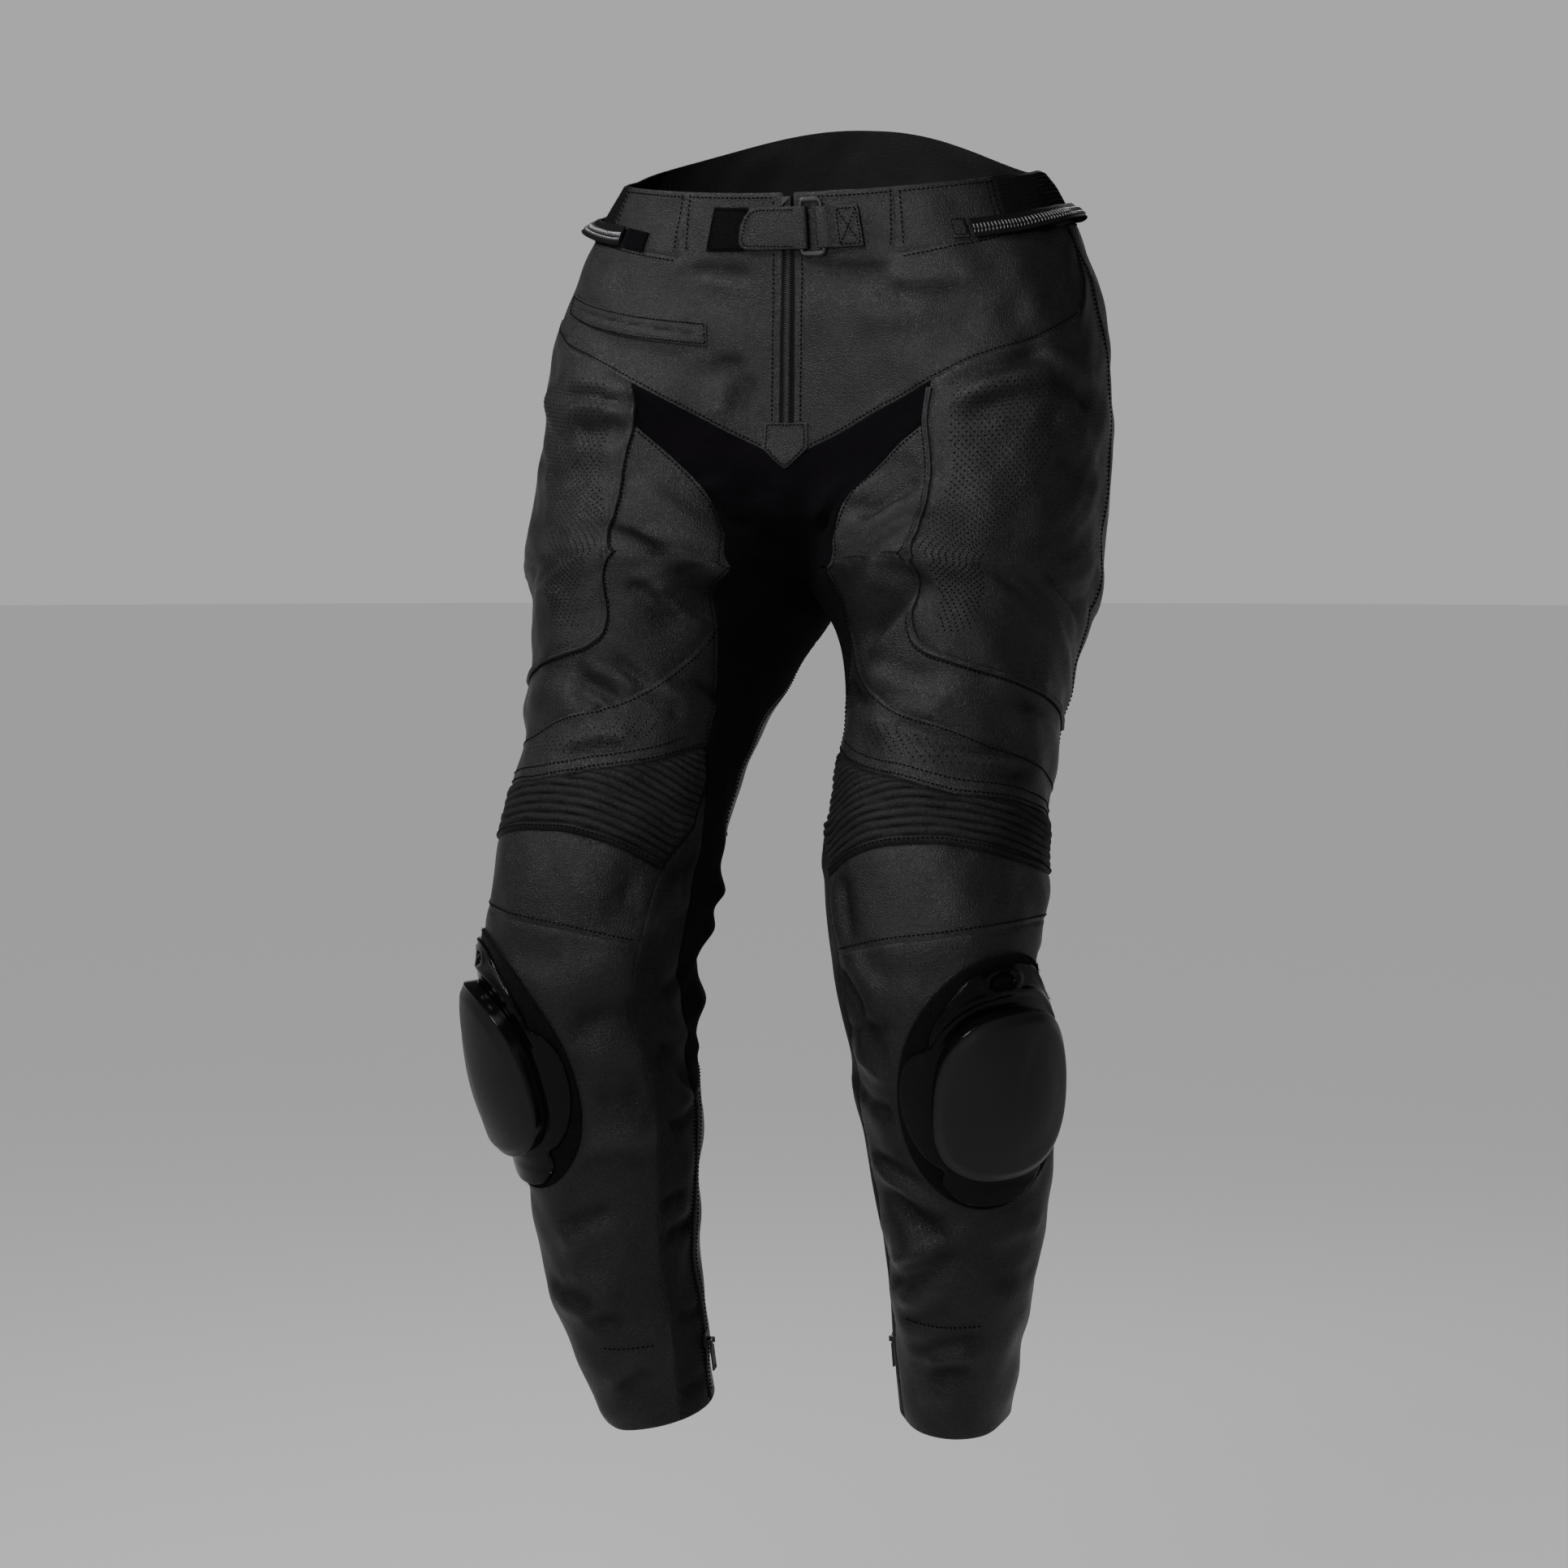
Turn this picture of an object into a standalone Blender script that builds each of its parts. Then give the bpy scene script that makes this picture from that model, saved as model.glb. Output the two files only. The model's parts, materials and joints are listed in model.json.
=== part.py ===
"""Leather motorcycle trousers, filled out as worn on a general figure, open at the waist and hems.

Left and right are the wearer's: the left is +X, and the front faces -Y. The origin is the centre of the
waist opening. A point of a half is named by its girth (0 at the front centre and down the inseam, 0.25 in
front, 0.5 outside, 0.75 behind and 1 back at the centre) and by how far down the side it is. Sizes are in
metres. The form comes from two tables of rows. The seams are curves through short lists of points, and
every cut piece is a wall between its own seams.
"""
import math

import bmesh
import bpy
import numpy as np
from mathutils.geometry import delaunay_2d_cdt

CROTCH = 0.315           # the row where a half becomes a closed leg
HIP = 0.205              # above this row, a row is half of one oval round both hips
HEM = 0.997
OVAL = 2.3               # 2 is an ellipse, more is squarer
VALLEY = 0.03            # girth over which the valley at the crotch is rounded
EVEN = 0.16              # below the crotch, the girth lines even out over this length
RECESS_GIRTH = 0.15
WAIST_TILT = 0.009       # the back of the waist is higher on the right and lower on the left
TILT_DOWN = 0.10
RIGHT_DROP = 0.017       # the right hem hangs lower
DROP_FROM = 0.60
SPACING = 0.0295         # between the points of a wall
FULL_ROUND = 0.55        # a leg less than this far round has its points closer together
SLIM_SHARE = 0.74
NEAREST = 0.56           # share of that spacing kept clear beside a seam
SEAM_GAP = 0.0003
LAID_GAP = 0.0003        # under a piece that lies on another
LEATHER = 0.0014
TEXTILE = 0.0012
WEB = 0.0016
ZIP_TAPE = 0.0012
PIPING_WIDTH = 0.0052
PIPING_HEIGHT = 0.0028
RIB_PITCH = 0.0060       # at the inner edge of the accordion
RIB_PITCH_OUTSIDE = 0.0053
RIB_HEIGHT = 0.0024
RIB_CLEAR = 0.0017       # from the end of a rib to a seam
PILE = 0.0026
BASE = 0.0022
PUCK_RIM = 0.011
PUCK_CROWN = 0.019
PUCK_FACE = 0.86         # the flat of the face, as a share of the puck's outline
STRAP = 0.0012
STRAP_TOP = 0.010        # rows of the strap's upper and lower edges
STRAP_BOTTOM = 0.039
BAR_HEIGHT = 0.0048      # of the middle of the loop's bars over the cloth
BAR_HALF = 0.0012
TURN_RADIUS = 0.0022     # of the middle of the leather where it turns round a bar
ZIP_GIRTH = 0.930        # the middle of the ankle zip
ZIP_SLIDER_DOWN = 0.943

TO_MM = 0.001


def table(names, *rows):
    values = np.array(rows, float)
    return {name: values[:, i] for i, name in enumerate(names.split())}


TORSO = table(
    "down y z pitch half_width half_depth sag",
    (0.000, 0.000, 0.000, -16, 0.171, 0.117, 0.020),
    (0.055, -0.001, -0.064, -14, 0.206, 0.127, 0.016),
    (0.110, -0.009, -0.127, -11, 0.225, 0.136, 0.008),
    (0.160, -0.017, -0.182, -8, 0.2325, 0.141, 0.004),
    (0.205, -0.026, -0.232, -5, 0.2345, 0.141, 0.000),
    (0.260, -0.036, -0.288, 0, 0.235, 0.138, 0.000),
    (0.315, -0.048, -0.342, 5, 0.233, 0.130, 0.000),
)
LEG = table(
    "down x y z pitch yaw half_width half_depth",
    (0.205, 0.118, -0.030, -0.248, 4, 0, 0.118, 0.138),
    (0.260, 0.118, -0.042, -0.299, 10, 0, 0.118, 0.135),
    (0.315, 0.1150, -0.058, -0.352, 17, 0, 0.1150, 0.130),
    (0.345, 0.1225, -0.062, -0.378, 20, 8, 0.101, 0.125),
    (0.400, 0.1305, -0.080, -0.428, 23, 16, 0.088, 0.109),
    (0.470, 0.1325, -0.107, -0.490, 22, 18, 0.085, 0.090),
    (0.545, 0.1365, -0.145, -0.559, 10, 21, 0.084, 0.093),
    (0.615, 0.143, -0.154, -0.627, -5, 21, 0.0805, 0.095),
    (0.683, 0.150, -0.141, -0.693, -13, 21, 0.078, 0.085),
    (0.782, 0.147, -0.111, -0.786, -14, 21, 0.071, 0.076),
    (0.877, 0.144, -0.095, -0.879, -14, 20, 0.058, 0.066),
    (0.940, 0.1355, -0.080, -0.937, -14, 20, 0.051, 0.058),
    (0.997, 0.1275, -0.063, -0.993, -14, 20, 0.044, 0.050),
)
RECESS = table(      # how far the middle of the front lies back between the hips
    "down back",
    (0.000, 0.010), (0.055, 0.022), (0.110, 0.038), (0.160, 0.051), (0.205, 0.057),
    (0.260, 0.052), (0.315, 0.037), (0.360, 0.020), (0.430, 0.005), (0.500, 0.000),
)

FOLDS = table(       # a side of 0 is both sides, and a height below 0 is a trough
    "side girth_a down_a girth_b down_b width height bow",
    (0, 0.72, 0.20, 0.88, 0.21, 0.060, 0.012, 0.000),     # seat
    (0, 0.56, 0.615, 0.44, 0.612, 0.012, -0.010, 0.000),  # pinch under the knee seam, outside
    (0, 0.42, 0.560, 0.60, 0.555, 0.018, 0.004, 0.000),
    (0, 0.92, 0.560, 0.80, 0.555, 0.014, 0.007, 0.000),   # cloth gathered behind the knee
    (0, 0.93, 0.600, 0.78, 0.595, 0.014, 0.006, 0.000),
    (0, 0.92, 0.665, 0.79, 0.670, 0.015, 0.007, 0.000),
    (0, 0.92, 0.630, 0.70, 0.630, 0.010, -0.004, 0.000),
    (0, 0.90, 0.530, 0.65, 0.525, 0.012, -0.004, 0.000),
    (-1, 0.250, 0.104, 0.048, 0.132, 0.016, -0.0035, -0.003),
    (-1, 0.043, 0.138, 0.036, 0.192, 0.011, -0.003, 0.000),
    (1, 0.120, 0.084, 0.250, 0.079, 0.012, -0.0030, 0.002),
    (1, 0.158, 0.109, 0.325, 0.089, 0.013, -0.0035, 0.003),
    (-1, 0.147, 0.213, 0.062, 0.328, 0.016, 0.0045, 0.004),
    (-1, 0.160, 0.261, 0.048, 0.350, 0.014, -0.0045, 0.006),
    (-1, 0.143, 0.335, 0.045, 0.375, 0.013, 0.0035, 0.004),
    (1, 0.150, 0.200, 0.085, 0.258, 0.015, -0.0040, -0.003),
    (1, 0.175, 0.250, 0.083, 0.346, 0.015, 0.0045, -0.006),
    (1, 0.190, 0.326, 0.070, 0.381, 0.014, -0.0040, -0.004),
    (-1, 0.405, 0.156, 0.150, 0.158, 0.011, 0.0040, -0.006),
    (-1, 0.380, 0.182, 0.200, 0.180, 0.012, -0.0030, -0.004),
    (1, 0.200, 0.150, 0.370, 0.156, 0.012, 0.0035, -0.006),
    (1, 0.203, 0.172, 0.380, 0.181, 0.012, -0.0030, -0.005),
    (0, 0.220, 0.425, 0.100, 0.433, 0.013, -0.0035, 0.004),
    (0, 0.420, 0.446, 0.200, 0.440, 0.013, 0.0030, 0.003),
    (0, 0.085, 0.548, 0.100, 0.590, 0.012, -0.0030, 0.003),
    (0, 0.110, 0.606, 0.250, 0.603, 0.011, -0.0040, 0.002),
    (0, 0.090, 0.645, 0.150, 0.662, 0.011, -0.0030, 0.002),
    (1, 0.075, 0.792, 0.270, 0.803, 0.012, -0.0035, 0.003),
    (1, 0.077, 0.842, 0.215, 0.826, 0.012, 0.0030, -0.003),
    (1, 0.125, 0.868, 0.255, 0.857, 0.010, -0.0025, 0.002),
    (1, 0.110, 0.932, 0.265, 0.943, 0.010, -0.0025, 0.002),
    (-1, 0.215, 0.792, 0.100, 0.786, 0.012, -0.0035, 0.003),
    (-1, 0.300, 0.882, 0.135, 0.878, 0.012, 0.0030, -0.003),
    (-1, 0.195, 0.897, 0.080, 0.904, 0.010, -0.0025, 0.002),
    (-1, 0.210, 0.962, 0.065, 0.971, 0.009, -0.0020, 0.002),
    (0, 0.020, 0.205, 0.002, 0.290, 0.016, -0.0040, 0.002),
    (0, 0.075, 0.222, 0.015, 0.262, 0.013, 0.0035, 0.002),
    (0, 0.030, 0.505, 0.985, 0.540, 0.012, 0.0030, 0.000),
    (0, 0.030, 0.700, 0.960, 0.745, 0.014, 0.0035, 0.000),
    (0, 0.015, 0.820, 0.960, 0.850, 0.012, -0.0025, 0.000),
    (0, 0.580, 0.330, 0.800, 0.350, 0.018, -0.0050, 0.006),
    (0, 0.600, 0.430, 0.860, 0.440, 0.016, -0.0045, 0.005),
    (0, 0.640, 0.760, 0.860, 0.770, 0.015, 0.0040, -0.004),
    (0, 0.600, 0.860, 0.800, 0.850, 0.013, -0.0030, 0.003),
)

V_PIPE = (0.163, 0.139)
PIPE_GUSSET = (0.157, 0.171)
GUSSET_THIGH = (0.049, 0.357)
BAND_INSIDE = (0.022, 0.447)
STRIP_TOP = (0.010, 0.478)
ACCORDION_LOW = (0.037, 0.546)
KNEE_LOW = (0.054, 0.600)
YOKE_CORNER = (0.495, 0.036)
YOKE_TIP = (0.435, 0.101)
OUT_PIPE = (0.530, 0.418)
OUT_THIGH = (0.530, 0.472)
OUT_BAND = (0.530, 0.503)
OUT_ACCORDION = (0.530, 0.545)
OUT_KNEE = (0.530, 0.576)
OUT_TEXTILE = (0.530, 0.690)
BACK_TEXTILE = (0.900, 0.503)
ZIP_BACK = (0.922, 0.738)
ZIP_FRONT = (0.938, 0.738)
BAND_FRONT = (0.127, 0.045)
ELASTIC_FRONT = (0.322, 0.037)
ELASTIC_BACK = (0.600, 0.037)

SMOOTH_SEAMS = {
    "band_bottom": (BAND_FRONT, (0.215, 0.041), ELASTIC_FRONT, (0.410, 0.037), YOKE_CORNER, ELASTIC_BACK,
                    (0.800, 0.039), (1.0, 0.040)),
    "yoke_bottom": ((0.0, 0.200), (0.020, 0.190), (0.050, 0.178), (0.085, 0.164), (0.120, 0.152), V_PIPE,
                    (0.220, 0.126), (0.330, 0.114), YOKE_TIP),
    "yoke_side": (YOKE_TIP, (0.478, 0.078), (0.492, 0.058), YOKE_CORNER),
    "outseam": (YOKE_CORNER, (0.512, 0.100), (0.528, 0.200), (0.530, 0.300), OUT_PIPE, OUT_THIGH, OUT_BAND,
                OUT_ACCORDION, OUT_KNEE, OUT_TEXTILE, (0.530, 0.850), (0.530, HEM)),
    "piped": (V_PIPE, PIPE_GUSSET, (0.163, 0.195), (0.169, 0.230), (0.188, 0.290), (0.184, 0.322),
              (0.160, 0.352), (0.152, 0.370), (0.159, 0.386), (0.180, 0.396), (0.225, 0.405),
              (0.325, 0.414), (0.420, 0.416), OUT_PIPE),
    "gusset_front": (PIPE_GUSSET, (0.112, 0.195), (0.083, 0.217), (0.067, 0.246), (0.067, 0.272),
                     (0.076, 0.303), (0.066, 0.330), GUSSET_THIGH, (0.034, 0.385), (0.022, 0.415),
                     BAND_INSIDE, STRIP_TOP),
    "gusset_back": ((1.0, 0.258), (0.957, 0.300), (0.935, 0.345), (0.940, 0.400), (0.925, 0.460),
                    BACK_TEXTILE),
    "thigh_low": (GUSSET_THIGH, (0.056, 0.384), (0.087, 0.411), (0.128, 0.429), (0.182, 0.444),
                  (0.246, 0.455), (0.320, 0.465), (0.400, 0.469), OUT_THIGH),
    "accordion_top": (BAND_INSIDE, (0.105, 0.474), (0.180, 0.488), (0.270, 0.499), (0.360, 0.500),
                      (0.485, 0.501), OUT_BAND),
    "accordion_low": (ACCORDION_LOW, (0.098, 0.537), (0.175, 0.531), (0.250, 0.531), (0.340, 0.536),
                      (0.460, 0.542), OUT_ACCORDION),
    "knee_low": (KNEE_LOW, (0.170, 0.588), (0.250, 0.584), (0.340, 0.580), (0.430, 0.577), OUT_KNEE),
    "strip_front": (STRIP_TOP, (0.012, 0.510), ACCORDION_LOW, (0.048, 0.578), KNEE_LOW, (0.058, 0.625),
                    (0.058, 0.655), (0.044, 0.684), (0.035, 0.730), (0.044, 0.800), (0.038, 0.870),
                    (0.040, 0.926), (0.062, HEM)),
    "strip_back": ((1.0, 0.487), (0.990, 0.502), (0.978, 0.534), (0.978, 0.596), (0.975, 0.625),
                   (0.955, 0.661), (0.945, 0.700), ZIP_FRONT),
    "textile_top": (OUT_BAND, (0.700, 0.500), BACK_TEXTILE),
    "textile_low": (OUT_TEXTILE, (0.720, 0.705), (0.880, 0.728), ZIP_BACK),
}
STRAIGHT_SEAMS = {
    "band_front": ((0.150, 0.0), BAND_FRONT),
    "elastic_front": ((0.343, 0.0), ELASTIC_FRONT),
    "elastic_back": ((0.600, 0.0), ELASTIC_BACK),
    "fly": ((0.005, 0.0), (0.005, 0.190), (0.0, 0.190)),
    "strip_corner": (STRIP_TOP, (0.0, 0.487)),
    "zip_top": (ZIP_BACK, ZIP_FRONT),
    "zip_back": (ZIP_BACK, (0.922, HEM)),
    "zip_front": (ZIP_FRONT, (0.938, HEM)),
}

REGIONS = {          # a point inside each cut piece of a half
    "waist_side": ((0.240, 0.020),),
    "waist_elastic": ((0.450, 0.018),),
    "waistband_back": ((0.800, 0.020),),
    "fly_zip": ((0.0025, 0.100),),
    "yoke": ((0.200, 0.090),),
    "thigh_outer": ((0.350, 0.250),),
    "thigh_inner": ((0.120, 0.280),),
    "gusset": ((0.030, 0.280), (0.970, 0.340)),
    "knee_band": ((0.250, 0.475),),
    "accordion": ((0.250, 0.515),),
    "knee": ((0.250, 0.560),),
    "shin": ((0.250, 0.850),),
    "calf_strip": ((0.020, 0.750), (0.970, 0.750)),
    "ankle_zip": ((0.930, 0.850),),
    "calf": ((0.750, 0.850),),
    "seat": ((0.750, 0.250),),
}
JOINED_REGIONS = {"waistband_back", "fly_zip", "gusset"}

FLY_TAB = ((0.0, 0.170), (0.017, 0.170), (0.018, 0.190), (0.0, 0.208))
POCKET = ((0.080, 0.092), (0.170, 0.0885), (0.265, 0.083), (0.355, 0.077),
          (0.345, 0.091), (0.255, 0.099), (0.165, 0.105), (0.077, 0.109))
PAD = ((0.046, 0.010), (0.095, 0.010), (0.095, 0.040), (0.046, 0.040))
SLIDER_GIRTH = 0.323
SLIDER_DOWN = 0.690
SLIDER_LEAN = 0.30       # how much girth the slider's middle line gains for each metre up
PILE_GIRTH = 0.170
PILE_DOWN = 0.097
PUCK_GIRTH = 0.111
PUCK_DOWN = 0.063
PUCK_OVAL = 2.5
HOLE = (0.338, 0.6095, 0.021, 0.0042)
BASE_EDGE = table(       # half of the base plate's outline
    "down reach",
    (0.599, 0.000), (0.6005, 0.034), (0.607, 0.062), (0.624, 0.095), (0.641, 0.1145), (0.650, 0.119),
    (0.657, 0.142), (0.669, 0.157), (0.690, 0.161), (0.712, 0.151), (0.730, 0.132), (0.743, 0.108),
    (0.750, 0.085), (0.762, 0.084), (0.776, 0.056), (0.781, 0.030), (0.782, 0.000),
)

MATERIALS = {            # red, green, blue, roughness, metallic
    "leather": (0.022, 0.022, 0.023, 0.50, 0.0),
    "leather_soft": (0.025, 0.025, 0.026, 0.58, 0.0),
    "stretch_textile": (0.013, 0.011, 0.012, 0.85, 0.0),
    "stretch_web": (0.012, 0.012, 0.013, 0.80, 0.0),
    "loop_pile": (0.010, 0.010, 0.011, 0.95, 0.0),
    "zip_coil": (0.030, 0.030, 0.032, 0.45, 0.2),
    "gloss_plastic": (0.010, 0.010, 0.011, 0.18, 0.0),
    "satin_plastic": (0.024, 0.024, 0.025, 0.42, 0.0),
    "dark_metal": (0.090, 0.090, 0.095, 0.35, 0.9),
}


# The form ---------------------------------------------------------------------------------------------

def smooth(value):
    value = np.clip(value, 0, 1)
    return value * value * (3 - 2 * value)


def power(value, exponent):
    return np.sign(value) * np.abs(value) ** exponent


def read(rows, name, at, key="down"):
    """A smooth reading of one column between the rows of a table."""
    x = rows[key]
    y = rows[name]
    slope = np.gradient(y, x)
    i = np.clip(np.searchsorted(x, at) - 1, 0, len(x) - 2)
    step = x[i + 1] - x[i]
    t = np.clip((at - x[i]) / step, 0, 1)
    value = y[i] * (1 + 2 * t) * (1 - t) ** 2 + y[i + 1] * t * t * (3 - 2 * t)
    return value + step * (slope[i] * t * (1 - t) ** 2 - slope[i + 1] * t * t * (1 - t))


def torso_share(girth, down):
    """How far a point belongs to the oval round both hips, and not to its leg."""
    rise = np.clip((CROTCH - down) / (CROTCH - HIP), 0, 1)
    edge = np.minimum(girth, 1 - girth)
    at_rise = np.sin(rise * math.pi / 2) ** 0.62
    return smooth(rise) + (at_rise - smooth(rise)) * np.exp(-(edge / 0.09) ** 2)


def leg_row(girth, down):
    even = smooth((down - CROTCH) / EVEN)
    edge = np.minimum(girth, 1 - girth)
    valley = edge * edge / (edge * edge + VALLEY * VALLEY) * (1 + 4 * VALLEY * VALLEY)
    inner = np.arcsin(np.sqrt(np.sin(math.pi * edge))) / math.pi * valley
    eased = np.where(girth < 0.5, inner, 1 - inner)
    turn = 2 * math.pi * (eased + (girth - eased) * even)
    out = -read(LEG, "half_width", down) * np.cos(turn)
    ahead = read(LEG, "half_depth", down) * np.sin(turn)
    yaw = np.radians(read(LEG, "yaw", down))
    pitch = np.radians(read(LEG, "pitch", down))
    centre = np.where(down <= CROTCH, read(LEG, "half_width", down), read(LEG, "x", down))
    x = centre + out * np.cos(yaw) + ahead * np.cos(pitch) * np.sin(yaw)
    y = read(LEG, "y", down) + out * np.sin(yaw) - ahead * np.cos(pitch) * np.cos(yaw)
    z = read(LEG, "z", down) + ahead * np.sin(pitch)
    return np.stack([x, y, z], -1)


def torso_row(girth, down):
    turn = math.pi * girth
    out = read(TORSO, "half_width", down) * power(np.sin(turn), 2 / OVAL)
    ahead = read(TORSO, "half_depth", down) * power(np.cos(turn), 2 / OVAL)
    pitch = np.radians(read(TORSO, "pitch", down))
    sag = read(TORSO, "sag", down) * np.sin(math.pi * girth ** 1.8) ** 2
    y = read(TORSO, "y", down) - ahead * np.cos(pitch)
    z = read(TORSO, "z", down) + ahead * np.sin(pitch) - sag
    return np.stack([out, y, z], -1)


def recess(girth, down):
    front = np.exp(-(girth / RECESS_GIRTH) ** 2)
    back = np.exp(-((1 - girth) / RECESS_GIRTH) ** 2) * smooth((down - 0.24) / (CROTCH - 0.24))
    return read(RECESS, "back", down) * (front + back)


def form(girth, down):
    """Points of the left half, before its folds."""
    girth = np.clip(girth, 0, 1)
    down = np.clip(down, 0, HEM)
    share = torso_share(girth, down)[..., None]
    points = share * torso_row(girth, down) + (1 - share) * leg_row(girth, down)
    points[..., 1] += recess(girth, down)
    return points


def on_side(side, girth, down, points):
    """The left's points, or the right's: mirrored, a little lower at the ankle, higher behind the waist."""
    moved = points * np.array([side, 1, 1])
    behind = np.sin(2 * math.pi * np.clip(girth - 0.5, 0, 0.5)) * (1 - smooth(down / TILT_DOWN))
    moved[..., 2] -= side * WAIST_TILT * behind
    if side == -1:
        moved[..., 2] -= RIGHT_DROP * smooth((down - DROP_FROM) / (HEM - DROP_FROM))
    return moved


def row_lengths():
    down = np.linspace(0, HEM, 200)
    girth = np.linspace(0, 1, 201)
    across, along = np.meshgrid(girth, down)
    steps = np.linalg.norm(np.diff(form(across, along), axis=1), axis=2)
    return down, steps.sum(axis=1)


ROW_DOWN, ROW_LENGTH = row_lengths()


def row_length(down):
    return np.interp(down, ROW_DOWN, ROW_LENGTH)


def spacing_at(down):
    """Points lie closer together where the leg is slim."""
    return SPACING * float(np.clip(row_length(down) / FULL_ROUND, SLIM_SHARE, 1))


def fold_height(side, girth, down):
    """How far the folds lift the cloth of one side, along its normal."""
    total = np.zeros(np.broadcast(girth, down).shape)
    for i in range(len(FOLDS["side"])):
        row = {name: values[i] for name, values in FOLDS.items()}
        if row["side"] not in (0, side):
            continue
        across = row["girth_b"] - row["girth_a"]
        across -= np.round(across)
        middle = row["girth_a"] + across / 2
        level = (row["down_a"] + row["down_b"]) / 2
        length = row_length(level)
        off = girth - middle
        off = np.where(down > CROTCH, off - np.round(off), off)
        along = np.array([across * length, row["down_b"] - row["down_a"]])
        size = np.hypot(*along)
        along = along / size
        x = off * row_length(down)
        y = down - level
        run = (x * along[0] + y * along[1]) / size
        aside = y * along[0] - x * along[1] - row["bow"] * (1 - 4 * run * run)
        fade = np.exp(-(np.maximum(np.abs(run) - 0.32, 0) / 0.16) ** 2)
        total += row["height"] * np.exp(-(aside / row["width"]) ** 2) * fade
    return total


def normal_at(girth, down):
    step = 0.002
    before = np.where(down > CROTCH, (girth - step) % 1, np.clip(girth - step, 0, 1))
    after = np.where(down > CROTCH, (girth + step) % 1, np.clip(girth + step, 0, 1))
    across = form(after, down) - form(before, down)
    below = form(girth, down + step) - form(girth, down - step)
    normal = np.cross(below, across)
    return normal / np.linalg.norm(normal, axis=-1, keepdims=True)


def over(side, girth, down, height):
    """A point at a height over the cloth of one side."""
    girth, down, height = np.broadcast_arrays(*(np.asarray(v, float) for v in (girth, down, height)))
    lift = height + fold_height(side, girth, down)
    points = form(girth, down) + normal_at(girth, down) * lift[..., None]
    return on_side(side, girth, down, points)


def over_front(x, down, height):
    """A point over the front of the waist, x to the left of the centre."""
    x, down, height = np.broadcast_arrays(*(np.asarray(v, float) for v in (x, down, height)))
    girths = np.linspace(0, 0.25, 101)
    reach = form(girths, np.full(101, 0.0245))[:, 0]
    girth = np.interp(np.abs(x), reach, girths)
    left = over(1, girth, down, height)
    right = over(-1, girth, down, height)
    return np.where((x < 0)[..., None], right, left)


# The pattern ------------------------------------------------------------------------------------------

def flat(points):
    """Girth and down as a plane with nearly true lengths."""
    points = np.asarray(points, float)
    return np.stack([(points[..., 0] - 0.5) * row_length(points[..., 1]), points[..., 1]], -1)


def unflat(points):
    points = np.asarray(points, float)
    return np.stack([points[..., 0] / row_length(points[..., 1]) + 0.5, points[..., 1]], -1)


def lengths(points):
    solid = form(points[:, 0], points[:, 1])
    return np.linalg.norm(np.diff(solid, axis=0), axis=1)


def straight(knots):
    """Points along straight lines between the knots."""
    knots = np.array(knots, float)
    out = [knots[:1]]
    for start, stop in zip(knots[:-1], knots[1:]):
        run = start + (stop - start) * np.linspace(0, 1, 9)[:, None]
        count = max(1, round(lengths(run).sum() / spacing_at((start[1] + stop[1]) / 2)))
        share = np.linspace(0, 1, count + 1)[1:, None]
        out.append(start + (stop - start) * share)
    return np.concatenate(out)


def curved(knots, spacing=None):
    """Points along a smooth curve through the knots, with every knot among them."""
    knots = np.array(knots, float)
    plane = flat(knots)
    reach = np.concatenate([[0], np.cumsum(np.hypot(*np.diff(plane, axis=0).T))])
    rows = {"reach": reach, "girth": knots[:, 0], "down": knots[:, 1]}
    out = [knots[:1]]
    for i in range(len(knots) - 1):
        step = spacing or spacing_at((knots[i, 1] + knots[i + 1, 1]) / 2)
        count = max(1, round((reach[i + 1] - reach[i]) / step))
        at = np.linspace(reach[i], reach[i + 1], count + 1)[1:]
        run = np.stack([read(rows, "girth", at, "reach"), read(rows, "down", at, "reach")], -1)
        run[-1] = knots[i + 1]
        out.append(run)
    return np.concatenate(out)


def slider_axis(down):
    return SLIDER_GIRTH + SLIDER_LEAN * (SLIDER_DOWN - down)


def oval(girth_radius, down_radius, squareness, count, share=1.0):
    turn = np.linspace(0, 2 * math.pi, count, endpoint=False)
    down = SLIDER_DOWN + share * down_radius * power(np.sin(turn), 2 / squareness)
    girth = slider_axis(down) + share * girth_radius * power(np.cos(turn), 2 / squareness)
    return np.stack([girth, down], -1)


def base_outline():
    down = BASE_EDGE["down"]
    inner = np.stack([slider_axis(down) - BASE_EDGE["reach"], down], -1)
    outer = np.stack([slider_axis(down) + BASE_EDGE["reach"], down], -1)
    return np.concatenate([inner, outer[-2:0:-1]])


def hole_outline():
    girth, down, half_girth, half_down = HOLE
    turn = np.linspace(0, 2 * math.pi, 10, endpoint=False)
    return np.stack([girth + half_girth * np.cos(turn), down + half_down * np.sin(turn)], -1)


def piping_outline():
    """A narrow strip along the piped seam, short of the seams it ends at."""
    line = flat(curved(SMOOTH_SEAMS["piped"]))
    step = np.diff(line, axis=0)
    step /= np.linalg.norm(step, axis=1, keepdims=True)
    across = np.stack([-step[:, 1], step[:, 0]], -1)
    before = np.concatenate([across[:1], across])
    after = np.concatenate([across, across[-1:]])
    bend = 1 + (before * after).sum(axis=1, keepdims=True)
    aside = (before + after) / bend * PIPING_WIDTH / 2
    line[0] += step[0] * 0.006
    line[-1] -= step[-1] * 0.006
    return unflat(np.concatenate([line + aside, (line - aside)[::-1]]))


def inside(outline, points):
    """Which points lie inside a closed outline."""
    x, y = points[:, 0], points[:, 1]
    found = np.zeros(len(points), bool)
    for (ax, ay), (bx, by) in zip(outline, np.roll(outline, -1, axis=0)):
        crossing = (ay > y) != (by > y)
        rise = by - ay if by != ay else 1.0
        found ^= crossing & (x < ax + (bx - ax) * (y - ay) / rise)
    return found


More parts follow.
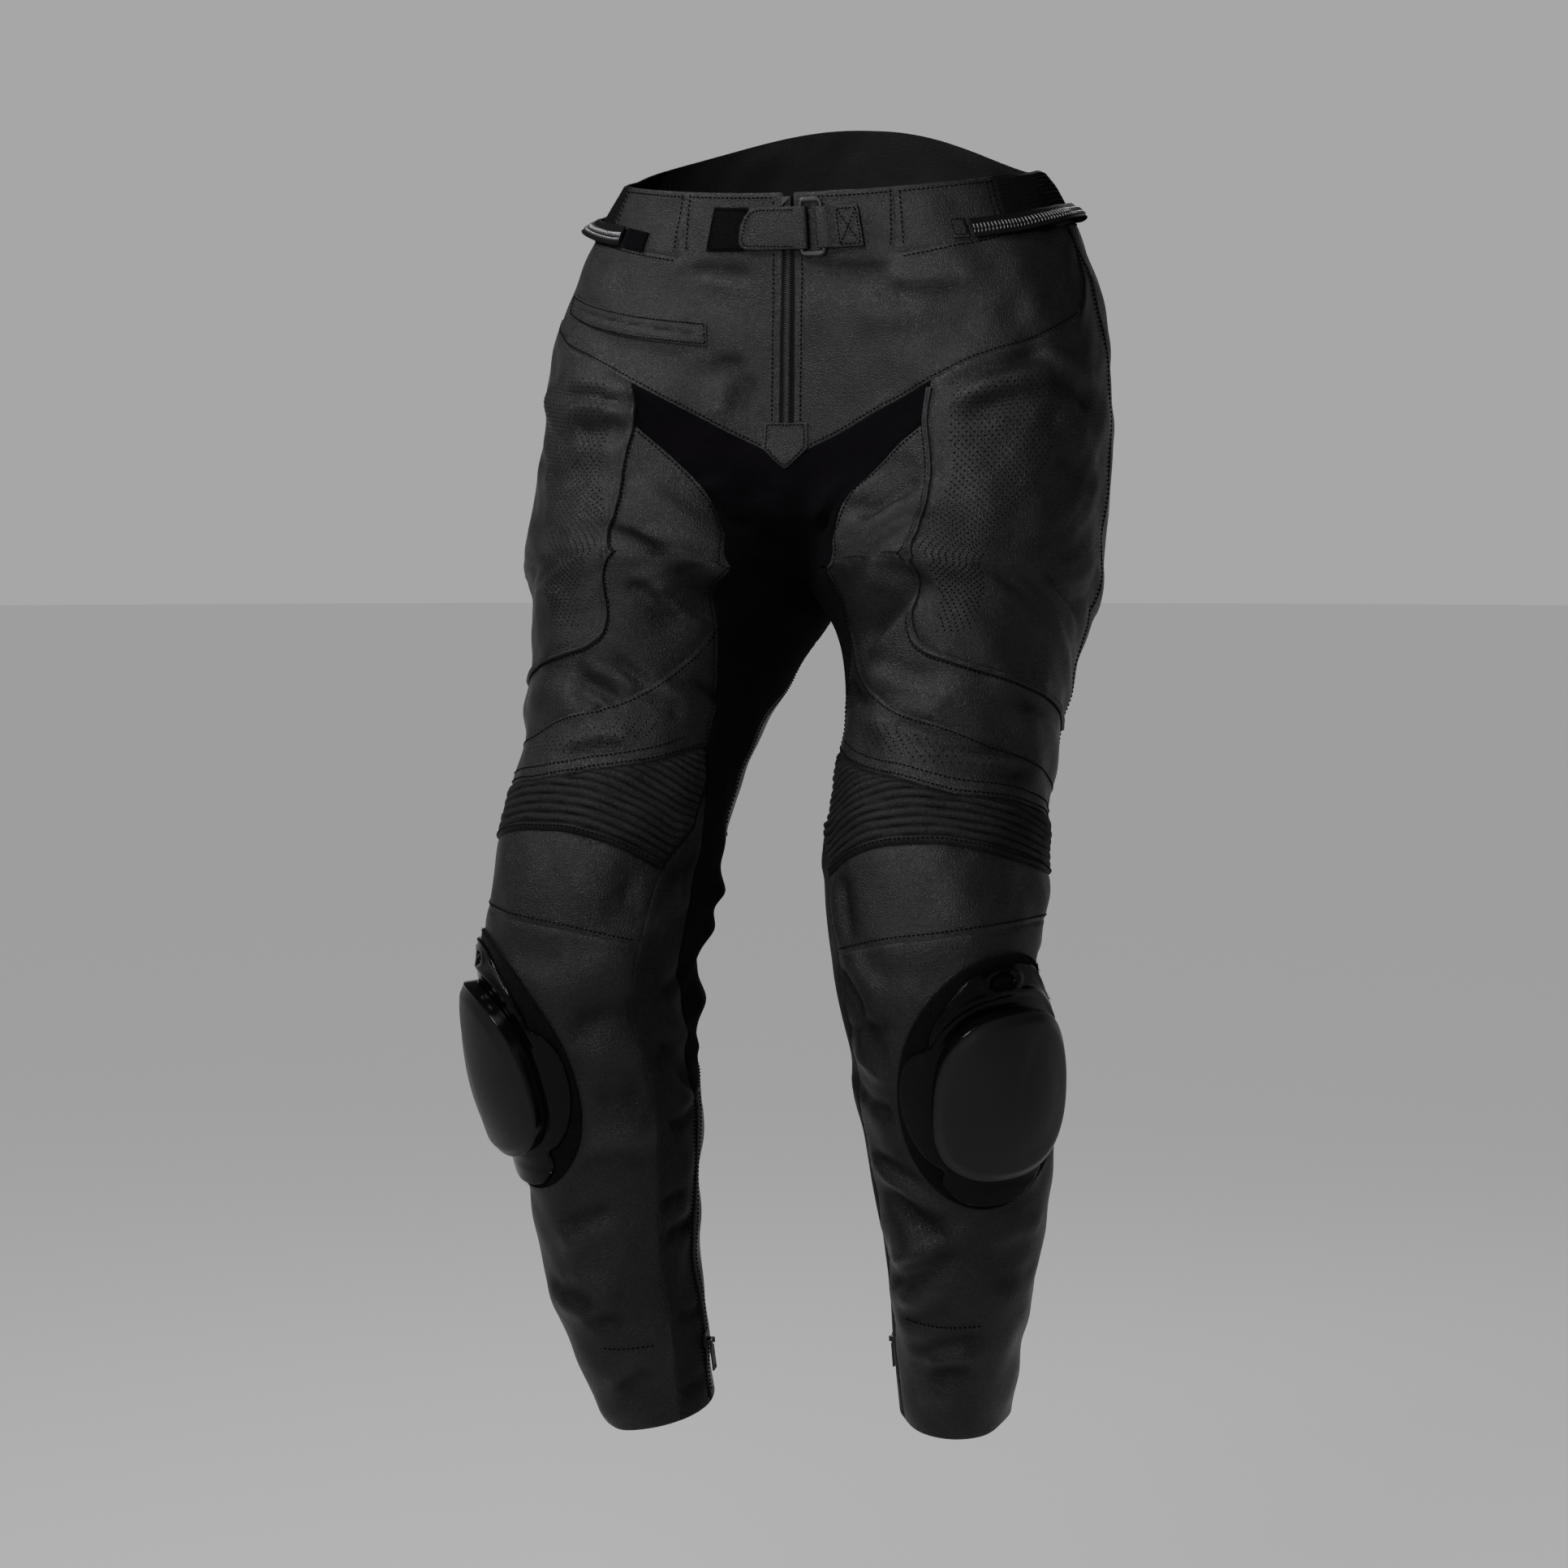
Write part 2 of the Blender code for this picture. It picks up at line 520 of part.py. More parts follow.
def distances(points, starts, stops):
    """The distance from each point to the nearest of the segments."""
    best = np.full(len(points), 1e9)
    for start, stop in zip(starts, stops):
        along = stop - start
        share = np.clip((points - start) @ along / max(along @ along, 1e-12), 0, 1)
        gap = np.linalg.norm(points - start - share[:, None] * along, axis=1)
        best = np.minimum(best, gap)
    return best


def stretch(seam, start, stop):
    """The points of a seam from one knot to another."""
    line = curved(SMOOTH_SEAMS[seam])
    first = int(np.argmin(np.hypot(*(line - start).T)))
    last = int(np.argmin(np.hypot(*(line - stop).T)))
    return line[first:last + 1]


def accordion_outline():
    top = curved(SMOOTH_SEAMS["accordion_top"])
    low = curved(SMOOTH_SEAMS["accordion_low"])
    outside = stretch("outseam", OUT_BAND, OUT_ACCORDION)
    upper = stretch("gusset_front", BAND_INSIDE, STRIP_TOP)
    lower = stretch("strip_front", STRIP_TOP, ACCORDION_LOW)
    edge = np.concatenate([upper, lower[1:]])[::-1]
    return np.concatenate([top, outside[1:], low[::-1][1:], edge[1:-1]])


def rib_rows():
    """Lines along the crests and valleys of the ribs, at a half pitch, with True for a crest."""
    ring = flat(accordion_outline())
    low = curved(SMOOTH_SEAMS["accordion_low"], 0.008)
    girth = np.linspace(-0.01, 0.53, 260)
    base = np.interp(girth, low[:, 0], low[:, 1])
    half = (RIB_PITCH + (RIB_PITCH_OUTSIDE - RIB_PITCH) * np.clip(girth / 0.5, 0, 1)) / 2
    rows = []
    for k in range(1, 40):
        line = np.stack([girth, base - k * half], -1)
        plane = flat(line)
        clear = distances(plane, ring, np.roll(ring, -1, axis=0)) > RIB_CLEAR
        kept = np.flatnonzero(inside(ring, plane) & clear)
        for run in np.split(kept, np.flatnonzero(np.diff(kept) > 1) + 1):
            if len(run) < 14:
                continue
            count = max(2, round(lengths(line[run]).sum() / SPACING) + 1)
            picked = np.round(np.linspace(0, len(run) - 1, count)).astype(int)
            rows.append((line[run[picked]], k % 2 == 1))
    return rows


class Pattern:
    """The half's seams, outlines and points, cut into triangles that keep to every line."""

    def __init__(self):
        self.points = []
        self.index = {}
        self.edges = []
        self.barriers = set()
        self.crests = set()

    def add_point(self, point):
        key = (round(float(point[0]), 7), round(float(point[1]), 7))
        if key not in self.index:
            self.index[key] = len(self.points)
            self.points.append(key)
        return self.index[key]

    def add_line(self, line, closed=False, barrier=False):
        ids = [self.add_point(point) for point in line]
        if closed:
            ids.append(ids[0])
        for a, b in zip(ids[:-1], ids[1:]):
            if barrier:
                self.barriers.add(len(self.edges))
            self.edges.append((a, b))
        return ids

    def add_outline(self):
        """The centre lines, the waist edge and the hem, with every point where a line meets them."""
        met = np.array(self.points)
        on_front = met[met[:, 0] == 0, 1]
        on_back = met[met[:, 0] == 1, 1]
        inseam = [d for d in np.concatenate([on_front, on_back]) if d > CROTCH]
        for girth, own in ((0.0, on_front), (1.0, on_back)):
            rise = [d for d in own if d < CROTCH]
            stops = np.unique(np.round([0, CROTCH, HEM, *rise, *inseam], 7))
            knots = np.stack([np.full(len(stops), girth), stops], -1)
            self.add_line(straight(knots), barrier=True)
        for down in (0.0, HEM):
            stops = np.unique([0.0, 1.0, *met[met[:, 1] == down, 0]])
            knots = np.stack([stops, np.full(len(stops), down)], -1)
            self.add_line(straight(knots), barrier=True)

    def fill(self):
        """Evenly spaced points, clear of the lines."""
        made = np.array(self.points)
        solid = form(made[:, 0], made[:, 1])
        pairs = np.array(self.edges)
        ribs = flat(accordion_outline())
        number = 0
        down = SPACING * 0.6
        while down < HEM:
            spacing = spacing_at(down)
            count = round(row_length(down) / spacing)
            girth = (np.arange(count) + 0.5 * (number % 2)) / count
            row = np.stack([girth, np.full(count, down)], -1)
            number += 1
            down += spacing * 0.866
            row = row[~inside(ribs, flat(row))]
            gap = distances(form(row[:, 0], row[:, 1]), solid[pairs[:, 0]], solid[pairs[:, 1]])
            for point in row[gap > spacing * NEAREST]:
                self.add_point(point)

    def cut(self):
        plane = flat(np.array(self.points))
        done = delaunay_2d_cdt([tuple(p) for p in plane], self.edges, [], 0, 1e-7, True)
        verts, edges, faces, from_verts, from_edges, _ = done
        self.plane = np.array([tuple(v) for v in verts])
        self.net = unflat(self.plane)
        for i, sources in enumerate(from_verts):
            if sources:
                self.net[i] = self.points[sources[0]]
        self.crest_points = {i for i, sources in enumerate(from_verts) if self.crests & set(sources)}
        self.walls = {tuple(sorted(edges[i])) for i, sources in enumerate(from_edges)
                      if self.barriers & set(sources)}
        self.faces = np.array([tuple(f) for f in faces])
        corners = self.plane[self.faces]
        one = corners[:, 1] - corners[:, 0]
        two = corners[:, 2] - corners[:, 0]
        turned = one[:, 0] * two[:, 1] - one[:, 1] * two[:, 0] < 0
        self.faces[turned] = self.faces[turned][:, ::-1]

    def name_regions(self):
        """Fills outwards from a point inside each region until the seams stop it."""
        beside = {}
        for number, face in enumerate(self.faces):
            for a, b in ((0, 1), (1, 2), (2, 0)):
                beside.setdefault(tuple(sorted((face[a], face[b]))), []).append(number)
        self.region = np.full(len(self.faces), "", dtype=object)
        for name, seeds in REGIONS.items():
            for seed in seeds:
                self.spread(name, self.face_at(flat(np.array([seed]))[0]), beside)

    def face_at(self, point):
        corners = self.plane[self.faces]
        inside_all = np.ones(len(self.faces), bool)
        for a, b in ((0, 1), (1, 2), (2, 0)):
            along = corners[:, b] - corners[:, a]
            to_point = point - corners[:, a]
            inside_all &= along[:, 0] * to_point[:, 1] - along[:, 1] * to_point[:, 0] >= 0
        return int(np.flatnonzero(inside_all)[0])

    def spread(self, name, first, beside):
        waiting = [first]
        while waiting:
            number = waiting.pop()
            if self.region[number] == name:
                continue
            if self.region[number]:
                raise ValueError(f"{name} runs into {self.region[number]}")
            self.region[number] = name
            face = self.faces[number]
            for a, b in ((0, 1), (1, 2), (2, 0)):
                edge = tuple(sorted((face[a], face[b])))
                if edge not in self.walls:
                    waiting += [other for other in beside[edge] if other != number]

    def faces_inside(self, outline):
        """Which of the faces inside the seams lie inside an outline of girths and downs."""
        return inside(flat(outline), self.plane[self.faces].mean(axis=1)) & (self.region != "")


OUTLINES = {
    "fly_tab": straight(FLY_TAB),
    "pocket_welt": straight(POCKET + POCKET[:1])[:-1],
    "strap_pad": straight(PAD + PAD[:1])[:-1],
    "knee_pile": oval(PILE_GIRTH, PILE_DOWN, 2, 24),
    "slider_base": base_outline(),
    "slider_hole": hole_outline(),
    "slider_puck": oval(PUCK_GIRTH, PUCK_DOWN, PUCK_OVAL, 20),
    "puck_face": oval(PUCK_GIRTH, PUCK_DOWN, PUCK_OVAL, 20, PUCK_FACE),
    "piping": piping_outline(),
}


def make_pattern():
    pattern = Pattern()
    for knots in SMOOTH_SEAMS.values():
        pattern.add_line(curved(knots), barrier=True)
    for knots in STRAIGHT_SEAMS.values():
        pattern.add_line(straight(knots), barrier=True)
    for name, outline in OUTLINES.items():
        pattern.add_line(outline, closed=name != "fly_tab")
    for line, is_crest in rib_rows():
        ids = pattern.add_line(line)
        if is_crest:
            pattern.crests.update(ids)
    pattern.add_outline()
    pattern.fill()
    pattern.cut()
    pattern.name_regions()
    return pattern


class Cloth:
    """Both halves joined at the centre lines and inseams, with one normal at every point."""

    def __init__(self, pattern):
        self.pattern = pattern
        self.ids = {1: [], -1: []}
        keys = {}
        places = []
        lifts = []
        for side in (1, -1):
            girths, downs = pattern.net.T
            base = on_side(side, girths, downs, form(girths, downs))
            lift = fold_height(side, girths, downs)
            for i, (girth, down) in enumerate(pattern.net):
                key = self.key(side, i, girth, down)
                if key not in keys:
                    keys[key] = len(places)
                    places.append([])
                    lifts.append([])
                self.ids[side].append(keys[key])
                places[keys[key]].append(base[i])
                lifts[keys[key]].append(lift[i])
            self.ids[side] = np.array(self.ids[side])
        self.base = np.array([np.mean(p, axis=0) for p in places])
        self.lift = np.array([np.mean(v) for v in lifts])
        for key, number in keys.items():
            if key[0] in ("front", "back", "crotch"):
                self.base[number, 0] = 0
        self.points = self.base + self.normals(self.base) * self.lift[:, None]
        self.normal = self.normals(self.points)

    @staticmethod
    def key(side, number, girth, down):
        on_edge = girth < 1e-6 or girth > 1 - 1e-6
        if not on_edge:
            return (side, number)
        if abs(down - CROTCH) < 1e-6:
            return ("crotch",)
        if down > CROTCH:
            return ("inseam", side, round(float(down), 6))
        return ("front" if girth < 0.5 else "back", round(float(down), 6))

    def normals(self, points):
        total = np.zeros_like(points)
        for side in (1, -1):
            faces = self.faces(side, self.pattern.region != "")
            a, b, c = (points[faces[:, k]] for k in range(3))
            area = np.cross(b - a, c - a)
            for k in range(3):
                np.add.at(total, faces[:, k], area)
        size = np.linalg.norm(total, axis=1, keepdims=True)
        return total / np.maximum(size, 1e-12)

    def faces(self, side, chosen):
        """Faces turned outwards. In the plane, down runs the other way from up, so the left's turn over."""
        faces = self.ids[side][self.pattern.faces[chosen]]
        return faces[:, ::-1] if side == 1 else faces


# Solids -----------------------------------------------------------------------------------------------

def material(name):
    found = bpy.data.materials.get(name)
    if found:
        return found
    red, green, blue, roughness, metallic = MATERIALS[name]
    made = bpy.data.materials.new(name)
    made.use_nodes = True
    shader = made.node_tree.nodes["Principled BSDF"]
    shader.inputs["Base Color"].default_value = (red, green, blue, 1)
    shader.inputs["Roughness"].default_value = roughness
    shader.inputs["Metallic"].default_value = metallic
    made.diffuse_color = (red, green, blue, 1)
    return made


def add_object(name, points, faces, material_name, flat_faces=(), origin=(0, 0, 0)):
    mesh = bpy.data.meshes.new(name)
    shifted = np.asarray(points, float) - np.asarray(origin, float)
    mesh.from_pydata([tuple(p) for p in shifted], [], [tuple(int(i) for i in f) for f in faces])
    mesh.update()
    flat_set = set(flat_faces)
    for polygon in mesh.polygons:
        polygon.use_smooth = polygon.index not in flat_set
    mesh.materials.append(material(material_name))
    made = bpy.data.objects.new(name, mesh)
    made.location = origin
    bpy.context.scene.collection.objects.link(made)
    if flat_set:
        mark_sharp(mesh, flat_set)
    return made


def mark_sharp(mesh, flat_set):
    sharp = set()
    for number in flat_set:
        sharp.update(mesh.polygons[number].edge_keys)
    for edge in mesh.edges:
        edge.use_edge_sharp = tuple(edge.key) in sharp


def border(faces):
    """The directed edges that only one face has."""
    seen = {(int(a), int(b)) for f in faces for a, b in ((f[0], f[1]), (f[1], f[2]), (f[2], f[0]))}
    return [(a, b) for a, b in sorted(seen) if (b, a) not in seen]


def seam_moves(points, normal, edges, distance):
    """How far each border point moves in from its seam."""
    moves = {}
    before = {}
    after = {}
    for a, b in edges:
        if a in after or b in before:
            raise ValueError("a piece touches itself at a point")
        after[a] = b
        before[b] = a
    for middle in after:
        inward = []
        for a, b in ((before[middle], middle), (middle, after[middle])):
            aside = np.cross(normal[middle], points[b] - points[a])
            inward.append(aside / np.linalg.norm(aside))
        bend = max(1 + inward[0] @ inward[1], 0.12)
        moves[middle] = (inward[0] + inward[1]) / bend * distance
    return moves


def wall(name, faces, inner, outer, material_name):
    """A closed wall between two copies of a patch. Its rim folds the same way as its neighbour's."""
    used = np.unique(faces)
    slot = {int(v): i for i, v in enumerate(used)}
    count = len(used)
    points = np.concatenate([outer[used], inner[used]])
    out = [[slot[int(v)] for v in f] for f in faces]
    back = [[slot[int(v)] + count for v in f[::-1]] for f in faces]
    rim = []
    for a, b in border(faces):
        i, j = slot[a], slot[b]
        if a < b:
            rim += [[j, i, j + count], [i, i + count, j + count]]
        else:
            rim += [[j, i, i + count], [j, i + count, j + count]]
    all_faces = out + back + rim
    rim_numbers = range(len(out) + len(back), len(all_faces))
    return add_object(name, points, all_faces, material_name, rim_numbers)


def panel(cloth, name, faces, thickness, material_name, raised=None):
    """A cut piece, moved in from its seams. Its outer points may be raised over a plain inside."""
    points = cloth.points.copy()
    for number, move in seam_moves(points, cloth.normal, border(faces), SEAM_GAP / 2).items():
        points[number] = points[number] + move
    lift = np.zeros(len(points)) if raised is None else raised
    outer = points + cloth.normal * lift[:, None]
    inner = points - cloth.normal * thickness
    return wall(name, faces, inner, outer, material_name)


def laid(cloth, name, faces, low, high, material_name):
    """A piece that lies on the cloth, between two heights over it."""
    inner = cloth.points + cloth.normal * np.asarray(low)[..., None]
    outer = cloth.points + cloth.normal * np.asarray(high)[..., None]
    return wall(name, faces, inner, outer, material_name)


def both(cloth, chosen, sides=(1, -1)):
    return np.concatenate([cloth.faces(side, chosen) for side in sides])


def side_name(side):
    return "left" if side == 1 else "right"


THICKNESS = {
    "waist_side": LEATHER + 0.0002, "waist_elastic": WEB, "waistband_back": LEATHER + 0.0002,
    "fly_zip": ZIP_TAPE, "gusset": TEXTILE, "ankle_zip": ZIP_TAPE, "accordion": LEATHER,
}
REGION_MATERIAL = {
    "waist_elastic": "stretch_web", "fly_zip": "zip_coil", "gusset": "stretch_textile",
    "ankle_zip": "zip_coil", "calf_strip": "leather_soft", "accordion": "leather_soft",
}


def add_panels(cloth):
    pattern = cloth.pattern
    ribs = np.zeros(len(cloth.points))
    for side in (1, -1):
        for number in pattern.crest_points:
            ribs[cloth.ids[side][number]] = RIB_HEIGHT
    for name in REGIONS:
        chosen = pattern.region == name
        thickness = THICKNESS.get(name, LEATHER)
        look = REGION_MATERIAL.get(name, "leather")
        raised = ribs if name == "accordion" else None
        if name in JOINED_REGIONS:
            panel(cloth, name, both(cloth, chosen), thickness, look)
            continue
        for side in (1, -1):
            title = f"{name}_{side_name(side)}"
            panel(cloth, title, cloth.faces(side, chosen), thickness, look, raised)


def add_piping(cloth, chosen):
    pattern = cloth.pattern
    seam = flat(curved(SMOOTH_SEAMS["piped"], 0.004))
    gap = distances(pattern.plane, seam[:-1], seam[1:])
    crest = np.clip(1 - gap / (PIPING_WIDTH * 0.5), 0, 1)
    for side in (1, -1):
        low = np.full(len(cloth.points), LAID_GAP)
        high = np.full(len(cloth.points), LAID_GAP + 0.0009)
        high[cloth.ids[side]] += crest * (PIPING_HEIGHT - 0.0009)
        laid(cloth, f"piping_{side_name(side)}", cloth.faces(side, chosen), low, high, "leather")


def puck_height(net):
    """Rises from the rim over the bevel to the crown."""
    turned = net - np.stack([slider_axis(net[:, 1]), np.full(len(net), SLIDER_DOWN)], -1)
    out = np.abs(turned[:, 0] / PUCK_GIRTH) ** PUCK_OVAL + np.abs(turned[:, 1] / PUCK_DOWN) ** PUCK_OVAL
    reach = np.clip(out ** (1 / PUCK_OVAL), 0, 1)
    bevel = smooth((1 - reach) / (1 - PUCK_FACE)) * 0.0038
    dome = (1 - (np.minimum(reach, PUCK_FACE) / PUCK_FACE) ** 2) * (PUCK_CROWN - PUCK_RIM - 0.0038)
    return PUCK_RIM + bevel + dome


def add_knee_slider(cloth, inside_of):
    pattern = cloth.pattern
    plate = inside_of["slider_base"] & ~inside_of["slider_hole"]
    height = puck_height(pattern.net)
    for side in (1, -1):
        title = side_name(side)
        pile = LAID_GAP + PILE
        base = pile + LAID_GAP + BASE
        flat_low = np.full(len(cloth.points), 1.0)
        laid(cloth, f"knee_pile_{title}", cloth.faces(side, inside_of["knee_pile"]),
             flat_low * LAID_GAP, flat_low * pile, "loop_pile")
        laid(cloth, f"slider_base_{title}", cloth.faces(side, plate),
             flat_low * (pile + LAID_GAP), flat_low * base, "gloss_plastic")
        middle = normal_at(np.array([SLIDER_GIRTH]), np.array([SLIDER_DOWN]))[0] * np.array([side, 1, 1])
        inner = cloth.points + cloth.normal * (base + LAID_GAP)
        outer = inner.copy()
        blend = cloth.normal * 0.5 + middle * 0.5
        blend /= np.maximum(np.linalg.norm(blend, axis=1, keepdims=True), 1e-9)
        ids = cloth.ids[side]
        outer[ids] = inner[ids] + blend[ids] * height[:, None]
        wall(f"slider_puck_{title}", cloth.faces(side, inside_of["slider_puck"]), inner, outer,
             "satin_plastic")


def add_laid_pieces(cloth):
    pattern = cloth.pattern
    inside_of = {name: pattern.faces_inside(outline) for name, outline in OUTLINES.items()}
    ones = np.ones(len(cloth.points))
    low = ones * LAID_GAP
    laid(cloth, "fly_tab", both(cloth, inside_of["fly_tab"]), low, low + LEATHER, "leather")
    laid(cloth, "pocket_welt", cloth.faces(-1, inside_of["pocket_welt"]), low, low + LEATHER, "leather")
    laid(cloth, "strap_pad", cloth.faces(-1, inside_of["strap_pad"]), low, low + LEATHER, "loop_pile")
    add_piping(cloth, inside_of["piping"])
    add_knee_slider(cloth, inside_of)


# Strap, loop and zips ---------------------------------------------------------------------------------

def loft(name, rings, material_name, closed=False, smooth_sides=True):
    """A skin over rings of points, with flat ends unless it closes on itself."""
    rings = np.asarray(rings, float)
    count, size = rings.shape[:2]
    faces = []
    for i in range(count if closed else count - 1):
        j = (i + 1) % count
        for k in range(size):
            m = (k + 1) % size
            faces.append([i * size + k, i * size + m, j * size + m, j * size + k])
    if not closed:
        faces.append(list(range(size))[::-1])
        faces.append([(count - 1) * size + k for k in range(size)])
    points = rings.reshape(-1, 3)
    if volume(points, faces) < 0:
        faces = [f[::-1] for f in faces]
    flat_faces = () if smooth_sides else range(len(faces))
    return add_object(name, points, faces, material_name, flat_faces)


def volume(points, faces):
    total = 0.0
    for face in faces:
        for k in range(1, len(face) - 1):
            total += np.dot(points[face[0]], np.cross(points[face[k]], points[face[k + 1]]))
    return total / 6


def ribbon(name, place, middle, top, low, thickness, material_name):
    """A strip along a line of (station, height), with its own upper and lower edge at every station."""
    middle = np.asarray(middle, float)
    along = np.gradient(middle, axis=0)
    along /= np.linalg.norm(along, axis=1, keepdims=True)
    aside = np.stack([-along[:, 1], along[:, 0]], -1) * thickness / 2
    one = middle + aside
    two = middle - aside
    top = np.broadcast_to(top, len(middle))
    low = np.broadcast_to(low, len(middle))
    rings = []
    for i in range(len(middle)):
        centre = (top[i] + low[i]) / 2
        rows = np.array([top[i], centre, low[i], low[i], centre, top[i]])
        ends = np.array([one[i], one[i], one[i], two[i], two[i], two[i]])
        rings.append(place(ends[:, 0], rows, ends[:, 1]))
    return loft(name, rings, material_name, smooth_sides=False)


def turned_ends(bar, toward, low_height, high_height):
    """The turn of a strip round a bar, from under it to over it."""
    turn = np.linspace(-90, 90, 9)
    x = bar + toward * (TURN_RADIUS + 0.0006) * np.cos(np.radians(turn))
    middle = (low_height + high_height) / 2
    height = middle + (high_height - low_height) / 2 * np.sin(np.radians(turn))
    return np.stack([x, height], -1)


def add_strap():
    under = BAR_HEIGHT - TURN_RADIUS
    above = BAR_HEIGHT + TURN_RADIUS
    rest = under + STRAP + 0.0004
    turn = turned_ends(0.0148, 1, under, above)
    first = [(-0.028, under), (-0.020, under), (-0.010, under), (0.0, under), (0.008, under)]
    last = [(0.0100, above - 0.0003), (0.0040, above - 0.0018), (-0.004, rest), (-0.014, rest),
            (-0.024, rest), (-0.031, rest - 0.0002), (-0.036, rest - 0.0004), (-0.0385, rest - 0.0004)]
    middle = np.array(first + [tuple(p) for p in turn] + last)
    top = np.full(len(middle), STRAP_TOP)
    low = np.full(len(middle), STRAP_BOTTOM)
    top[-2] += 0.0045
    top[-1] += 0.0105
    low[-2] -= 0.0030
    low[-1] -= 0.0080
    ribbon("waist_strap", over_front, middle, top, low, STRAP, "leather")


def add_anchor():
    under = BAR_HEIGHT - TURN_RADIUS
    above = BAR_HEIGHT + TURN_RADIUS
    turn = turned_ends(0.0288, -1, under, above)
    first = [(0.0616, 0.0014), (0.052, 0.0014), (0.043, 0.0016), (0.036, 0.0022)]
    last = [(0.0345, above - 0.0003), (0.0385, above - 0.0020), (0.043, 0.0036), (0.052, 0.0030),
            (0.0616, 0.0030)]
    middle = np.array(first + [tuple(p) for p in turn] + last)
    ribbon("strap_anchor", over_front, middle, STRAP_TOP + 0.0005, STRAP_BOTTOM - 0.0005, STRAP, "leather")


def add_loop():
    """A rounded rectangle of metal rod with flattened sides."""
    left, right = 0.0306, 0.0128
    top, low = 0.0055, 0.0425
    corner = 0.003
    path = []
    for x, down, start in ((left - corner, low - corner, 0), (right + corner, low - corner, 90),
                           (right + corner, top + corner, 180), (left - corner, top + corner, 270)):
        for angle in np.radians([start, start + 45, start + 90]):
            path.append((x + corner * math.cos(angle), down + corner * math.sin(angle),
                         math.cos(angle), math.sin(angle)))
    turn = np.radians(np.arange(22.5, 360, 45))
    rings = []
    for x, down, out_x, out_down in path:
        across = 0.0019 * np.cos(turn)
        up = BAR_HALF * np.sin(turn)
        rings.append(over_front(x + across * out_x, down + across * out_down, BAR_HEIGHT + up))
    loft("strap_loop", rings, "dark_metal", closed=True)


def add_fly_slider():
    """The slider's body above the strap, with its pull tucked under it."""
    body = [(-0.0042, 0.0030), (-0.0042, 0.0092), (-0.0030, 0.0092), (-0.0030, 0.0300),
            (0.0030, 0.0300), (0.0030, 0.0092), (0.0042, 0.0092), (0.0042, 0.0030)]
    x = np.array([p[0] for p in body])
    down = np.array([p[1] for p in body])
    high = np.array([0.0036, 0.0036, 0.0016, 0.0016, 0.0016, 0.0016, 0.0036, 0.0036])
    rings = [over_front(x, down, 0.0008), over_front(x, down, high)]
    loft("fly_slider", rings, "dark_metal", smooth_sides=False)


def connector_place(station, down, height):
    """Stations run from 0 on the left front, round the back at 1, to 2 on the right front."""
    girth = np.minimum(station, 2 - station)
    left = over(1, girth, down, height)
    right = over(-1, girth, down, height)
    return np.where((station > 1)[..., None], right, left)


def add_connector():
    """Half of a joining zip, sewn on below the band and standing off at the sides."""
    station = np.concatenate([np.linspace(0.256, 0.62, 22), np.linspace(0.66, 1.34, 18),
                              np.linspace(1.38, 1.742, 22)])
    girth = np.minimum(station, 2 - station)
    flare = 0.0105 * np.exp(-((girth - 0.47) / 0.10) ** 2)
    middle = np.stack([station, 0.0026 + flare * 0.25], -1)
    rings = []
    for at, height, out in zip(station, middle[:, 1], flare):
        rows = np.array([0.0265, 0.0345, 0.0395, 0.0395, 0.0345, 0.0265])
        share = np.array([0.0, 0.6, 1.0, 1.0, 0.6, 0.0])
        outer = np.array([1, 1, 1, 0, 0, 0]) * ZIP_TAPE
        rings.append(connector_place(np.full(6, at), rows, height + out * share + outer))
    loft("connector_zip", rings, "zip_coil", smooth_sides=False)


def add_flap(name, side, girths, downs, height, thickness, material_name):
    """A small flat piece over the cloth, bounded by a pair of girths and rows at each end."""
    (girth_a, girth_b), (top_a, low_a), (top_b, low_b) = girths, downs[0], downs[1]
    count = 9
    rings = []
    for share in np.linspace(0, 1, count):
        girth = girth_a + (girth_b - girth_a) * share
        top = top_a + (top_b - top_a) * share
        low = low_a + (low_b - low_a) * share
        rows = np.array([top, (top + low) / 2, low, low, (top + low) / 2, top])
        rise = height + np.array([1, 1, 1, 0, 0, 0]) * thickness
        rings.append(over(side, np.full(6, girth), rows, rise))
    loft(name, rings, material_name, smooth_sides=False)


def local_frame(girth, down):
    """The middle of a small fitting and its directions: across, down the cloth and outwards."""
    at = np.array([girth])
    row = np.array([down])
    origin = over(1, at, row, 0.0)[0]
    out = normal_at(at, row)[0]
    below = over(1, at, row + 0.004, 0.0)[0] - over(1, at, row - 0.004, 0.0)[0]
    below -= out * (below @ out)
    below /= np.linalg.norm(below)
    return origin, np.cross(below, out), below, out


def block(low, high):
    mesh = bmesh.new()
    bmesh.ops.create_cube(mesh, size=1)
    low = np.array(low) * TO_MM
    high = np.array(high) * TO_MM
    for vert in mesh.verts:
        vert.co = tuple(low + (high - low) * (np.array(vert.co) + 0.5))
    return as_object(mesh)


def rod(radius, half_length, centre, axis, segments=16):
    """A round bar along the across (0) or outward (2) direction."""
    mesh = bmesh.new()
    bmesh.ops.create_cone(mesh, cap_ends=True, segments=segments, radius1=radius * TO_MM,
                          radius2=radius * TO_MM, depth=2 * half_length * TO_MM)
    for vert in mesh.verts:
        x, y, z = vert.co
        point = (z, y, x) if axis == 0 else (x, y, z)
        vert.co = tuple(np.array(point) + np.array(centre) * TO_MM)
    if axis == 0:
        bmesh.ops.reverse_faces(mesh, faces=mesh.faces)
    return as_object(mesh)


def as_object(mesh):
    data = bpy.data.meshes.new("piece")
    mesh.to_mesh(data)
    mesh.free()
    made = bpy.data.objects.new("piece", data)
    bpy.context.scene.collection.objects.link(made)
    return made


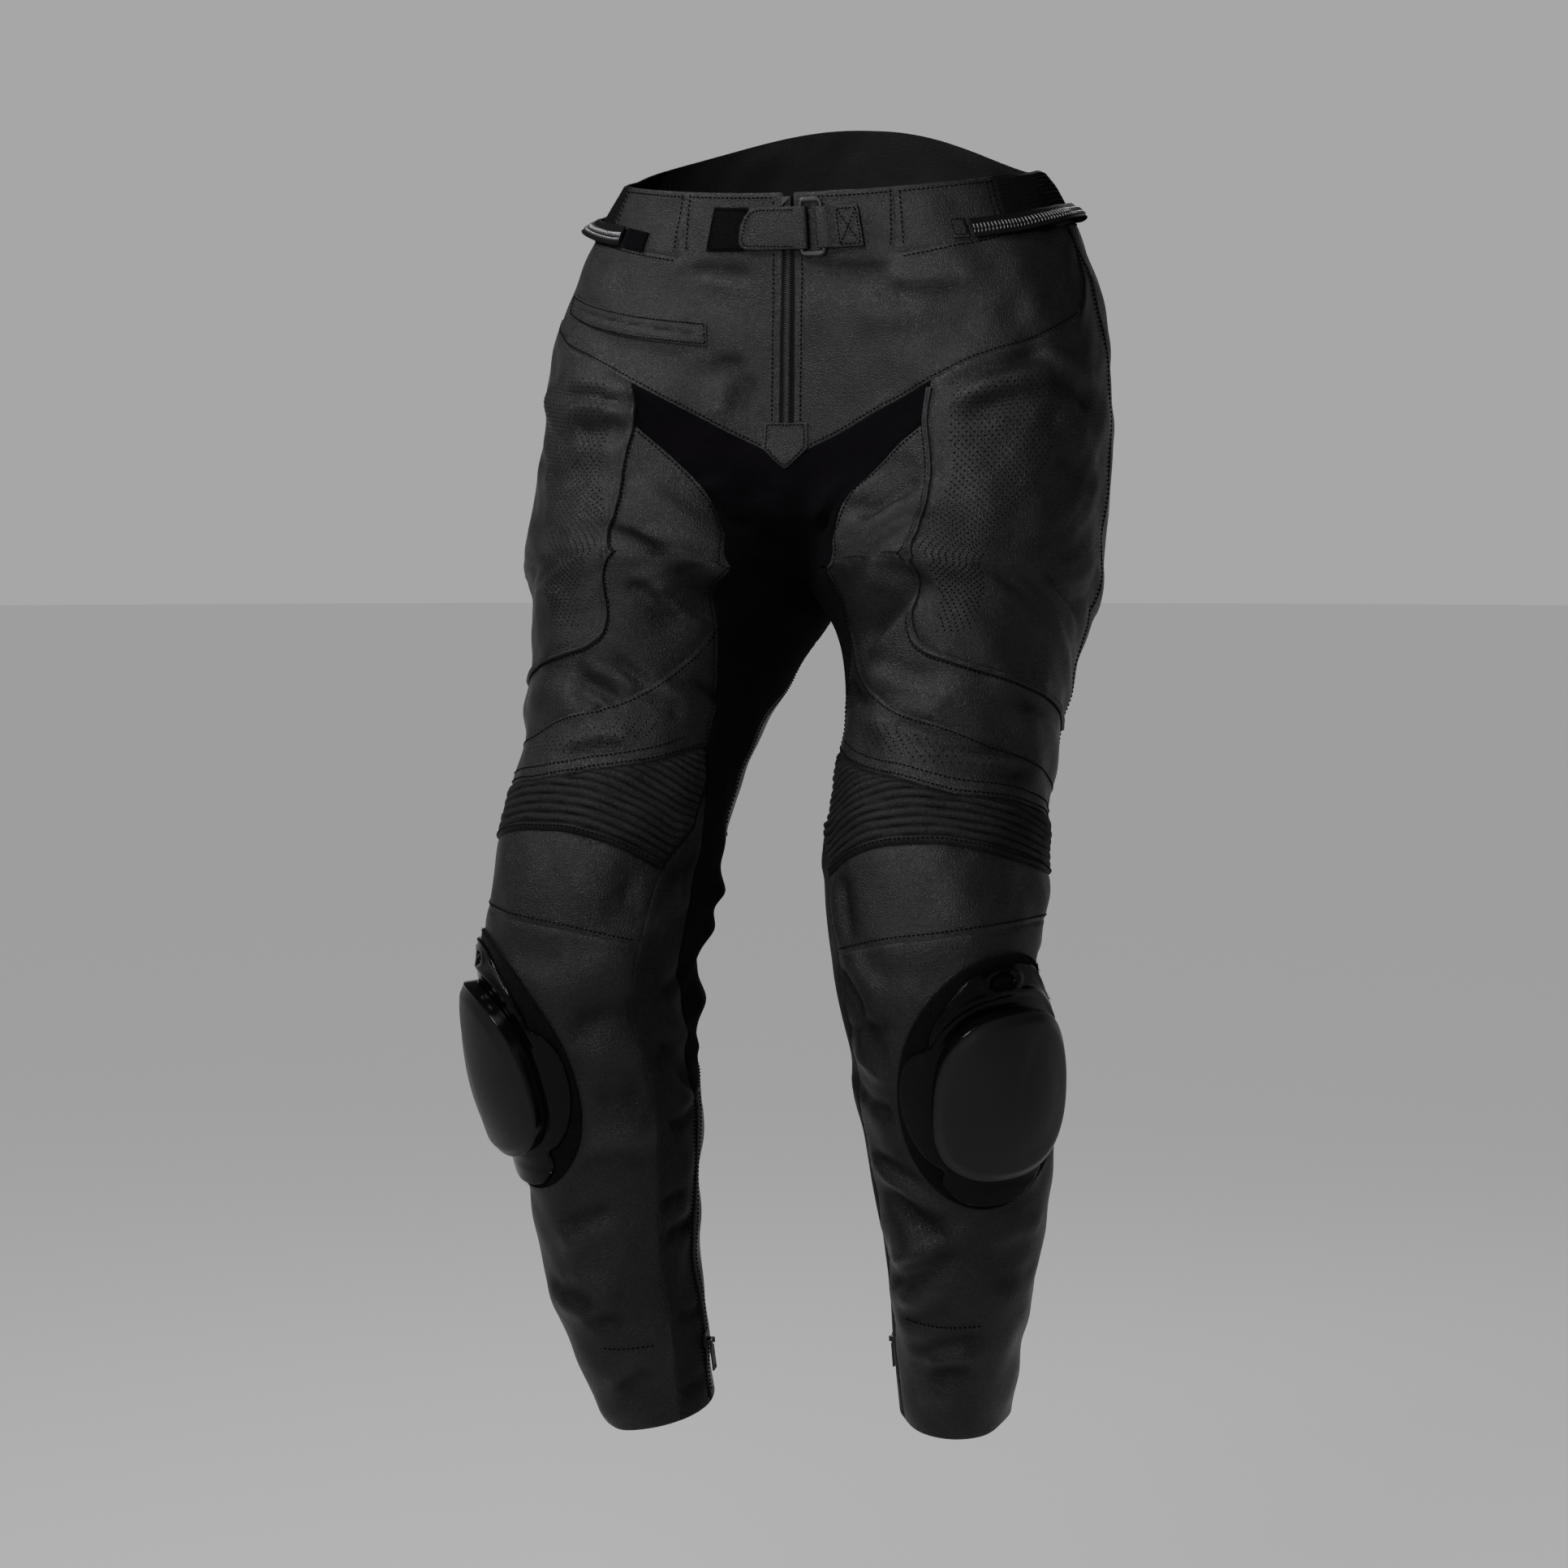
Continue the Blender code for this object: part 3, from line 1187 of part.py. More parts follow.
def combine(first, others):
    """Joins (UNION) or cuts (DIFFERENCE) the others one by one, and gives back points and faces."""
    for operation, other in others:
        modifier = first.modifiers.new("step", "BOOLEAN")
        modifier.operation = operation
        modifier.solver = "EXACT"
        modifier.object = other
    bpy.context.view_layer.update()
    done = first.evaluated_get(bpy.context.evaluated_depsgraph_get()).to_mesh()
    points = np.array([tuple(v.co) for v in done.vertices])
    faces = [list(p.vertices) for p in done.polygons]
    for made in [first] + [other for _, other in others]:
        bpy.data.objects.remove(made, do_unlink=True)
    return points, faces


PIN = np.array([0.0, 2.5, 5.7])      # where the pull tab turns on its slider, in mm


def slider_shape():
    body = block((-4.6, -6.5, 0.5), (4.6, 6.5, 3.3))
    parts = [("UNION", block((-4.2, 0.3, 2.6), (-2.5, 4.7, 7.6))),
             ("UNION", block((2.5, 0.3, 2.6), (4.2, 4.7, 7.6))),
             ("UNION", rod(0.8, 3.2, PIN, 0, 10))]
    return combine(body, parts)


def tab_shape():
    eye = rod(1.95, 2.05, PIN, 0, 12)
    parts = [("UNION", block((-2.05, 3.2, 5.0), (2.05, 9.0, 6.4))),
             ("UNION", block((-3.6, 6.6, 5.0), (3.6, 27.5, 6.4))),
             ("DIFFERENCE", rod(1.2, 3.0, PIN, 0, 10)),
             ("DIFFERENCE", rod(1.6, 3.0, (0, 24.3, 5.7), 2, 10))]
    return combine(eye, parts)


def fitted(points, side):
    origin, across, below, out = local_frame(ZIP_GIRTH, ZIP_SLIDER_DOWN)
    placed = origin + points[:, :1] * across + points[:, 1:2] * below + points[:, 2:] * out
    count = len(points)
    return on_side(side, np.full(count, ZIP_GIRTH), np.full(count, ZIP_SLIDER_DOWN), placed)


def pin_place(side):
    return fitted(PIN[None, :] * TO_MM, side)[0]


def add_ankle_fittings():
    for title, shape, origin in (("ankle_slider", slider_shape(), None), ("pull_tab", tab_shape(), "pin")):
        points, faces = shape
        for side in (1, -1):
            placed = fitted(points, side)
            turned = faces if volume(placed, faces) > 0 else [f[::-1] for f in faces]
            at = pin_place(side) if origin else (0, 0, 0)
            add_object(f"{title}_{side_name(side)}", placed, turned, "dark_metal",
                       range(len(turned)), at)


def main():
    for old in list(bpy.data.objects):
        bpy.data.objects.remove(old, do_unlink=True)
    cloth = Cloth(make_pattern())
    add_panels(cloth)
    add_laid_pieces(cloth)
    add_strap()
    add_anchor()
    add_loop()
    add_fly_slider()
    add_connector()
    add_flap("connector_stop", 1, (0.222, 0.249), ((0.0245, 0.0385), (0.0245, 0.0385)), 0.0008, LEATHER,
             "leather")
    add_flap("connector_tongue", -1, (0.200, 0.250), ((0.0290, 0.0420), (0.0270, 0.0400)), 0.0008, TEXTILE,
             "stretch_textile")
    add_ankle_fittings()


if __name__ == "__main__":
    main()
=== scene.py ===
"""Leather motorcycle trousers, filled out as worn: cloth, sewing, zips, sliders, light and camera.

Left and right are the wearer's: the left is +X, and the front faces -Y. A point of a half is named by its
girth (0 at the front centre and down the inseam, 0.25 in front, 0.5 outside, 0.75 behind and 1 back at the
centre) and by how far down the side it is. Sizes are in metres.
"""
import json
import math

import bpy
import numpy as np
from mathutils import Matrix, Vector
from mathutils.bvhtree import BVHTree
from mathutils.geometry import delaunay_2d_cdt
from mathutils.kdtree import KDTree

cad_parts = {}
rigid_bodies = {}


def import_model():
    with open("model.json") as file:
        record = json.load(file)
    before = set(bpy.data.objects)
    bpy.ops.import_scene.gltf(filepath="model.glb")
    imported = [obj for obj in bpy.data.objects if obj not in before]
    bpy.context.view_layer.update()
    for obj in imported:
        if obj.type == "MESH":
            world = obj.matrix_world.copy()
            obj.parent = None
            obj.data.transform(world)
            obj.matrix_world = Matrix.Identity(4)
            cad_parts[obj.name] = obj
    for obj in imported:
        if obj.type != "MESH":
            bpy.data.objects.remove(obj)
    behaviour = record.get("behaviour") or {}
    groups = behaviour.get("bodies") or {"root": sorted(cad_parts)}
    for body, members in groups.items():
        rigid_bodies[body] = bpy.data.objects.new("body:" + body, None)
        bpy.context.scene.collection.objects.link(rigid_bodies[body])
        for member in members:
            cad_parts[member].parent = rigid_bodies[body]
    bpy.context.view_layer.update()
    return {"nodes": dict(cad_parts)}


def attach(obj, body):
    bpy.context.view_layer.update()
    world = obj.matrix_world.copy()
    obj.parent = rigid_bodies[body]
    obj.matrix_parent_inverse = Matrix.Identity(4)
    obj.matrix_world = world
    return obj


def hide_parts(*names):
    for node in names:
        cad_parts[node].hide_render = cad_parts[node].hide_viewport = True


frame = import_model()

DRAWS = np.random.default_rng(7)

CROTCH = 0.315           # the row where a half becomes a closed leg
HIP = 0.205              # above this row, a row is half of one oval round both hips
HEM = 0.997
POCKET_DOWN = 0.1053     # the pocket's mouth at girth 0, and how much it rises with girth
POCKET_RISE = 0.059
OVAL = 2.3               # 2 is an ellipse, more is squarer
VALLEY = 0.03            # girth over which the valley at the crotch is rounded
EVEN = 0.16              # below the crotch, the girth lines even out over this length
RECESS_GIRTH = 0.15
WAIST_TILT = 0.009       # the back of the waist is higher on the right and lower on the left
TILT_DOWN = 0.10
RIGHT_DROP = 0.017       # the right hem hangs lower
DROP_FROM = 0.60
SPACING = 0.0046         # between the points of the cloth
NEAREST = 0.56           # share of that spacing kept clear beside a seam
SEAM_GAP = 0.00006       # between two panels
LAID_GAP = 0.0003        # under a piece that lies on another
EDGE = 0.0017            # width of the turned edge beside a seam
GROOVE = 0.0008          # how far the edge turns down
LEATHER = 0.0014         # thicknesses
TEXTILE = 0.0012
WEB = 0.0016
ZIP_TAPE = 0.0012
RIB_PITCH = 0.0060       # at the inner edge of the accordion
RIB_PITCH_OUTSIDE = 0.0053
RIB_HEIGHT = 0.0026
RIB_STEPS = 6            # rows of points for each rib
PILE = 0.0026
HAIR_WIDTH = 0.00018     # of the pile
BASE = 0.0022
PUCK_RIM = 0.011
PUCK_BEVEL = 0.0038
PUCK_CROWN = 0.019
PUCK_FACE = 0.86         # the face inside the bevel, as a share of the puck's outline
STRAP = 0.0012
STRAP_TOP = 0.010        # rows of the strap's upper and lower edges
STRAP_BOTTOM = 0.039
BAR_HEIGHT = 0.0048      # of the middle of the loop's bars over the cloth
TURN_RADIUS = 0.0022     # of the middle of the leather where it turns round a bar
UNDER_BAR = BAR_HEIGHT - TURN_RADIUS
OVER_BAR = BAR_HEIGHT + TURN_RADIUS
ZIP_GIRTH = 0.930        # the middle of the ankle zip
PITCH = 0.0036           # of the stitches
STITCH = 0.0026
CONNECTOR_ENDS = (0.256, 1.742)  # of the joining zip round the back, as stations
TOOTH_PITCH = 0.0029
TOOTH_DOWN = 0.0335
COIL_PITCH = 0.0016
FLY_STITCHES = 0.012     # from the middle of the front
BACK_STITCHES = 0.0042   # from the middle of the back
CREASE_GAIN = 1.55       # how much higher and narrower the creases are than their table says
CREASE_SHARPER = 1.15


def table(names, *rows):
    """Columns by name, from rows of numbers."""
    return dict(zip(names.split(), np.array(rows, float).T))


def folds(*rows):
    """Folds from one girth and down to another. A height below 0 is a trough.

    Each row is a side (1 left, -1 right, 0 both), then thousandths, but its height is in ten-thousandths.
    """
    units = (1, 1000, 1000, 1000, 1000, 1000, 10000, 1000)
    return table("side girth_a down_a girth_b down_b width height bow", *(np.array(rows) / units))


TORSO = table(
    "down y z pitch half_width half_depth sag",
    (0.000, 0.000, 0.000, -16, 0.171, 0.117, 0.020),
    (0.055, -0.001, -0.064, -14, 0.206, 0.127, 0.016),
    (0.110, -0.009, -0.127, -11, 0.225, 0.136, 0.008),
    (0.160, -0.017, -0.182, -8, 0.2325, 0.141, 0.004),
    (0.205, -0.026, -0.232, -5, 0.2345, 0.141, 0.000),
    (0.260, -0.036, -0.288, 0, 0.235, 0.138, 0.000),
    (0.315, -0.048, -0.342, 5, 0.233, 0.130, 0.000),
)
LEG = table(
    "down x y z pitch yaw half_width half_depth",
    (0.205, 0.118, -0.030, -0.248, 4, 0, 0.118, 0.138),
    (0.260, 0.118, -0.042, -0.299, 10, 0, 0.118, 0.135),
    (0.315, 0.1150, -0.058, -0.352, 17, 0, 0.1150, 0.130),
    (0.345, 0.1225, -0.062, -0.378, 20, 8, 0.101, 0.125),
    (0.400, 0.1305, -0.080, -0.428, 23, 16, 0.088, 0.109),
    (0.470, 0.1325, -0.107, -0.490, 22, 18, 0.085, 0.090),
    (0.545, 0.1365, -0.145, -0.559, 10, 21, 0.084, 0.093),
    (0.615, 0.143, -0.154, -0.627, -5, 21, 0.0805, 0.095),
    (0.683, 0.150, -0.141, -0.693, -13, 21, 0.078, 0.085),
    (0.782, 0.147, -0.111, -0.786, -14, 21, 0.071, 0.076),
    (0.877, 0.144, -0.095, -0.879, -14, 20, 0.058, 0.066),
    (0.940, 0.1355, -0.080, -0.937, -14, 20, 0.051, 0.058),
    (0.997, 0.1275, -0.063, -0.993, -14, 20, 0.044, 0.050),
)
RECESS = table(      # how far the middle of the front lies back between the hips
    "down back",
    (0.000, 0.010), (0.055, 0.022), (0.110, 0.038), (0.160, 0.051), (0.205, 0.057),
    (0.260, 0.052), (0.315, 0.037), (0.360, 0.020), (0.430, 0.005), (0.500, 0.000),
)

FOLDS = folds(           # the seat, the pinch under the knee seam, cloth behind the knee, then the rest
    (0, 720, 200, 880, 210, 60, 120, 0), (0, 560, 615, 440, 612, 12, -100, 0),
    (0, 420, 560, 600, 555, 18, 40, 0), (0, 920, 560, 800, 555, 14, 70, 0),
    (0, 930, 600, 780, 595, 14, 60, 0), (0, 920, 665, 790, 670, 15, 70, 0),
    (0, 920, 630, 700, 630, 10, -40, 0), (0, 900, 530, 650, 525, 12, -40, 0),
    (-1, 250, 104, 48, 132, 16, -35, -3), (-1, 43, 138, 36, 192, 11, -30, 0),
    (1, 120, 84, 250, 79, 12, -30, 2), (1, 158, 109, 325, 89, 13, -35, 3), (-1, 147, 213, 62, 328, 16, 45, 4),
    (-1, 160, 261, 48, 350, 14, -45, 6), (-1, 143, 335, 45, 375, 13, 35, 4),
    (1, 150, 200, 85, 258, 15, -40, -3), (1, 175, 250, 83, 346, 15, 45, -6),
    (1, 190, 326, 70, 381, 14, -40, -4), (-1, 405, 156, 150, 158, 11, 40, -6),
    (-1, 380, 182, 200, 180, 12, -30, -4), (1, 200, 150, 370, 156, 12, 35, -6),
    (1, 203, 172, 380, 181, 12, -30, -5), (0, 220, 425, 100, 433, 13, -35, 4),
    (0, 420, 446, 200, 440, 13, 30, 3), (0, 85, 548, 100, 590, 12, -30, 3),
    (0, 110, 606, 250, 603, 11, -40, 2), (0, 90, 645, 150, 662, 11, -30, 2),
    (1, 75, 792, 270, 803, 12, -35, 3), (1, 77, 842, 215, 826, 12, 30, -3),
    (1, 125, 868, 255, 857, 10, -25, 2), (1, 110, 932, 265, 943, 10, -25, 2),
    (-1, 215, 792, 100, 786, 12, -35, 3), (-1, 300, 882, 135, 878, 12, 30, -3),
    (-1, 195, 897, 80, 904, 10, -25, 2), (-1, 210, 962, 65, 971, 9, -20, 2), (0, 20, 205, 2, 290, 16, -40, 2),
    (0, 75, 222, 15, 262, 13, 35, 2), (0, 30, 505, 985, 540, 12, 30, 0), (0, 30, 700, 960, 745, 14, 35, 0),
    (0, 15, 820, 960, 850, 12, -25, 0), (0, 580, 330, 800, 350, 18, -50, 6),
    (0, 600, 430, 860, 440, 16, -45, 5), (0, 640, 760, 860, 770, 15, 40, -4),
    (0, 600, 860, 800, 850, 13, -30, 3),
)

CREASES = folds(
    (-1, 107, 50, 40, 58, 7, -25, 0), (-1, 100, 57, 45, 64, 8, 18, 0), (-1, 68, 123, 40, 125, 7, -22, 2),
    (-1, 40, 130, 45, 164, 8, -26, 2), (-1, 52, 131, 58, 166, 9, 22, 0), (-1, 152, 98, 95, 112, 8, -18, 0),
    (-1, 208, 92, 410, 85, 10, 12, 0), (-1, 302, 142, 150, 149, 9, 30, 3),
    (-1, 280, 153, 145, 158, 7, -26, 2), (-1, 270, 164, 152, 165, 9, 24, 3),
    (-1, 253, 178, 160, 177, 9, -18, 0), (-1, 265, 192, 170, 195, 12, 16, 0), (1, 30, 46, 113, 58, 8, -22, 2),
    (1, 120, 60, 245, 64, 10, 22, 3), (1, 92, 72, 223, 71, 9, -22, 2), (1, 75, 91, 173, 81, 12, 16, 0),
    (1, 105, 107, 230, 95, 10, -14, 0), (1, 193, 155, 360, 137, 9, 26, -4),
    (1, 188, 145, 348, 124, 7, -24, -3), (1, 203, 168, 375, 152, 8, -22, -4),
    (1, 198, 179, 343, 172, 10, 18, -3), (1, 338, 123, 465, 154, 8, 20, 0),
    (1, 343, 138, 450, 170, 7, -18, 0), (-1, 135, 341, 75, 372, 9, -28, 2), (-1, 138, 328, 58, 365, 9, 26, 2),
    (-1, 98, 343, 60, 359, 7, -26, 0), (-1, 103, 323, 50, 342, 8, -24, 0), (-1, 118, 297, 68, 328, 9, 20, 0),
    (-1, 155, 268, 118, 316, 10, -18, 0), (-1, 210, 426, 150, 435, 7, -26, 0),
    (-1, 188, 415, 115, 424, 8, 20, 0), (-1, 147, 405, 100, 416, 7, -22, 0),
    (-1, 225, 439, 175, 449, 6, -20, 0), (-1, 253, 478, 130, 460, 8, 26, 3),
    (-1, 240, 484, 133, 470, 6, -26, 3), (-1, 238, 466, 160, 454, 6, -18, 0),
    (-1, 105, 427, 60, 432, 7, -20, 0), (-1, 90, 417, 45, 419, 7, 18, 0), (-1, 48, 402, 18, 406, 6, -18, 0),
    (-1, 215, 496, 195, 490, 6, -16, 0), (1, 85, 259, 150, 217, 8, -26, 2), (1, 92, 281, 138, 238, 8, 20, 2),
    (1, 95, 339, 168, 268, 9, -26, 2), (1, 77, 351, 193, 297, 9, 22, 2), (1, 77, 380, 165, 345, 8, -26, 2),
    (1, 88, 390, 160, 363, 9, 18, 0), (1, 85, 399, 242, 439, 10, 24, 3), (1, 68, 387, 195, 420, 6, -20, 2),
    (1, 160, 426, 258, 442, 8, -16, 0), (1, 200, 469, 367, 474, 7, 26, 4), (1, 195, 461, 355, 468, 6, -24, 4),
    (1, 233, 478, 393, 479, 6, -26, 3), (1, 35, 398, 113, 438, 7, -26, 0), (1, 83, 427, 163, 457, 7, 20, 0),
    (1, 338, 428, 458, 428, 8, -18, 0), (1, 285, 419, 400, 411, 8, 16, 0), (1, 165, 449, 230, 458, 6, -18, 0),
    (1, 383, 302, 480, 330, 9, -20, 0), (1, 360, 203, 473, 231, 10, -16, 0),
    (-1, 405, 204, 255, 221, 10, -14, 0), (-1, 338, 262, 242, 288, 10, -14, 0),
    (-1, 362, 336, 210, 362, 10, 14, 0), (-1, 70, 218, 43, 259, 8, 34, 3), (-1, 77, 226, 52, 272, 7, -26, 2),
    (-1, 43, 225, 20, 291, 9, -28, 3), (-1, 25, 229, 0, 280, 9, 34, 2), (-1, 13, 225, 0, 274, 7, -26, 2),
    (-1, 0, 217, 0, 279, 8, 30, 1), (1, 88, 216, 50, 288, 9, 32, 3), (1, 72, 218, 37, 273, 7, -28, 2),
    (1, 58, 216, 37, 257, 8, 26, 0), (1, 88, 248, 62, 329, 8, 24, 2), (-1, 50, 299, 20, 323, 9, -20, 0),
    (-1, 55, 327, 990, 336, 10, 20, 0), (-1, 170, 607, 68, 608, 12, 16, 0),
    (-1, 205, 752, 50, 751, 12, 24, 3), (-1, 200, 769, 55, 768, 10, -18, 3),
    (-1, 140, 652, 45, 646, 12, -16, 0), (-1, 125, 677, 45, 681, 12, 14, 0),
    (-1, 125, 711, 52, 718, 12, -14, 0), (-1, 228, 815, 135, 806, 9, -24, 0),
    (-1, 245, 829, 110, 817, 10, 18, 0), (-1, 305, 865, 190, 880, 9, -26, 0),
    (-1, 235, 852, 135, 870, 10, 18, 0), (-1, 223, 892, 140, 902, 9, -20, 0),
    (-1, 195, 961, 103, 942, 8, -22, 0), (-1, 217, 954, 110, 931, 9, 18, 0),
    (-1, 345, 989, 135, 980, 10, 12, 0), (-1, 15, 679, 938, 735, 7, -24, 0),
    (-1, 990, 666, 878, 714, 8, 22, 0), (-1, 15, 642, 948, 628, 8, -18, 0),
    (-1, 37, 812, 973, 811, 6, -22, 0), (-1, 28, 839, 935, 842, 6, -22, 0), (-1, 33, 828, 960, 826, 7, 18, 0),
    (-1, 10, 752, 953, 750, 7, -18, 0), (-1, 37, 592, 980, 562, 8, 18, 0), (-1, 15, 556, 990, 529, 7, -18, 0),
    (-1, 15, 910, 935, 915, 6, -16, 0), (-1, 43, 973, 958, 973, 6, -16, 0), (1, 62, 610, 107, 636, 7, -26, 0),
    (1, 103, 599, 152, 618, 9, 22, 0), (1, 50, 657, 168, 637, 7, -20, 0), (1, 62, 674, 140, 681, 8, 18, 0),
    (1, 45, 708, 138, 709, 8, -20, 0), (1, 62, 759, 188, 765, 8, -26, 0), (1, 70, 768, 260, 785, 10, 28, 3),
    (1, 92, 788, 235, 814, 9, -30, 3), (1, 90, 849, 268, 800, 10, 30, -3), (1, 65, 870, 245, 822, 8, -28, -2),
    (1, 83, 881, 245, 847, 9, 22, 0), (1, 85, 896, 235, 870, 8, -16, 0), (1, 113, 921, 302, 902, 8, -22, 0),
    (1, 163, 927, 263, 912, 9, 26, 0), (1, 170, 946, 285, 932, 8, -24, 0), (1, 133, 968, 247, 953, 8, 12, 0),
    (1, 288, 815, 415, 810, 10, 14, 0), (1, 300, 850, 427, 853, 10, -12, 0),
    (1, 242, 572, 372, 568, 12, 12, 0), (1, 83, 548, 90, 584, 8, -18, 0), (-1, 88, 559, 55, 586, 8, -14, 0),
)


V_PIPE = (0.163, 0.139)
PIPE_GUSSET = (0.157, 0.171)
GUSSET_THIGH = (0.049, 0.357)
BAND_INSIDE = (0.022, 0.447)
STRIP_TOP = (0.010, 0.478)
ACCORDION_LOW = (0.037, 0.546)
KNEE_LOW = (0.054, 0.600)
YOKE_CORNER = (0.495, 0.036)
YOKE_TIP = (0.435, 0.101)
OUT_PIPE = (0.530, 0.418)
OUT_THIGH = (0.530, 0.472)
OUT_BAND = (0.530, 0.503)
OUT_ACCORDION = (0.530, 0.545)
OUT_KNEE = (0.530, 0.576)
OUT_TEXTILE = (0.530, 0.690)
BACK_TEXTILE = (0.900, 0.503)
ZIP_BACK = (0.922, 0.738)
ZIP_FRONT = (0.938, 0.738)
BAND_FRONT = (0.127, 0.045)
ELASTIC_FRONT = (0.322, 0.037)
ELASTIC_BACK = (0.600, 0.037)

SMOOTH_SEAMS = {
    "band_bottom": (BAND_FRONT, (0.215, 0.041), ELASTIC_FRONT, (0.410, 0.037), YOKE_CORNER, ELASTIC_BACK,
                    (0.800, 0.039), (1.0, 0.040)),
    "yoke_bottom": ((0.0, 0.200), (0.020, 0.190), (0.050, 0.178), (0.085, 0.164), (0.120, 0.152), V_PIPE,
                    (0.220, 0.126), (0.330, 0.114), YOKE_TIP),
    "yoke_side": (YOKE_TIP, (0.478, 0.078), (0.492, 0.058), YOKE_CORNER),
    "outseam": (YOKE_CORNER, (0.512, 0.100), (0.528, 0.200), (0.530, 0.300), OUT_PIPE, OUT_THIGH, OUT_BAND,
                OUT_ACCORDION, OUT_KNEE, OUT_TEXTILE, (0.530, 0.850), (0.530, HEM)),
    "piped": (V_PIPE, PIPE_GUSSET, (0.163, 0.195), (0.169, 0.230), (0.188, 0.290), (0.184, 0.322),
              (0.160, 0.352), (0.152, 0.370), (0.159, 0.386), (0.180, 0.396), (0.225, 0.405),
              (0.325, 0.414), (0.420, 0.416), OUT_PIPE),
    "gusset_front": (PIPE_GUSSET, (0.112, 0.195), (0.083, 0.217), (0.067, 0.246), (0.067, 0.272),
                     (0.076, 0.303), (0.066, 0.330), GUSSET_THIGH, (0.034, 0.385), (0.022, 0.415),
                     BAND_INSIDE, STRIP_TOP),
    "gusset_back": ((1.0, 0.258), (0.957, 0.300), (0.935, 0.345), (0.940, 0.400), (0.925, 0.460),
                    BACK_TEXTILE),
    "thigh_low": (GUSSET_THIGH, (0.056, 0.384), (0.087, 0.411), (0.128, 0.429), (0.182, 0.444),
                  (0.246, 0.455), (0.320, 0.465), (0.400, 0.469), OUT_THIGH),
    "accordion_top": (BAND_INSIDE, (0.105, 0.474), (0.180, 0.488), (0.270, 0.499), (0.360, 0.500),
                      (0.485, 0.501), OUT_BAND),
    "accordion_low": (ACCORDION_LOW, (0.098, 0.537), (0.175, 0.531), (0.250, 0.531), (0.340, 0.536),
                      (0.460, 0.542), OUT_ACCORDION),
    "knee_low": (KNEE_LOW, (0.170, 0.588), (0.250, 0.584), (0.340, 0.580), (0.430, 0.577), OUT_KNEE),
    "strip_front": (STRIP_TOP, (0.012, 0.510), ACCORDION_LOW, (0.048, 0.578), KNEE_LOW, (0.058, 0.625),
                    (0.058, 0.655), (0.044, 0.684), (0.035, 0.730), (0.044, 0.800), (0.038, 0.870),
                    (0.040, 0.926), (0.062, HEM)),
    "strip_back": ((1.0, 0.487), (0.990, 0.502), (0.978, 0.534), (0.978, 0.596), (0.975, 0.625),
                   (0.955, 0.661), (0.945, 0.700), ZIP_FRONT),
    "textile_top": (OUT_BAND, (0.700, 0.500), BACK_TEXTILE),
    "textile_low": (OUT_TEXTILE, (0.720, 0.705), (0.880, 0.728), ZIP_BACK),
}
STRAIGHT_SEAMS = {
    "band_front": ((0.150, 0.0), BAND_FRONT),
    "elastic_front": ((0.343, 0.0), ELASTIC_FRONT),
    "elastic_back": ((0.600, 0.0), ELASTIC_BACK),
    "fly": ((0.005, 0.0), (0.005, 0.190), (0.0, 0.190)),
    "strip_corner": (STRIP_TOP, (0.0, 0.487)),
    "zip_top": (ZIP_BACK, ZIP_FRONT),
    "zip_back": (ZIP_BACK, (0.922, HEM)),
    "zip_front": (ZIP_FRONT, (0.938, HEM)),
}

REGIONS = {          # a point inside each cut piece of a half
    "waist_side": ((0.240, 0.020),),
    "waist_elastic": ((0.450, 0.018),),
    "waistband_back": ((0.800, 0.020),),
    "fly_zip": ((0.0025, 0.100),),
    "yoke": ((0.200, 0.090),),
    "thigh_outer": ((0.350, 0.250),),
    "thigh_inner": ((0.120, 0.280),),
    "gusset": ((0.030, 0.280), (0.970, 0.340)),
    "knee_band": ((0.250, 0.475),),
    "accordion": ((0.250, 0.515),),
    "knee": ((0.250, 0.560),),
    "shin": ((0.250, 0.850),),
    "calf_strip": ((0.020, 0.750), (0.970, 0.750)),
    "ankle_zip": ((0.930, 0.850),),
    "calf": ((0.750, 0.850),),
    "seat": ((0.750, 0.250),),
}
JOINED_REGIONS = {"waistband_back", "fly_zip", "gusset"}

FLY_TAB = ((0.0, 0.170), (0.017, 0.170), (0.018, 0.190), (0.0, 0.208))
POCKET = ((0.080, 0.092), (0.170, 0.0885), (0.265, 0.083), (0.355, 0.077),
          (0.345, 0.091), (0.255, 0.099), (0.165, 0.105), (0.077, 0.109))
PAD = ((0.046, 0.010), (0.095, 0.010), (0.095, 0.040), (0.046, 0.040))
ZIP_STOP = ((0.222, 0.0245), (0.249, 0.0245), (0.249, 0.0385), (0.222, 0.0385))
ZIP_TONGUE = ((0.200, 0.0290), (0.250, 0.0270), (0.250, 0.0400), (0.200, 0.0420))
SLIDER_GIRTH = 0.323
SLIDER_DOWN = 0.690
SLIDER_LEAN = 0.30       # how much girth the slider's middle line gains for each metre up
PILE_GIRTH = 0.170
PILE_DOWN = 0.097
PUCK_GIRTH = 0.111
PUCK_DOWN = 0.063
PUCK_OVAL = 2.5
HOLE = (0.338, 0.6095, 0.021, 0.0042)
BASE_EDGE = table(       # half of the base plate's outline
    "down reach",
    (0.599, 0.000), (0.6005, 0.034), (0.607, 0.062), (0.624, 0.095), (0.641, 0.1145), (0.650, 0.119),
    (0.657, 0.142), (0.669, 0.157), (0.690, 0.161), (0.712, 0.151), (0.730, 0.132), (0.743, 0.108),
    (0.750, 0.085), (0.762, 0.084), (0.776, 0.056), (0.781, 0.030), (0.782, 0.000),
)

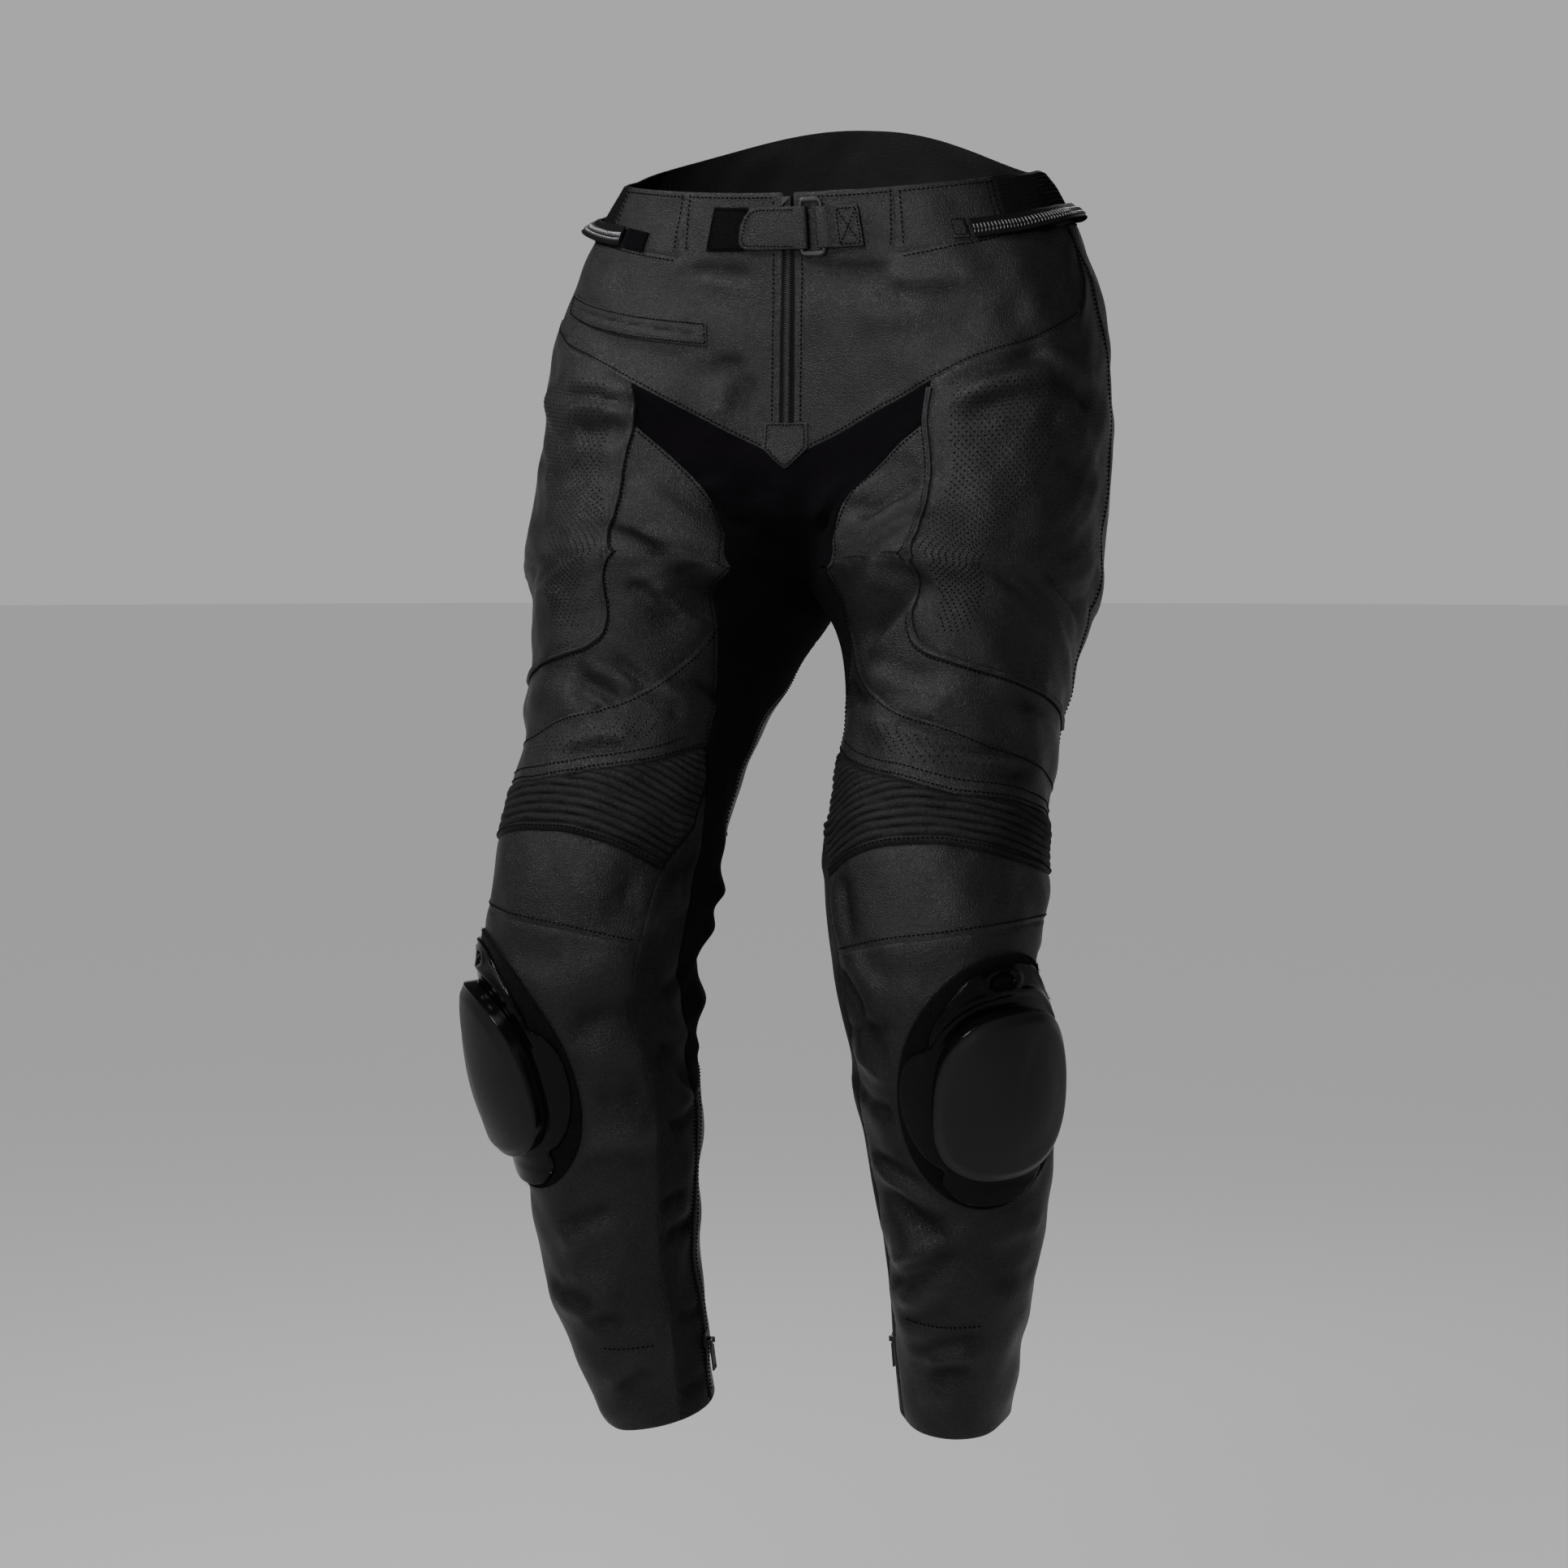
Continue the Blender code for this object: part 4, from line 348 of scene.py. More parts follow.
THIGH_HOLES = ((0.200, 0.140), (0.300, 0.133), (0.375, 0.150), (0.350, 0.203), (0.300, 0.265), (0.285, 0.320),
               (0.245, 0.382), (0.192, 0.384), (0.205, 0.325), (0.198, 0.228), (0.190, 0.160))
BAND_HOLES = ((0.060, 0.428), (0.120, 0.442), (0.180, 0.456), (0.250, 0.467), (0.330, 0.474), (0.352, 0.482),
              (0.240, 0.482), (0.170, 0.470), (0.110, 0.456))
UNEVEN = table(          # waves that leave no stretch of cloth quite flat
    "across down height phase",
    (62, 41, 0.00070, 0.3), (-38, 77, 0.00065, 1.9), (103, -58, 0.00042, 4.1), (25, 118, 0.00050, 2.7),
    (-141, 96, 0.00030, 5.2), (171, 133, 0.00024, 0.9), (12, 33, 0.00080, 3.3),
)


# The form ---------------------------------------------------------------------------------------------

def smooth(value):
    value = np.clip(value, 0, 1)
    return value * value * (3 - 2 * value)


def power(value, exponent):
    return np.sign(value) * np.abs(value) ** exponent


def unit(vectors):
    return vectors / np.maximum(np.linalg.norm(vectors, axis=-1, keepdims=True), 1e-12)


def quarter(vectors):
    """Vectors of the plane, turned a quarter to the left."""
    return np.stack([-vectors[..., 1], vectors[..., 0]], -1)


def reach_along(points):
    """How far along a line each of its points is."""
    steps = np.diff(points, axis=0)
    sizes = np.hypot(*steps.T) if steps.shape[1] == 2 else np.linalg.norm(steps, axis=1)
    return np.concatenate([[0], np.cumsum(sizes)])


def outwards(place, *spot):
    """The outward direction at spots that a place function lays at a height, its last value."""
    return unit(place(*spot, 0.001) - place(*spot, 0.0))


def pocket_line(girth):
    return POCKET_DOWN - POCKET_RISE * girth


def read(rows, name, at, key="down"):
    """A smooth reading of one column between the rows of a table."""
    x = rows[key]
    y = rows[name]
    slope = np.gradient(y, x)
    i = np.clip(np.searchsorted(x, at) - 1, 0, len(x) - 2)
    step = x[i + 1] - x[i]
    t = np.clip((at - x[i]) / step, 0, 1)
    value = y[i] * (1 + 2 * t) * (1 - t) ** 2 + y[i + 1] * t * t * (3 - 2 * t)
    return value + step * (slope[i] * t * (1 - t) ** 2 - slope[i + 1] * t * t * (1 - t))


def torso_share(girth, down):
    """How far a point belongs to the oval round both hips, and not to its leg."""
    rise = np.clip((CROTCH - down) / (CROTCH - HIP), 0, 1)
    edge = np.minimum(girth, 1 - girth)
    at_rise = np.sin(rise * math.pi / 2) ** 0.62
    return smooth(rise) + (at_rise - smooth(rise)) * np.exp(-(edge / 0.09) ** 2)


def leg_row(girth, down):
    even = smooth((down - CROTCH) / EVEN)
    edge = np.minimum(girth, 1 - girth)
    valley = edge * edge / (edge * edge + VALLEY * VALLEY) * (1 + 4 * VALLEY * VALLEY)
    inner = np.arcsin(np.sqrt(np.sin(math.pi * edge))) / math.pi * valley
    eased = np.where(girth < 0.5, inner, 1 - inner)
    turn = 2 * math.pi * (eased + (girth - eased) * even)
    out = -read(LEG, "half_width", down) * np.cos(turn)
    ahead = read(LEG, "half_depth", down) * np.sin(turn)
    yaw = np.radians(read(LEG, "yaw", down))
    pitch = np.radians(read(LEG, "pitch", down))
    centre = np.where(down <= CROTCH, read(LEG, "half_width", down), read(LEG, "x", down))
    x = centre + out * np.cos(yaw) + ahead * np.cos(pitch) * np.sin(yaw)
    y = read(LEG, "y", down) + out * np.sin(yaw) - ahead * np.cos(pitch) * np.cos(yaw)
    z = read(LEG, "z", down) + ahead * np.sin(pitch)
    return np.stack([x, y, z], -1)


def torso_row(girth, down):
    turn = math.pi * girth
    out = read(TORSO, "half_width", down) * power(np.sin(turn), 2 / OVAL)
    ahead = read(TORSO, "half_depth", down) * power(np.cos(turn), 2 / OVAL)
    pitch = np.radians(read(TORSO, "pitch", down))
    sag = read(TORSO, "sag", down) * np.sin(math.pi * girth ** 1.8) ** 2
    y = read(TORSO, "y", down) - ahead * np.cos(pitch)
    z = read(TORSO, "z", down) + ahead * np.sin(pitch) - sag
    return np.stack([out, y, z], -1)


def recess(girth, down):
    front = np.exp(-(girth / RECESS_GIRTH) ** 2)
    back = np.exp(-((1 - girth) / RECESS_GIRTH) ** 2) * smooth((down - 0.24) / (CROTCH - 0.24))
    return read(RECESS, "back", down) * (front + back)


def form(girth, down):
    """Points of the left half, before its folds."""
    girth = np.clip(girth, 0, 1)
    down = np.clip(down, 0, HEM)
    share = torso_share(girth, down)[..., None]
    points = share * torso_row(girth, down) + (1 - share) * leg_row(girth, down)
    points[..., 1] += recess(girth, down)
    return points


def on_side(side, girth, down, points):
    """The left's points, or the right's: mirrored, a little lower at the ankle, higher behind the waist."""
    moved = points * np.array([side, 1, 1])
    behind = np.sin(2 * math.pi * np.clip(girth - 0.5, 0, 0.5)) * (1 - smooth(down / TILT_DOWN))
    moved[..., 2] -= side * WAIST_TILT * behind
    if side == -1:
        moved[..., 2] -= RIGHT_DROP * smooth((down - DROP_FROM) / (HEM - DROP_FROM))
    return moved


def row_lengths():
    down = np.linspace(0, HEM, 200)
    girth = np.linspace(0, 1, 201)
    across, along = np.meshgrid(girth, down)
    steps = np.linalg.norm(np.diff(form(across, along), axis=1), axis=2)
    return down, steps.sum(axis=1)


ROW_DOWN, ROW_LENGTH = row_lengths()


def row_length(down):
    return np.interp(down, ROW_DOWN, ROW_LENGTH)


def ridges(rows, side, girth, down, sharper=1.0):
    """How far a table of folds lifts the cloth of one side, along its normal."""
    total = np.zeros(np.broadcast(girth, down).shape)
    length_here = row_length(down)
    for i in range(len(rows["side"])):
        row = {name: values[i] for name, values in rows.items()}
        if row["side"] not in (0, side):
            continue
        across = row["girth_b"] - row["girth_a"]
        across -= np.round(across)
        middle = row["girth_a"] + across / 2
        level = (row["down_a"] + row["down_b"]) / 2
        off = girth - middle
        off = np.where(down > CROTCH, off - np.round(off), off)
        along = np.array([across * row_length(level), row["down_b"] - row["down_a"]])
        size = np.hypot(*along)
        along = along / size
        x = off * length_here
        y = down - level
        run = (x * along[0] + y * along[1]) / size
        aside = y * along[0] - x * along[1] - row["bow"] * (1 - 4 * run * run)
        fade = np.exp(-(np.maximum(np.abs(run) - 0.32, 0) / 0.16) ** 2)
        total += row["height"] * np.exp(-(aside * sharper / row["width"]) ** 2) * fade
    return total


def room(side, girth, down):
    """0 under the pieces that lie on the cloth, and 1 away from them."""
    slider = np.hypot((girth - slider_axis(down)) / PILE_GIRTH, (down - SLIDER_DOWN) / PILE_DOWN)
    clear = smooth((slider - 1.0) / 0.16)
    strap = np.maximum(np.abs(girth) / 0.135, down / 0.046)
    clear = clear * smooth((strap - 1.0) / 0.15) * smooth(down / 0.014)
    tab = np.maximum(np.abs(girth) / 0.024, np.abs(down - 0.189) / 0.024)
    clear = clear * smooth((tab - 1.0) / 0.3)
    if side == -1:
        across = np.abs(down - pocket_line(girth)) / 0.012
        pocket = np.maximum(np.abs(girth - 0.215) / 0.150, across)
        clear = clear * smooth((pocket - 1.0) / 0.3)
    return clear


def fold_height(side, girth, down):
    """Folds, finer creases and unevenness together."""
    girth, down = np.broadcast_arrays(np.asarray(girth, float), np.asarray(down, float))
    total = ridges(FOLDS, side, girth, down)
    fine = CREASE_GAIN * ridges(CREASES, side, girth, down, CREASE_SHARPER)
    edge = np.minimum(girth, 1 - girth) * row_length(down)
    for i in range(len(UNEVEN["phase"])):
        across, along, height, phase = (UNEVEN[name][i] for name in ("across", "down", "height", "phase"))
        wave = np.sin(across * edge + along * down + phase * (1 + 0.4 * side))
        fine = fine + height * wave * smooth(edge / 0.02)
    return total + fine * room(side, girth, down)


def normal_at(girth, down):
    step = 0.002
    before = np.where(down > CROTCH, (girth - step) % 1, np.clip(girth - step, 0, 1))
    after = np.where(down > CROTCH, (girth + step) % 1, np.clip(girth + step, 0, 1))
    across = form(after, down) - form(before, down)
    below = form(girth, down + step) - form(girth, down - step)
    return unit(np.cross(below, across))


def over(side, girth, down, height):
    """A point at a height over the cloth of one side."""
    girth, down, height = np.broadcast_arrays(*(np.asarray(v, float) for v in (girth, down, height)))
    lift = height + fold_height(side, girth, down)
    points = form(girth, down) + normal_at(girth, down) * lift[..., None]
    return on_side(side, girth, down, points)


def over_either(other, side, girth, down, height):
    """A point over the cloth of one side, or of the other side where told."""
    near, far = (over(way, girth, down, height) for way in (side, -side))
    return np.where(other[..., None], far, near)


def over_front(x, down, height):
    """A point over the front of the waist, x to the left of the centre."""
    girths = np.linspace(0, 0.25, 101)
    reach = form(girths, np.full(101, 0.0245))[:, 0]
    return over_either(x < 0, 1, np.interp(np.abs(x), reach, girths), down, height)


# The pattern ------------------------------------------------------------------------------------------

def flat(points):
    """Girth and down as a plane with nearly true lengths."""
    points = np.asarray(points, float)
    return np.stack([(points[..., 0] - 0.5) * row_length(points[..., 1]), points[..., 1]], -1)


def unflat(points):
    points = np.asarray(points, float)
    return np.stack([points[..., 0] / row_length(points[..., 1]) + 0.5, points[..., 1]], -1)


def lengths(points):
    solid = form(points[:, 0], points[:, 1])
    return np.linalg.norm(np.diff(solid, axis=0), axis=1)


def straight(knots, spacing=SPACING):
    """Points along straight lines between the knots."""
    knots = np.array(knots, float)
    out = [knots[:1]]
    for start, stop in zip(knots[:-1], knots[1:]):
        run = start + (stop - start) * np.linspace(0, 1, 9)[:, None]
        count = max(1, round(lengths(run).sum() / spacing))
        share = np.linspace(0, 1, count + 1)[1:, None]
        out.append(start + (stop - start) * share)
    return np.concatenate(out)


def curved(knots, spacing=SPACING):
    """Points along a smooth curve through the knots, with every knot among them."""
    knots = np.array(knots, float)
    plane = flat(knots)
    reach = reach_along(plane)
    rows = {"reach": reach, "girth": knots[:, 0], "down": knots[:, 1]}
    out = [knots[:1]]
    for i in range(len(knots) - 1):
        count = max(1, round((reach[i + 1] - reach[i]) / spacing))
        at = np.linspace(reach[i], reach[i + 1], count + 1)[1:]
        run = np.stack([read(rows, "girth", at, "reach"), read(rows, "down", at, "reach")], -1)
        run[-1] = knots[i + 1]
        out.append(run)
    return np.concatenate(out)


def seam(name, spacing=0.001):
    knots = SMOOTH_SEAMS.get(name)
    return curved(knots, spacing) if knots else straight(STRAIGHT_SEAMS[name], spacing)


def slider_axis(down):
    return SLIDER_GIRTH + SLIDER_LEAN * (SLIDER_DOWN - down)


def oval(girth_radius, down_radius, squareness, count, share=1.0):
    turn = np.linspace(0, 2 * math.pi, count, endpoint=False)
    down = SLIDER_DOWN + share * down_radius * power(np.sin(turn), 2 / squareness)
    girth = slider_axis(down) + share * girth_radius * power(np.cos(turn), 2 / squareness)
    return np.stack([girth, down], -1)


def base_outline():
    down = BASE_EDGE["down"]
    inner = np.stack([slider_axis(down) - BASE_EDGE["reach"], down], -1)
    outer = np.stack([slider_axis(down) + BASE_EDGE["reach"], down], -1)
    return np.concatenate([inner, outer[-2:0:-1]])


def hole_outline():
    girth, down, half_girth, half_down = HOLE
    turn = np.linspace(0, 2 * math.pi, 10, endpoint=False)
    return np.stack([girth + half_girth * np.cos(turn), down + half_down * np.sin(turn)], -1)


def inside(outline, points):
    """Which points lie inside a closed outline."""
    x, y = points[:, 0], points[:, 1]
    found = np.zeros(len(points), bool)
    for (ax, ay), (bx, by) in zip(outline, np.roll(outline, -1, axis=0)):
        crossing = (ay > y) != (by > y)
        rise = by - ay if by != ay else 1.0
        found ^= crossing & (x < ax + (bx - ax) * (y - ay) / rise)
    return found


def within(rings, points):
    """Which points lie inside the first outline and outside the others."""
    found = inside(rings[0], points)
    for ring in rings[1:]:
        found &= ~inside(ring, points)
    return found


def stretch(seam, start, stop):
    """The points of a seam from one knot to another."""
    line = curved(SMOOTH_SEAMS[seam])
    first = int(np.argmin(np.hypot(*(line - start).T)))
    last = int(np.argmin(np.hypot(*(line - stop).T)))
    return line[first:last + 1]


def accordion_outline():
    top = curved(SMOOTH_SEAMS["accordion_top"])
    low = curved(SMOOTH_SEAMS["accordion_low"])
    outside = stretch("outseam", OUT_BAND, OUT_ACCORDION)
    upper = stretch("gusset_front", BAND_INSIDE, STRIP_TOP)
    lower = stretch("strip_front", STRIP_TOP, ACCORDION_LOW)
    edge = np.concatenate([upper, lower[1:]])[::-1]
    return np.concatenate([top, outside[1:], low[::-1][1:], edge[1:-1]])


def tree_of(points):
    tree = KDTree(len(points))
    for number, (x, y) in enumerate(points):
        tree.insert((x, y, 0), number)
    tree.balance()
    return tree


def gaps(points, tree):
    """The distance from each point of the plane to the nearest point of the tree."""
    return np.array([tree.find((x, y, 0))[2] for x, y in points])


def split_ring(ring, spacing, whole=round):
    """More points along the straight sides of a closed line."""
    out = []
    for start, stop in zip(ring, np.roll(ring, -1, axis=0)):
        count = max(1, whole(float(np.hypot(*(stop - start))) / spacing))
        out.append(start + (stop - start) * (np.arange(count) / count)[:, None])
    return np.concatenate(out)


def staggered(low, high, pitch, rows):
    """Rows of points of the plane, every second row moved along by half a step."""
    out = []
    for number, y in enumerate(rows):
        x = np.arange(low[0] + (number % 2) * pitch / 2, high[0], pitch)
        out.append(np.stack([x, np.full(len(x), y)], -1))
    return np.concatenate(out)


def along_edges(plane, edges, count):
    """So many even points on each of the edges, from its start on."""
    start, stop = plane[edges[:, 0]], plane[edges[:, 1]]
    shares = np.linspace(0, 1, count, endpoint=False)
    return np.concatenate([start + (stop - start) * share for share in shares])


def ribs(girth, spacing=0.001):
    """Where the ribs start, on the accordion's lower seam, and how far apart they are."""
    low = seam("accordion_low", spacing)
    pitch = RIB_PITCH + (RIB_PITCH_OUTSIDE - RIB_PITCH) * np.clip(girth / 0.5, 0, 1)
    return np.interp(girth, low[:, 0], low[:, 1]), pitch


def rib_rows(ring):
    """Rows of points along the ribs, close together across them."""
    girth = np.linspace(-0.01, 0.53, 320)
    base, pitch = ribs(girth, 0.004)
    edge = tree_of(split_ring(ring, 0.0004, int))
    rows = []
    for k in range(1, 20 * RIB_STEPS):
        line = np.stack([girth, base - k * pitch / RIB_STEPS], -1)
        plane = flat(line)
        kept = np.flatnonzero(inside(ring, plane))
        kept = kept[gaps(plane[kept], edge) > 0.0011] if len(kept) else kept
        for run in np.split(kept, np.flatnonzero(np.diff(kept) > 1) + 1):
            if len(run) < 12:
                continue
            count = max(2, round(lengths(line[run]).sum() / SPACING) + 1)
            rows.append(line[run[np.round(np.linspace(0, len(run) - 1, count)).astype(int)]])
    return rows


def triangulate(points, edges):
    """Even triangles that keep to the edges: points, faces, and what each came from."""
    done = delaunay_2d_cdt([tuple(p) for p in points], edges, [], 0, 1e-7, True)
    verts, new_edges, faces, from_verts, from_edges, _ = done
    plane = np.array([tuple(v) for v in verts])
    faces = np.array([tuple(f) for f in faces])
    one = plane[faces[:, 1]] - plane[faces[:, 0]]
    two = plane[faces[:, 2]] - plane[faces[:, 0]]
    turned = one[:, 0] * two[:, 1] - one[:, 1] * two[:, 0] < 0
    faces[turned] = faces[turned][:, ::-1]
    return plane, faces, from_verts, new_edges, from_edges


class Pattern:
    """The half's seams and points, cut into triangles that keep to every seam."""

    def __init__(self):
        self.points = []
        self.index = {}
        self.edges = []
        self.barriers = set()
        for name in list(SMOOTH_SEAMS) + list(STRAIGHT_SEAMS):
            self.add_line(seam(name, SPACING), barrier=True)
        self.seam_edges = list(self.edges)
        self.ring = flat(accordion_outline())
        self.add_outline()
        plane = flat(np.array(self.points))
        self.seam_tree = tree_of(along_edges(plane, np.array(self.seam_edges), 10))
        for line in rib_rows(self.ring):
            self.add_line(line)
        self.fill()
        self.cut()
        self.name_regions()

    def add_point(self, point):
        key = (round(float(point[0]), 7), round(float(point[1]), 7))
        if key not in self.index:
            self.index[key] = len(self.points)
            self.points.append(key)
        return self.index[key]

    def add_line(self, line, barrier=False):
        ids = [self.add_point(point) for point in line]
        for a, b in zip(ids[:-1], ids[1:]):
            if barrier:
                self.barriers.add(len(self.edges))
            self.edges.append((a, b))

    def turn_down(self, line):
        """Counts a line among the seams that have turned edges."""
        ids = [self.add_point(point) for point in line]
        self.seam_edges += zip(ids[:-1], ids[1:])

    def add_outline(self):
        """The centre lines, the waist edge and the hem, with every point where a line meets them."""
        met = np.array(self.points)
        on_front = met[met[:, 0] == 0, 1]
        on_back = met[met[:, 0] == 1, 1]
        inseam = [d for d in np.concatenate([on_front, on_back]) if d > CROTCH]
        for girth, own in ((0.0, on_front), (1.0, on_back)):
            rise = [d for d in own if d < CROTCH]
            stops = np.unique(np.round([0, CROTCH, HEM, *rise, *inseam], 7))
            knots = np.stack([np.full(len(stops), girth), stops], -1)
            line = straight(knots)
            self.add_line(line, barrier=True)
            if girth == 1.0:
                self.turn_down(line[(line[:, 1] > 0.038) & (line[:, 1] < 0.260)])
        for down in (0.0, HEM):
            stops = np.unique([0.0, 1.0, *met[met[:, 1] == down, 0]])
            knots = np.stack([stops, np.full(len(stops), down)], -1)
            line = straight(knots)
            self.add_line(line, barrier=True)
            self.turn_down(line)

    def fill(self):
        """Points beside the seams, and then evenly spaced ones clear of every line."""
        plane = flat(np.array(self.points))
        pairs = np.array(self.seam_edges)
        along = plane[pairs[:, 1]] - plane[pairs[:, 0]]
        middle = plane[pairs[:, 0]] + along / 2
        aside = quarter(along) / np.hypot(*along.T)[:, None]
        beside = np.concatenate([middle + aside * EDGE, middle - aside * EDGE])
        beside = unflat(beside[gaps(beside, self.seam_tree) > EDGE * 0.86])
        beside = beside[(beside[:, 0] > 0.003) & (beside[:, 0] < 0.997)]
        beside = beside[(beside[:, 1] > 0.0008) & (beside[:, 1] < HEM - 0.0008)]
        tree = tree_of(along_edges(plane, np.array(self.edges), 5))
        rows = []
        down = SPACING * 0.6
        while down < HEM:
            count = round(row_length(down) / SPACING)
            girth = (np.arange(count) + 0.5 * (len(rows) % 2)) / count
            rows.append(np.stack([girth, np.full(count, down)], -1))
            down += SPACING * 0.866
        rows = np.concatenate(rows)
        rows = rows[~inside(self.ring, flat(rows))]
        rows = rows[gaps(flat(rows), tree) > SPACING * NEAREST]
        for point in np.concatenate([beside, rows]):
            self.add_point(point)

    def cut(self):
        made = triangulate(flat(np.array(self.points)), self.edges)
        self.plane, self.faces, from_verts, edges, from_edges = made
        self.net = unflat(self.plane)
        for i, sources in enumerate(from_verts):
            if sources:
                self.net[i] = self.points[sources[0]]
        self.walls = {tuple(sorted(edges[i])) for i, sources in enumerate(from_edges)
                      if self.barriers & set(sources)}
        self.gap = gaps(self.plane, self.seam_tree)

    def name_regions(self):
        """Fills outwards from a point inside each region until the seams stop it."""
        beside = {}
        faces = self.faces.tolist()
        for number, face in enumerate(faces):
            for a, b in ((0, 1), (1, 2), (2, 0)):
                beside.setdefault(tuple(sorted((face[a], face[b]))), []).append(number)
        self.region = np.full(len(faces), "", dtype=object)
        centres = self.plane[self.faces].mean(axis=1)
        for name, seeds in REGIONS.items():
            for seed in seeds:
                waiting = [int(np.argmin(np.hypot(*(centres - flat(np.array(seed))).T)))]
                while waiting:
                    number = waiting.pop()
                    if self.region[number]:
                        continue
                    self.region[number] = name
                    face = faces[number]
                    for a, b in ((0, 1), (1, 2), (2, 0)):
                        edge = tuple(sorted((face[a], face[b])))
                        if edge not in self.walls:
                            waiting += [other for other in beside[edge] if other != number]


class Cloth:
    """Both halves joined at the centre lines and inseams, with one normal at every point."""

    def __init__(self, pattern):
        self.pattern = pattern
        self.ids = {1: [], -1: []}
        keys = {}
        places = []
        lifts = []
        for side in (1, -1):
            girths, downs = pattern.net.T
            base = on_side(side, girths, downs, form(girths, downs))
            lift = fold_height(side, girths, downs)
            for i, (girth, down) in enumerate(pattern.net):
                key = self.key(side, i, girth, down)
                if key not in keys:
                    keys[key] = len(places)
                    places.append([])
                    lifts.append([])
                self.ids[side].append(keys[key])
                places[keys[key]].append(base[i])
                lifts[keys[key]].append(lift[i])
            self.ids[side] = np.array(self.ids[side])
        self.base = np.array([np.mean(p, axis=0) for p in places])
        self.lift = np.array([np.mean(v) for v in lifts])
        for key, number in keys.items():
            if key[0] in ("front", "back", "crotch"):
                self.base[number, 0] = 0
        self.points = self.base + self.normals(self.base) * self.lift[:, None]
        self.normal = self.normals(self.points)
        self.plane = np.zeros((len(self.points), 2))
        self.rise = np.zeros(len(self.points))
        rise = self.rise_of(pattern)
        for side in (1, -1):
            self.plane[self.ids[side]] = pattern.plane
            self.rise[self.ids[side]] = rise
        self.top = self.points + self.normal * self.rise[:, None]
        flat_points = [(x, y, 0) for x, y in pattern.plane]
        self.finder = BVHTree.FromPolygons(flat_points, pattern.faces.tolist())

    @staticmethod
    def key(side, number, girth, down):
        if 1e-6 <= girth <= 1 - 1e-6:
            return (side, number)
        if abs(down - CROTCH) < 1e-6:
            return ("crotch",)
        if down > CROTCH:
            return ("inseam", side, round(float(down), 6))
        return ("front" if girth < 0.5 else "back", round(float(down), 6))

    @staticmethod
    def rise_of(pattern):
        """Turned edges beside the seams, and the ribs of the accordion."""
        rise = -GROOVE * (1 - smooth(pattern.gap / EDGE))
        ribbed = np.unique(pattern.faces[pattern.region == "accordion"])
        net = pattern.net[ribbed]
        base, pitch = ribs(net[:, 0])
        phase = (base - net[:, 1]) / pitch
        slow = 0.5 + 0.5 * np.sin(net[:, 0] * 47 + np.floor(phase) * 2.1)
        wobble = 0.06 * np.sin(net[:, 0] * 61 + np.floor(phase) * 1.3)
        share = np.abs(2 * ((phase + wobble) % 1) - 1)
        height = RIB_HEIGHT * (0.84 + 0.22 * slow) * (1 - share ** 2.4)
        rise[ribbed] += (height + 0.0004 * (share - 1)) * smooth((pattern.gap[ribbed] - 0.0004) / 0.0030)
        tape = np.unique(pattern.faces[(pattern.region == "fly_zip") | (pattern.region == "ankle_zip")])
        rise[tape] -= 0.0005 * smooth(pattern.gap[tape] / 0.0015)
        return rise

    def normals(self, points):
        total = np.zeros_like(points)
        for side in (1, -1):
            faces = self.faces(side, self.pattern.region != "")
            a, b, c = (points[faces[:, k]] for k in range(3))
            area = np.cross(b - a, c - a)
            for k in range(3):
                np.add.at(total, faces[:, k], area)
        return unit(total)

    def faces(self, side, chosen):
        """Faces turned outwards. In the plane, down runs the other way from up, so the left's turn over."""
        faces = self.ids[side][self.pattern.faces[chosen]]
        return faces[:, ::-1] if side == 1 else faces

    def at(self, side, net, height=0.0):
        """Points over the cloth, and its normals there. A girth below 0 is on the other side."""
        net = np.asarray(net, float)
        places = np.zeros((len(net), 3))
        normals = np.zeros((len(net), 3))
        positive = np.stack([np.abs(net[:, 0]), net[:, 1]], -1)
        plane = flat(positive)
        for i in range(len(net)):
            spot, _, number, _ = self.finder.find_nearest((plane[i, 0], plane[i, 1], 0))
            corners = self.pattern.faces[number]
            a, b, c = self.pattern.plane[corners]
            one, two, to = b - a, c - a, np.array([spot.x, spot.y]) - a
            size = one[0] * two[1] - one[1] * two[0]
            v = (to[0] * two[1] - to[1] * two[0]) / size
            w = (one[0] * to[1] - one[1] * to[0]) / size
            ids = self.ids[side if net[i, 0] >= 0 else -side][corners]
            shares = np.array([1 - v - w, v, w])
            places[i] = shares @ self.top[ids]
            normals[i] = shares @ self.normal[ids]
        normals = unit(normals)
        return places + normals * np.broadcast_to(height, len(net))[:, None], normals


def spread_over(side, net, height=0.0):
    """Points over the form with its folds and creases. A girth below 0 is on the other side."""
    return over_either(net[:, 0] < 0, side, np.abs(net[:, 0]), net[:, 1], height)


# Looks ------------------------------------------------------------------------------------------------

PEBBLES = 430.0          # of the leather, in a metre


def add_node(tree, kind, settings=None, inputs=None):
    """A shader node. Its inputs are numbers, tuples or the outputs of other nodes."""
    made = tree.nodes.new("ShaderNode" + kind)
    for key, value in (settings or {}).items():
        setattr(made, key, value)
    for key, value in (inputs or {}).items():
        socket = made.inputs[key]
        if isinstance(value, bpy.types.NodeSocket):
            tree.links.new(value, socket)
        else:
            socket.default_value = value
    return made


def calc(tree, operation, one, two=0.0, three=0.0):
    made = add_node(tree, "Math", {"operation": operation}, {0: one, 1: two, 2: three})
    return made.outputs[0]


def remap(tree, value, low, high, to_low, to_high):
    inputs = {"Value": value, "From Min": low, "From Max": high, "To Min": to_low, "To Max": to_high}
    return add_node(tree, "MapRange", {"clamp": True}, inputs).outputs[0]


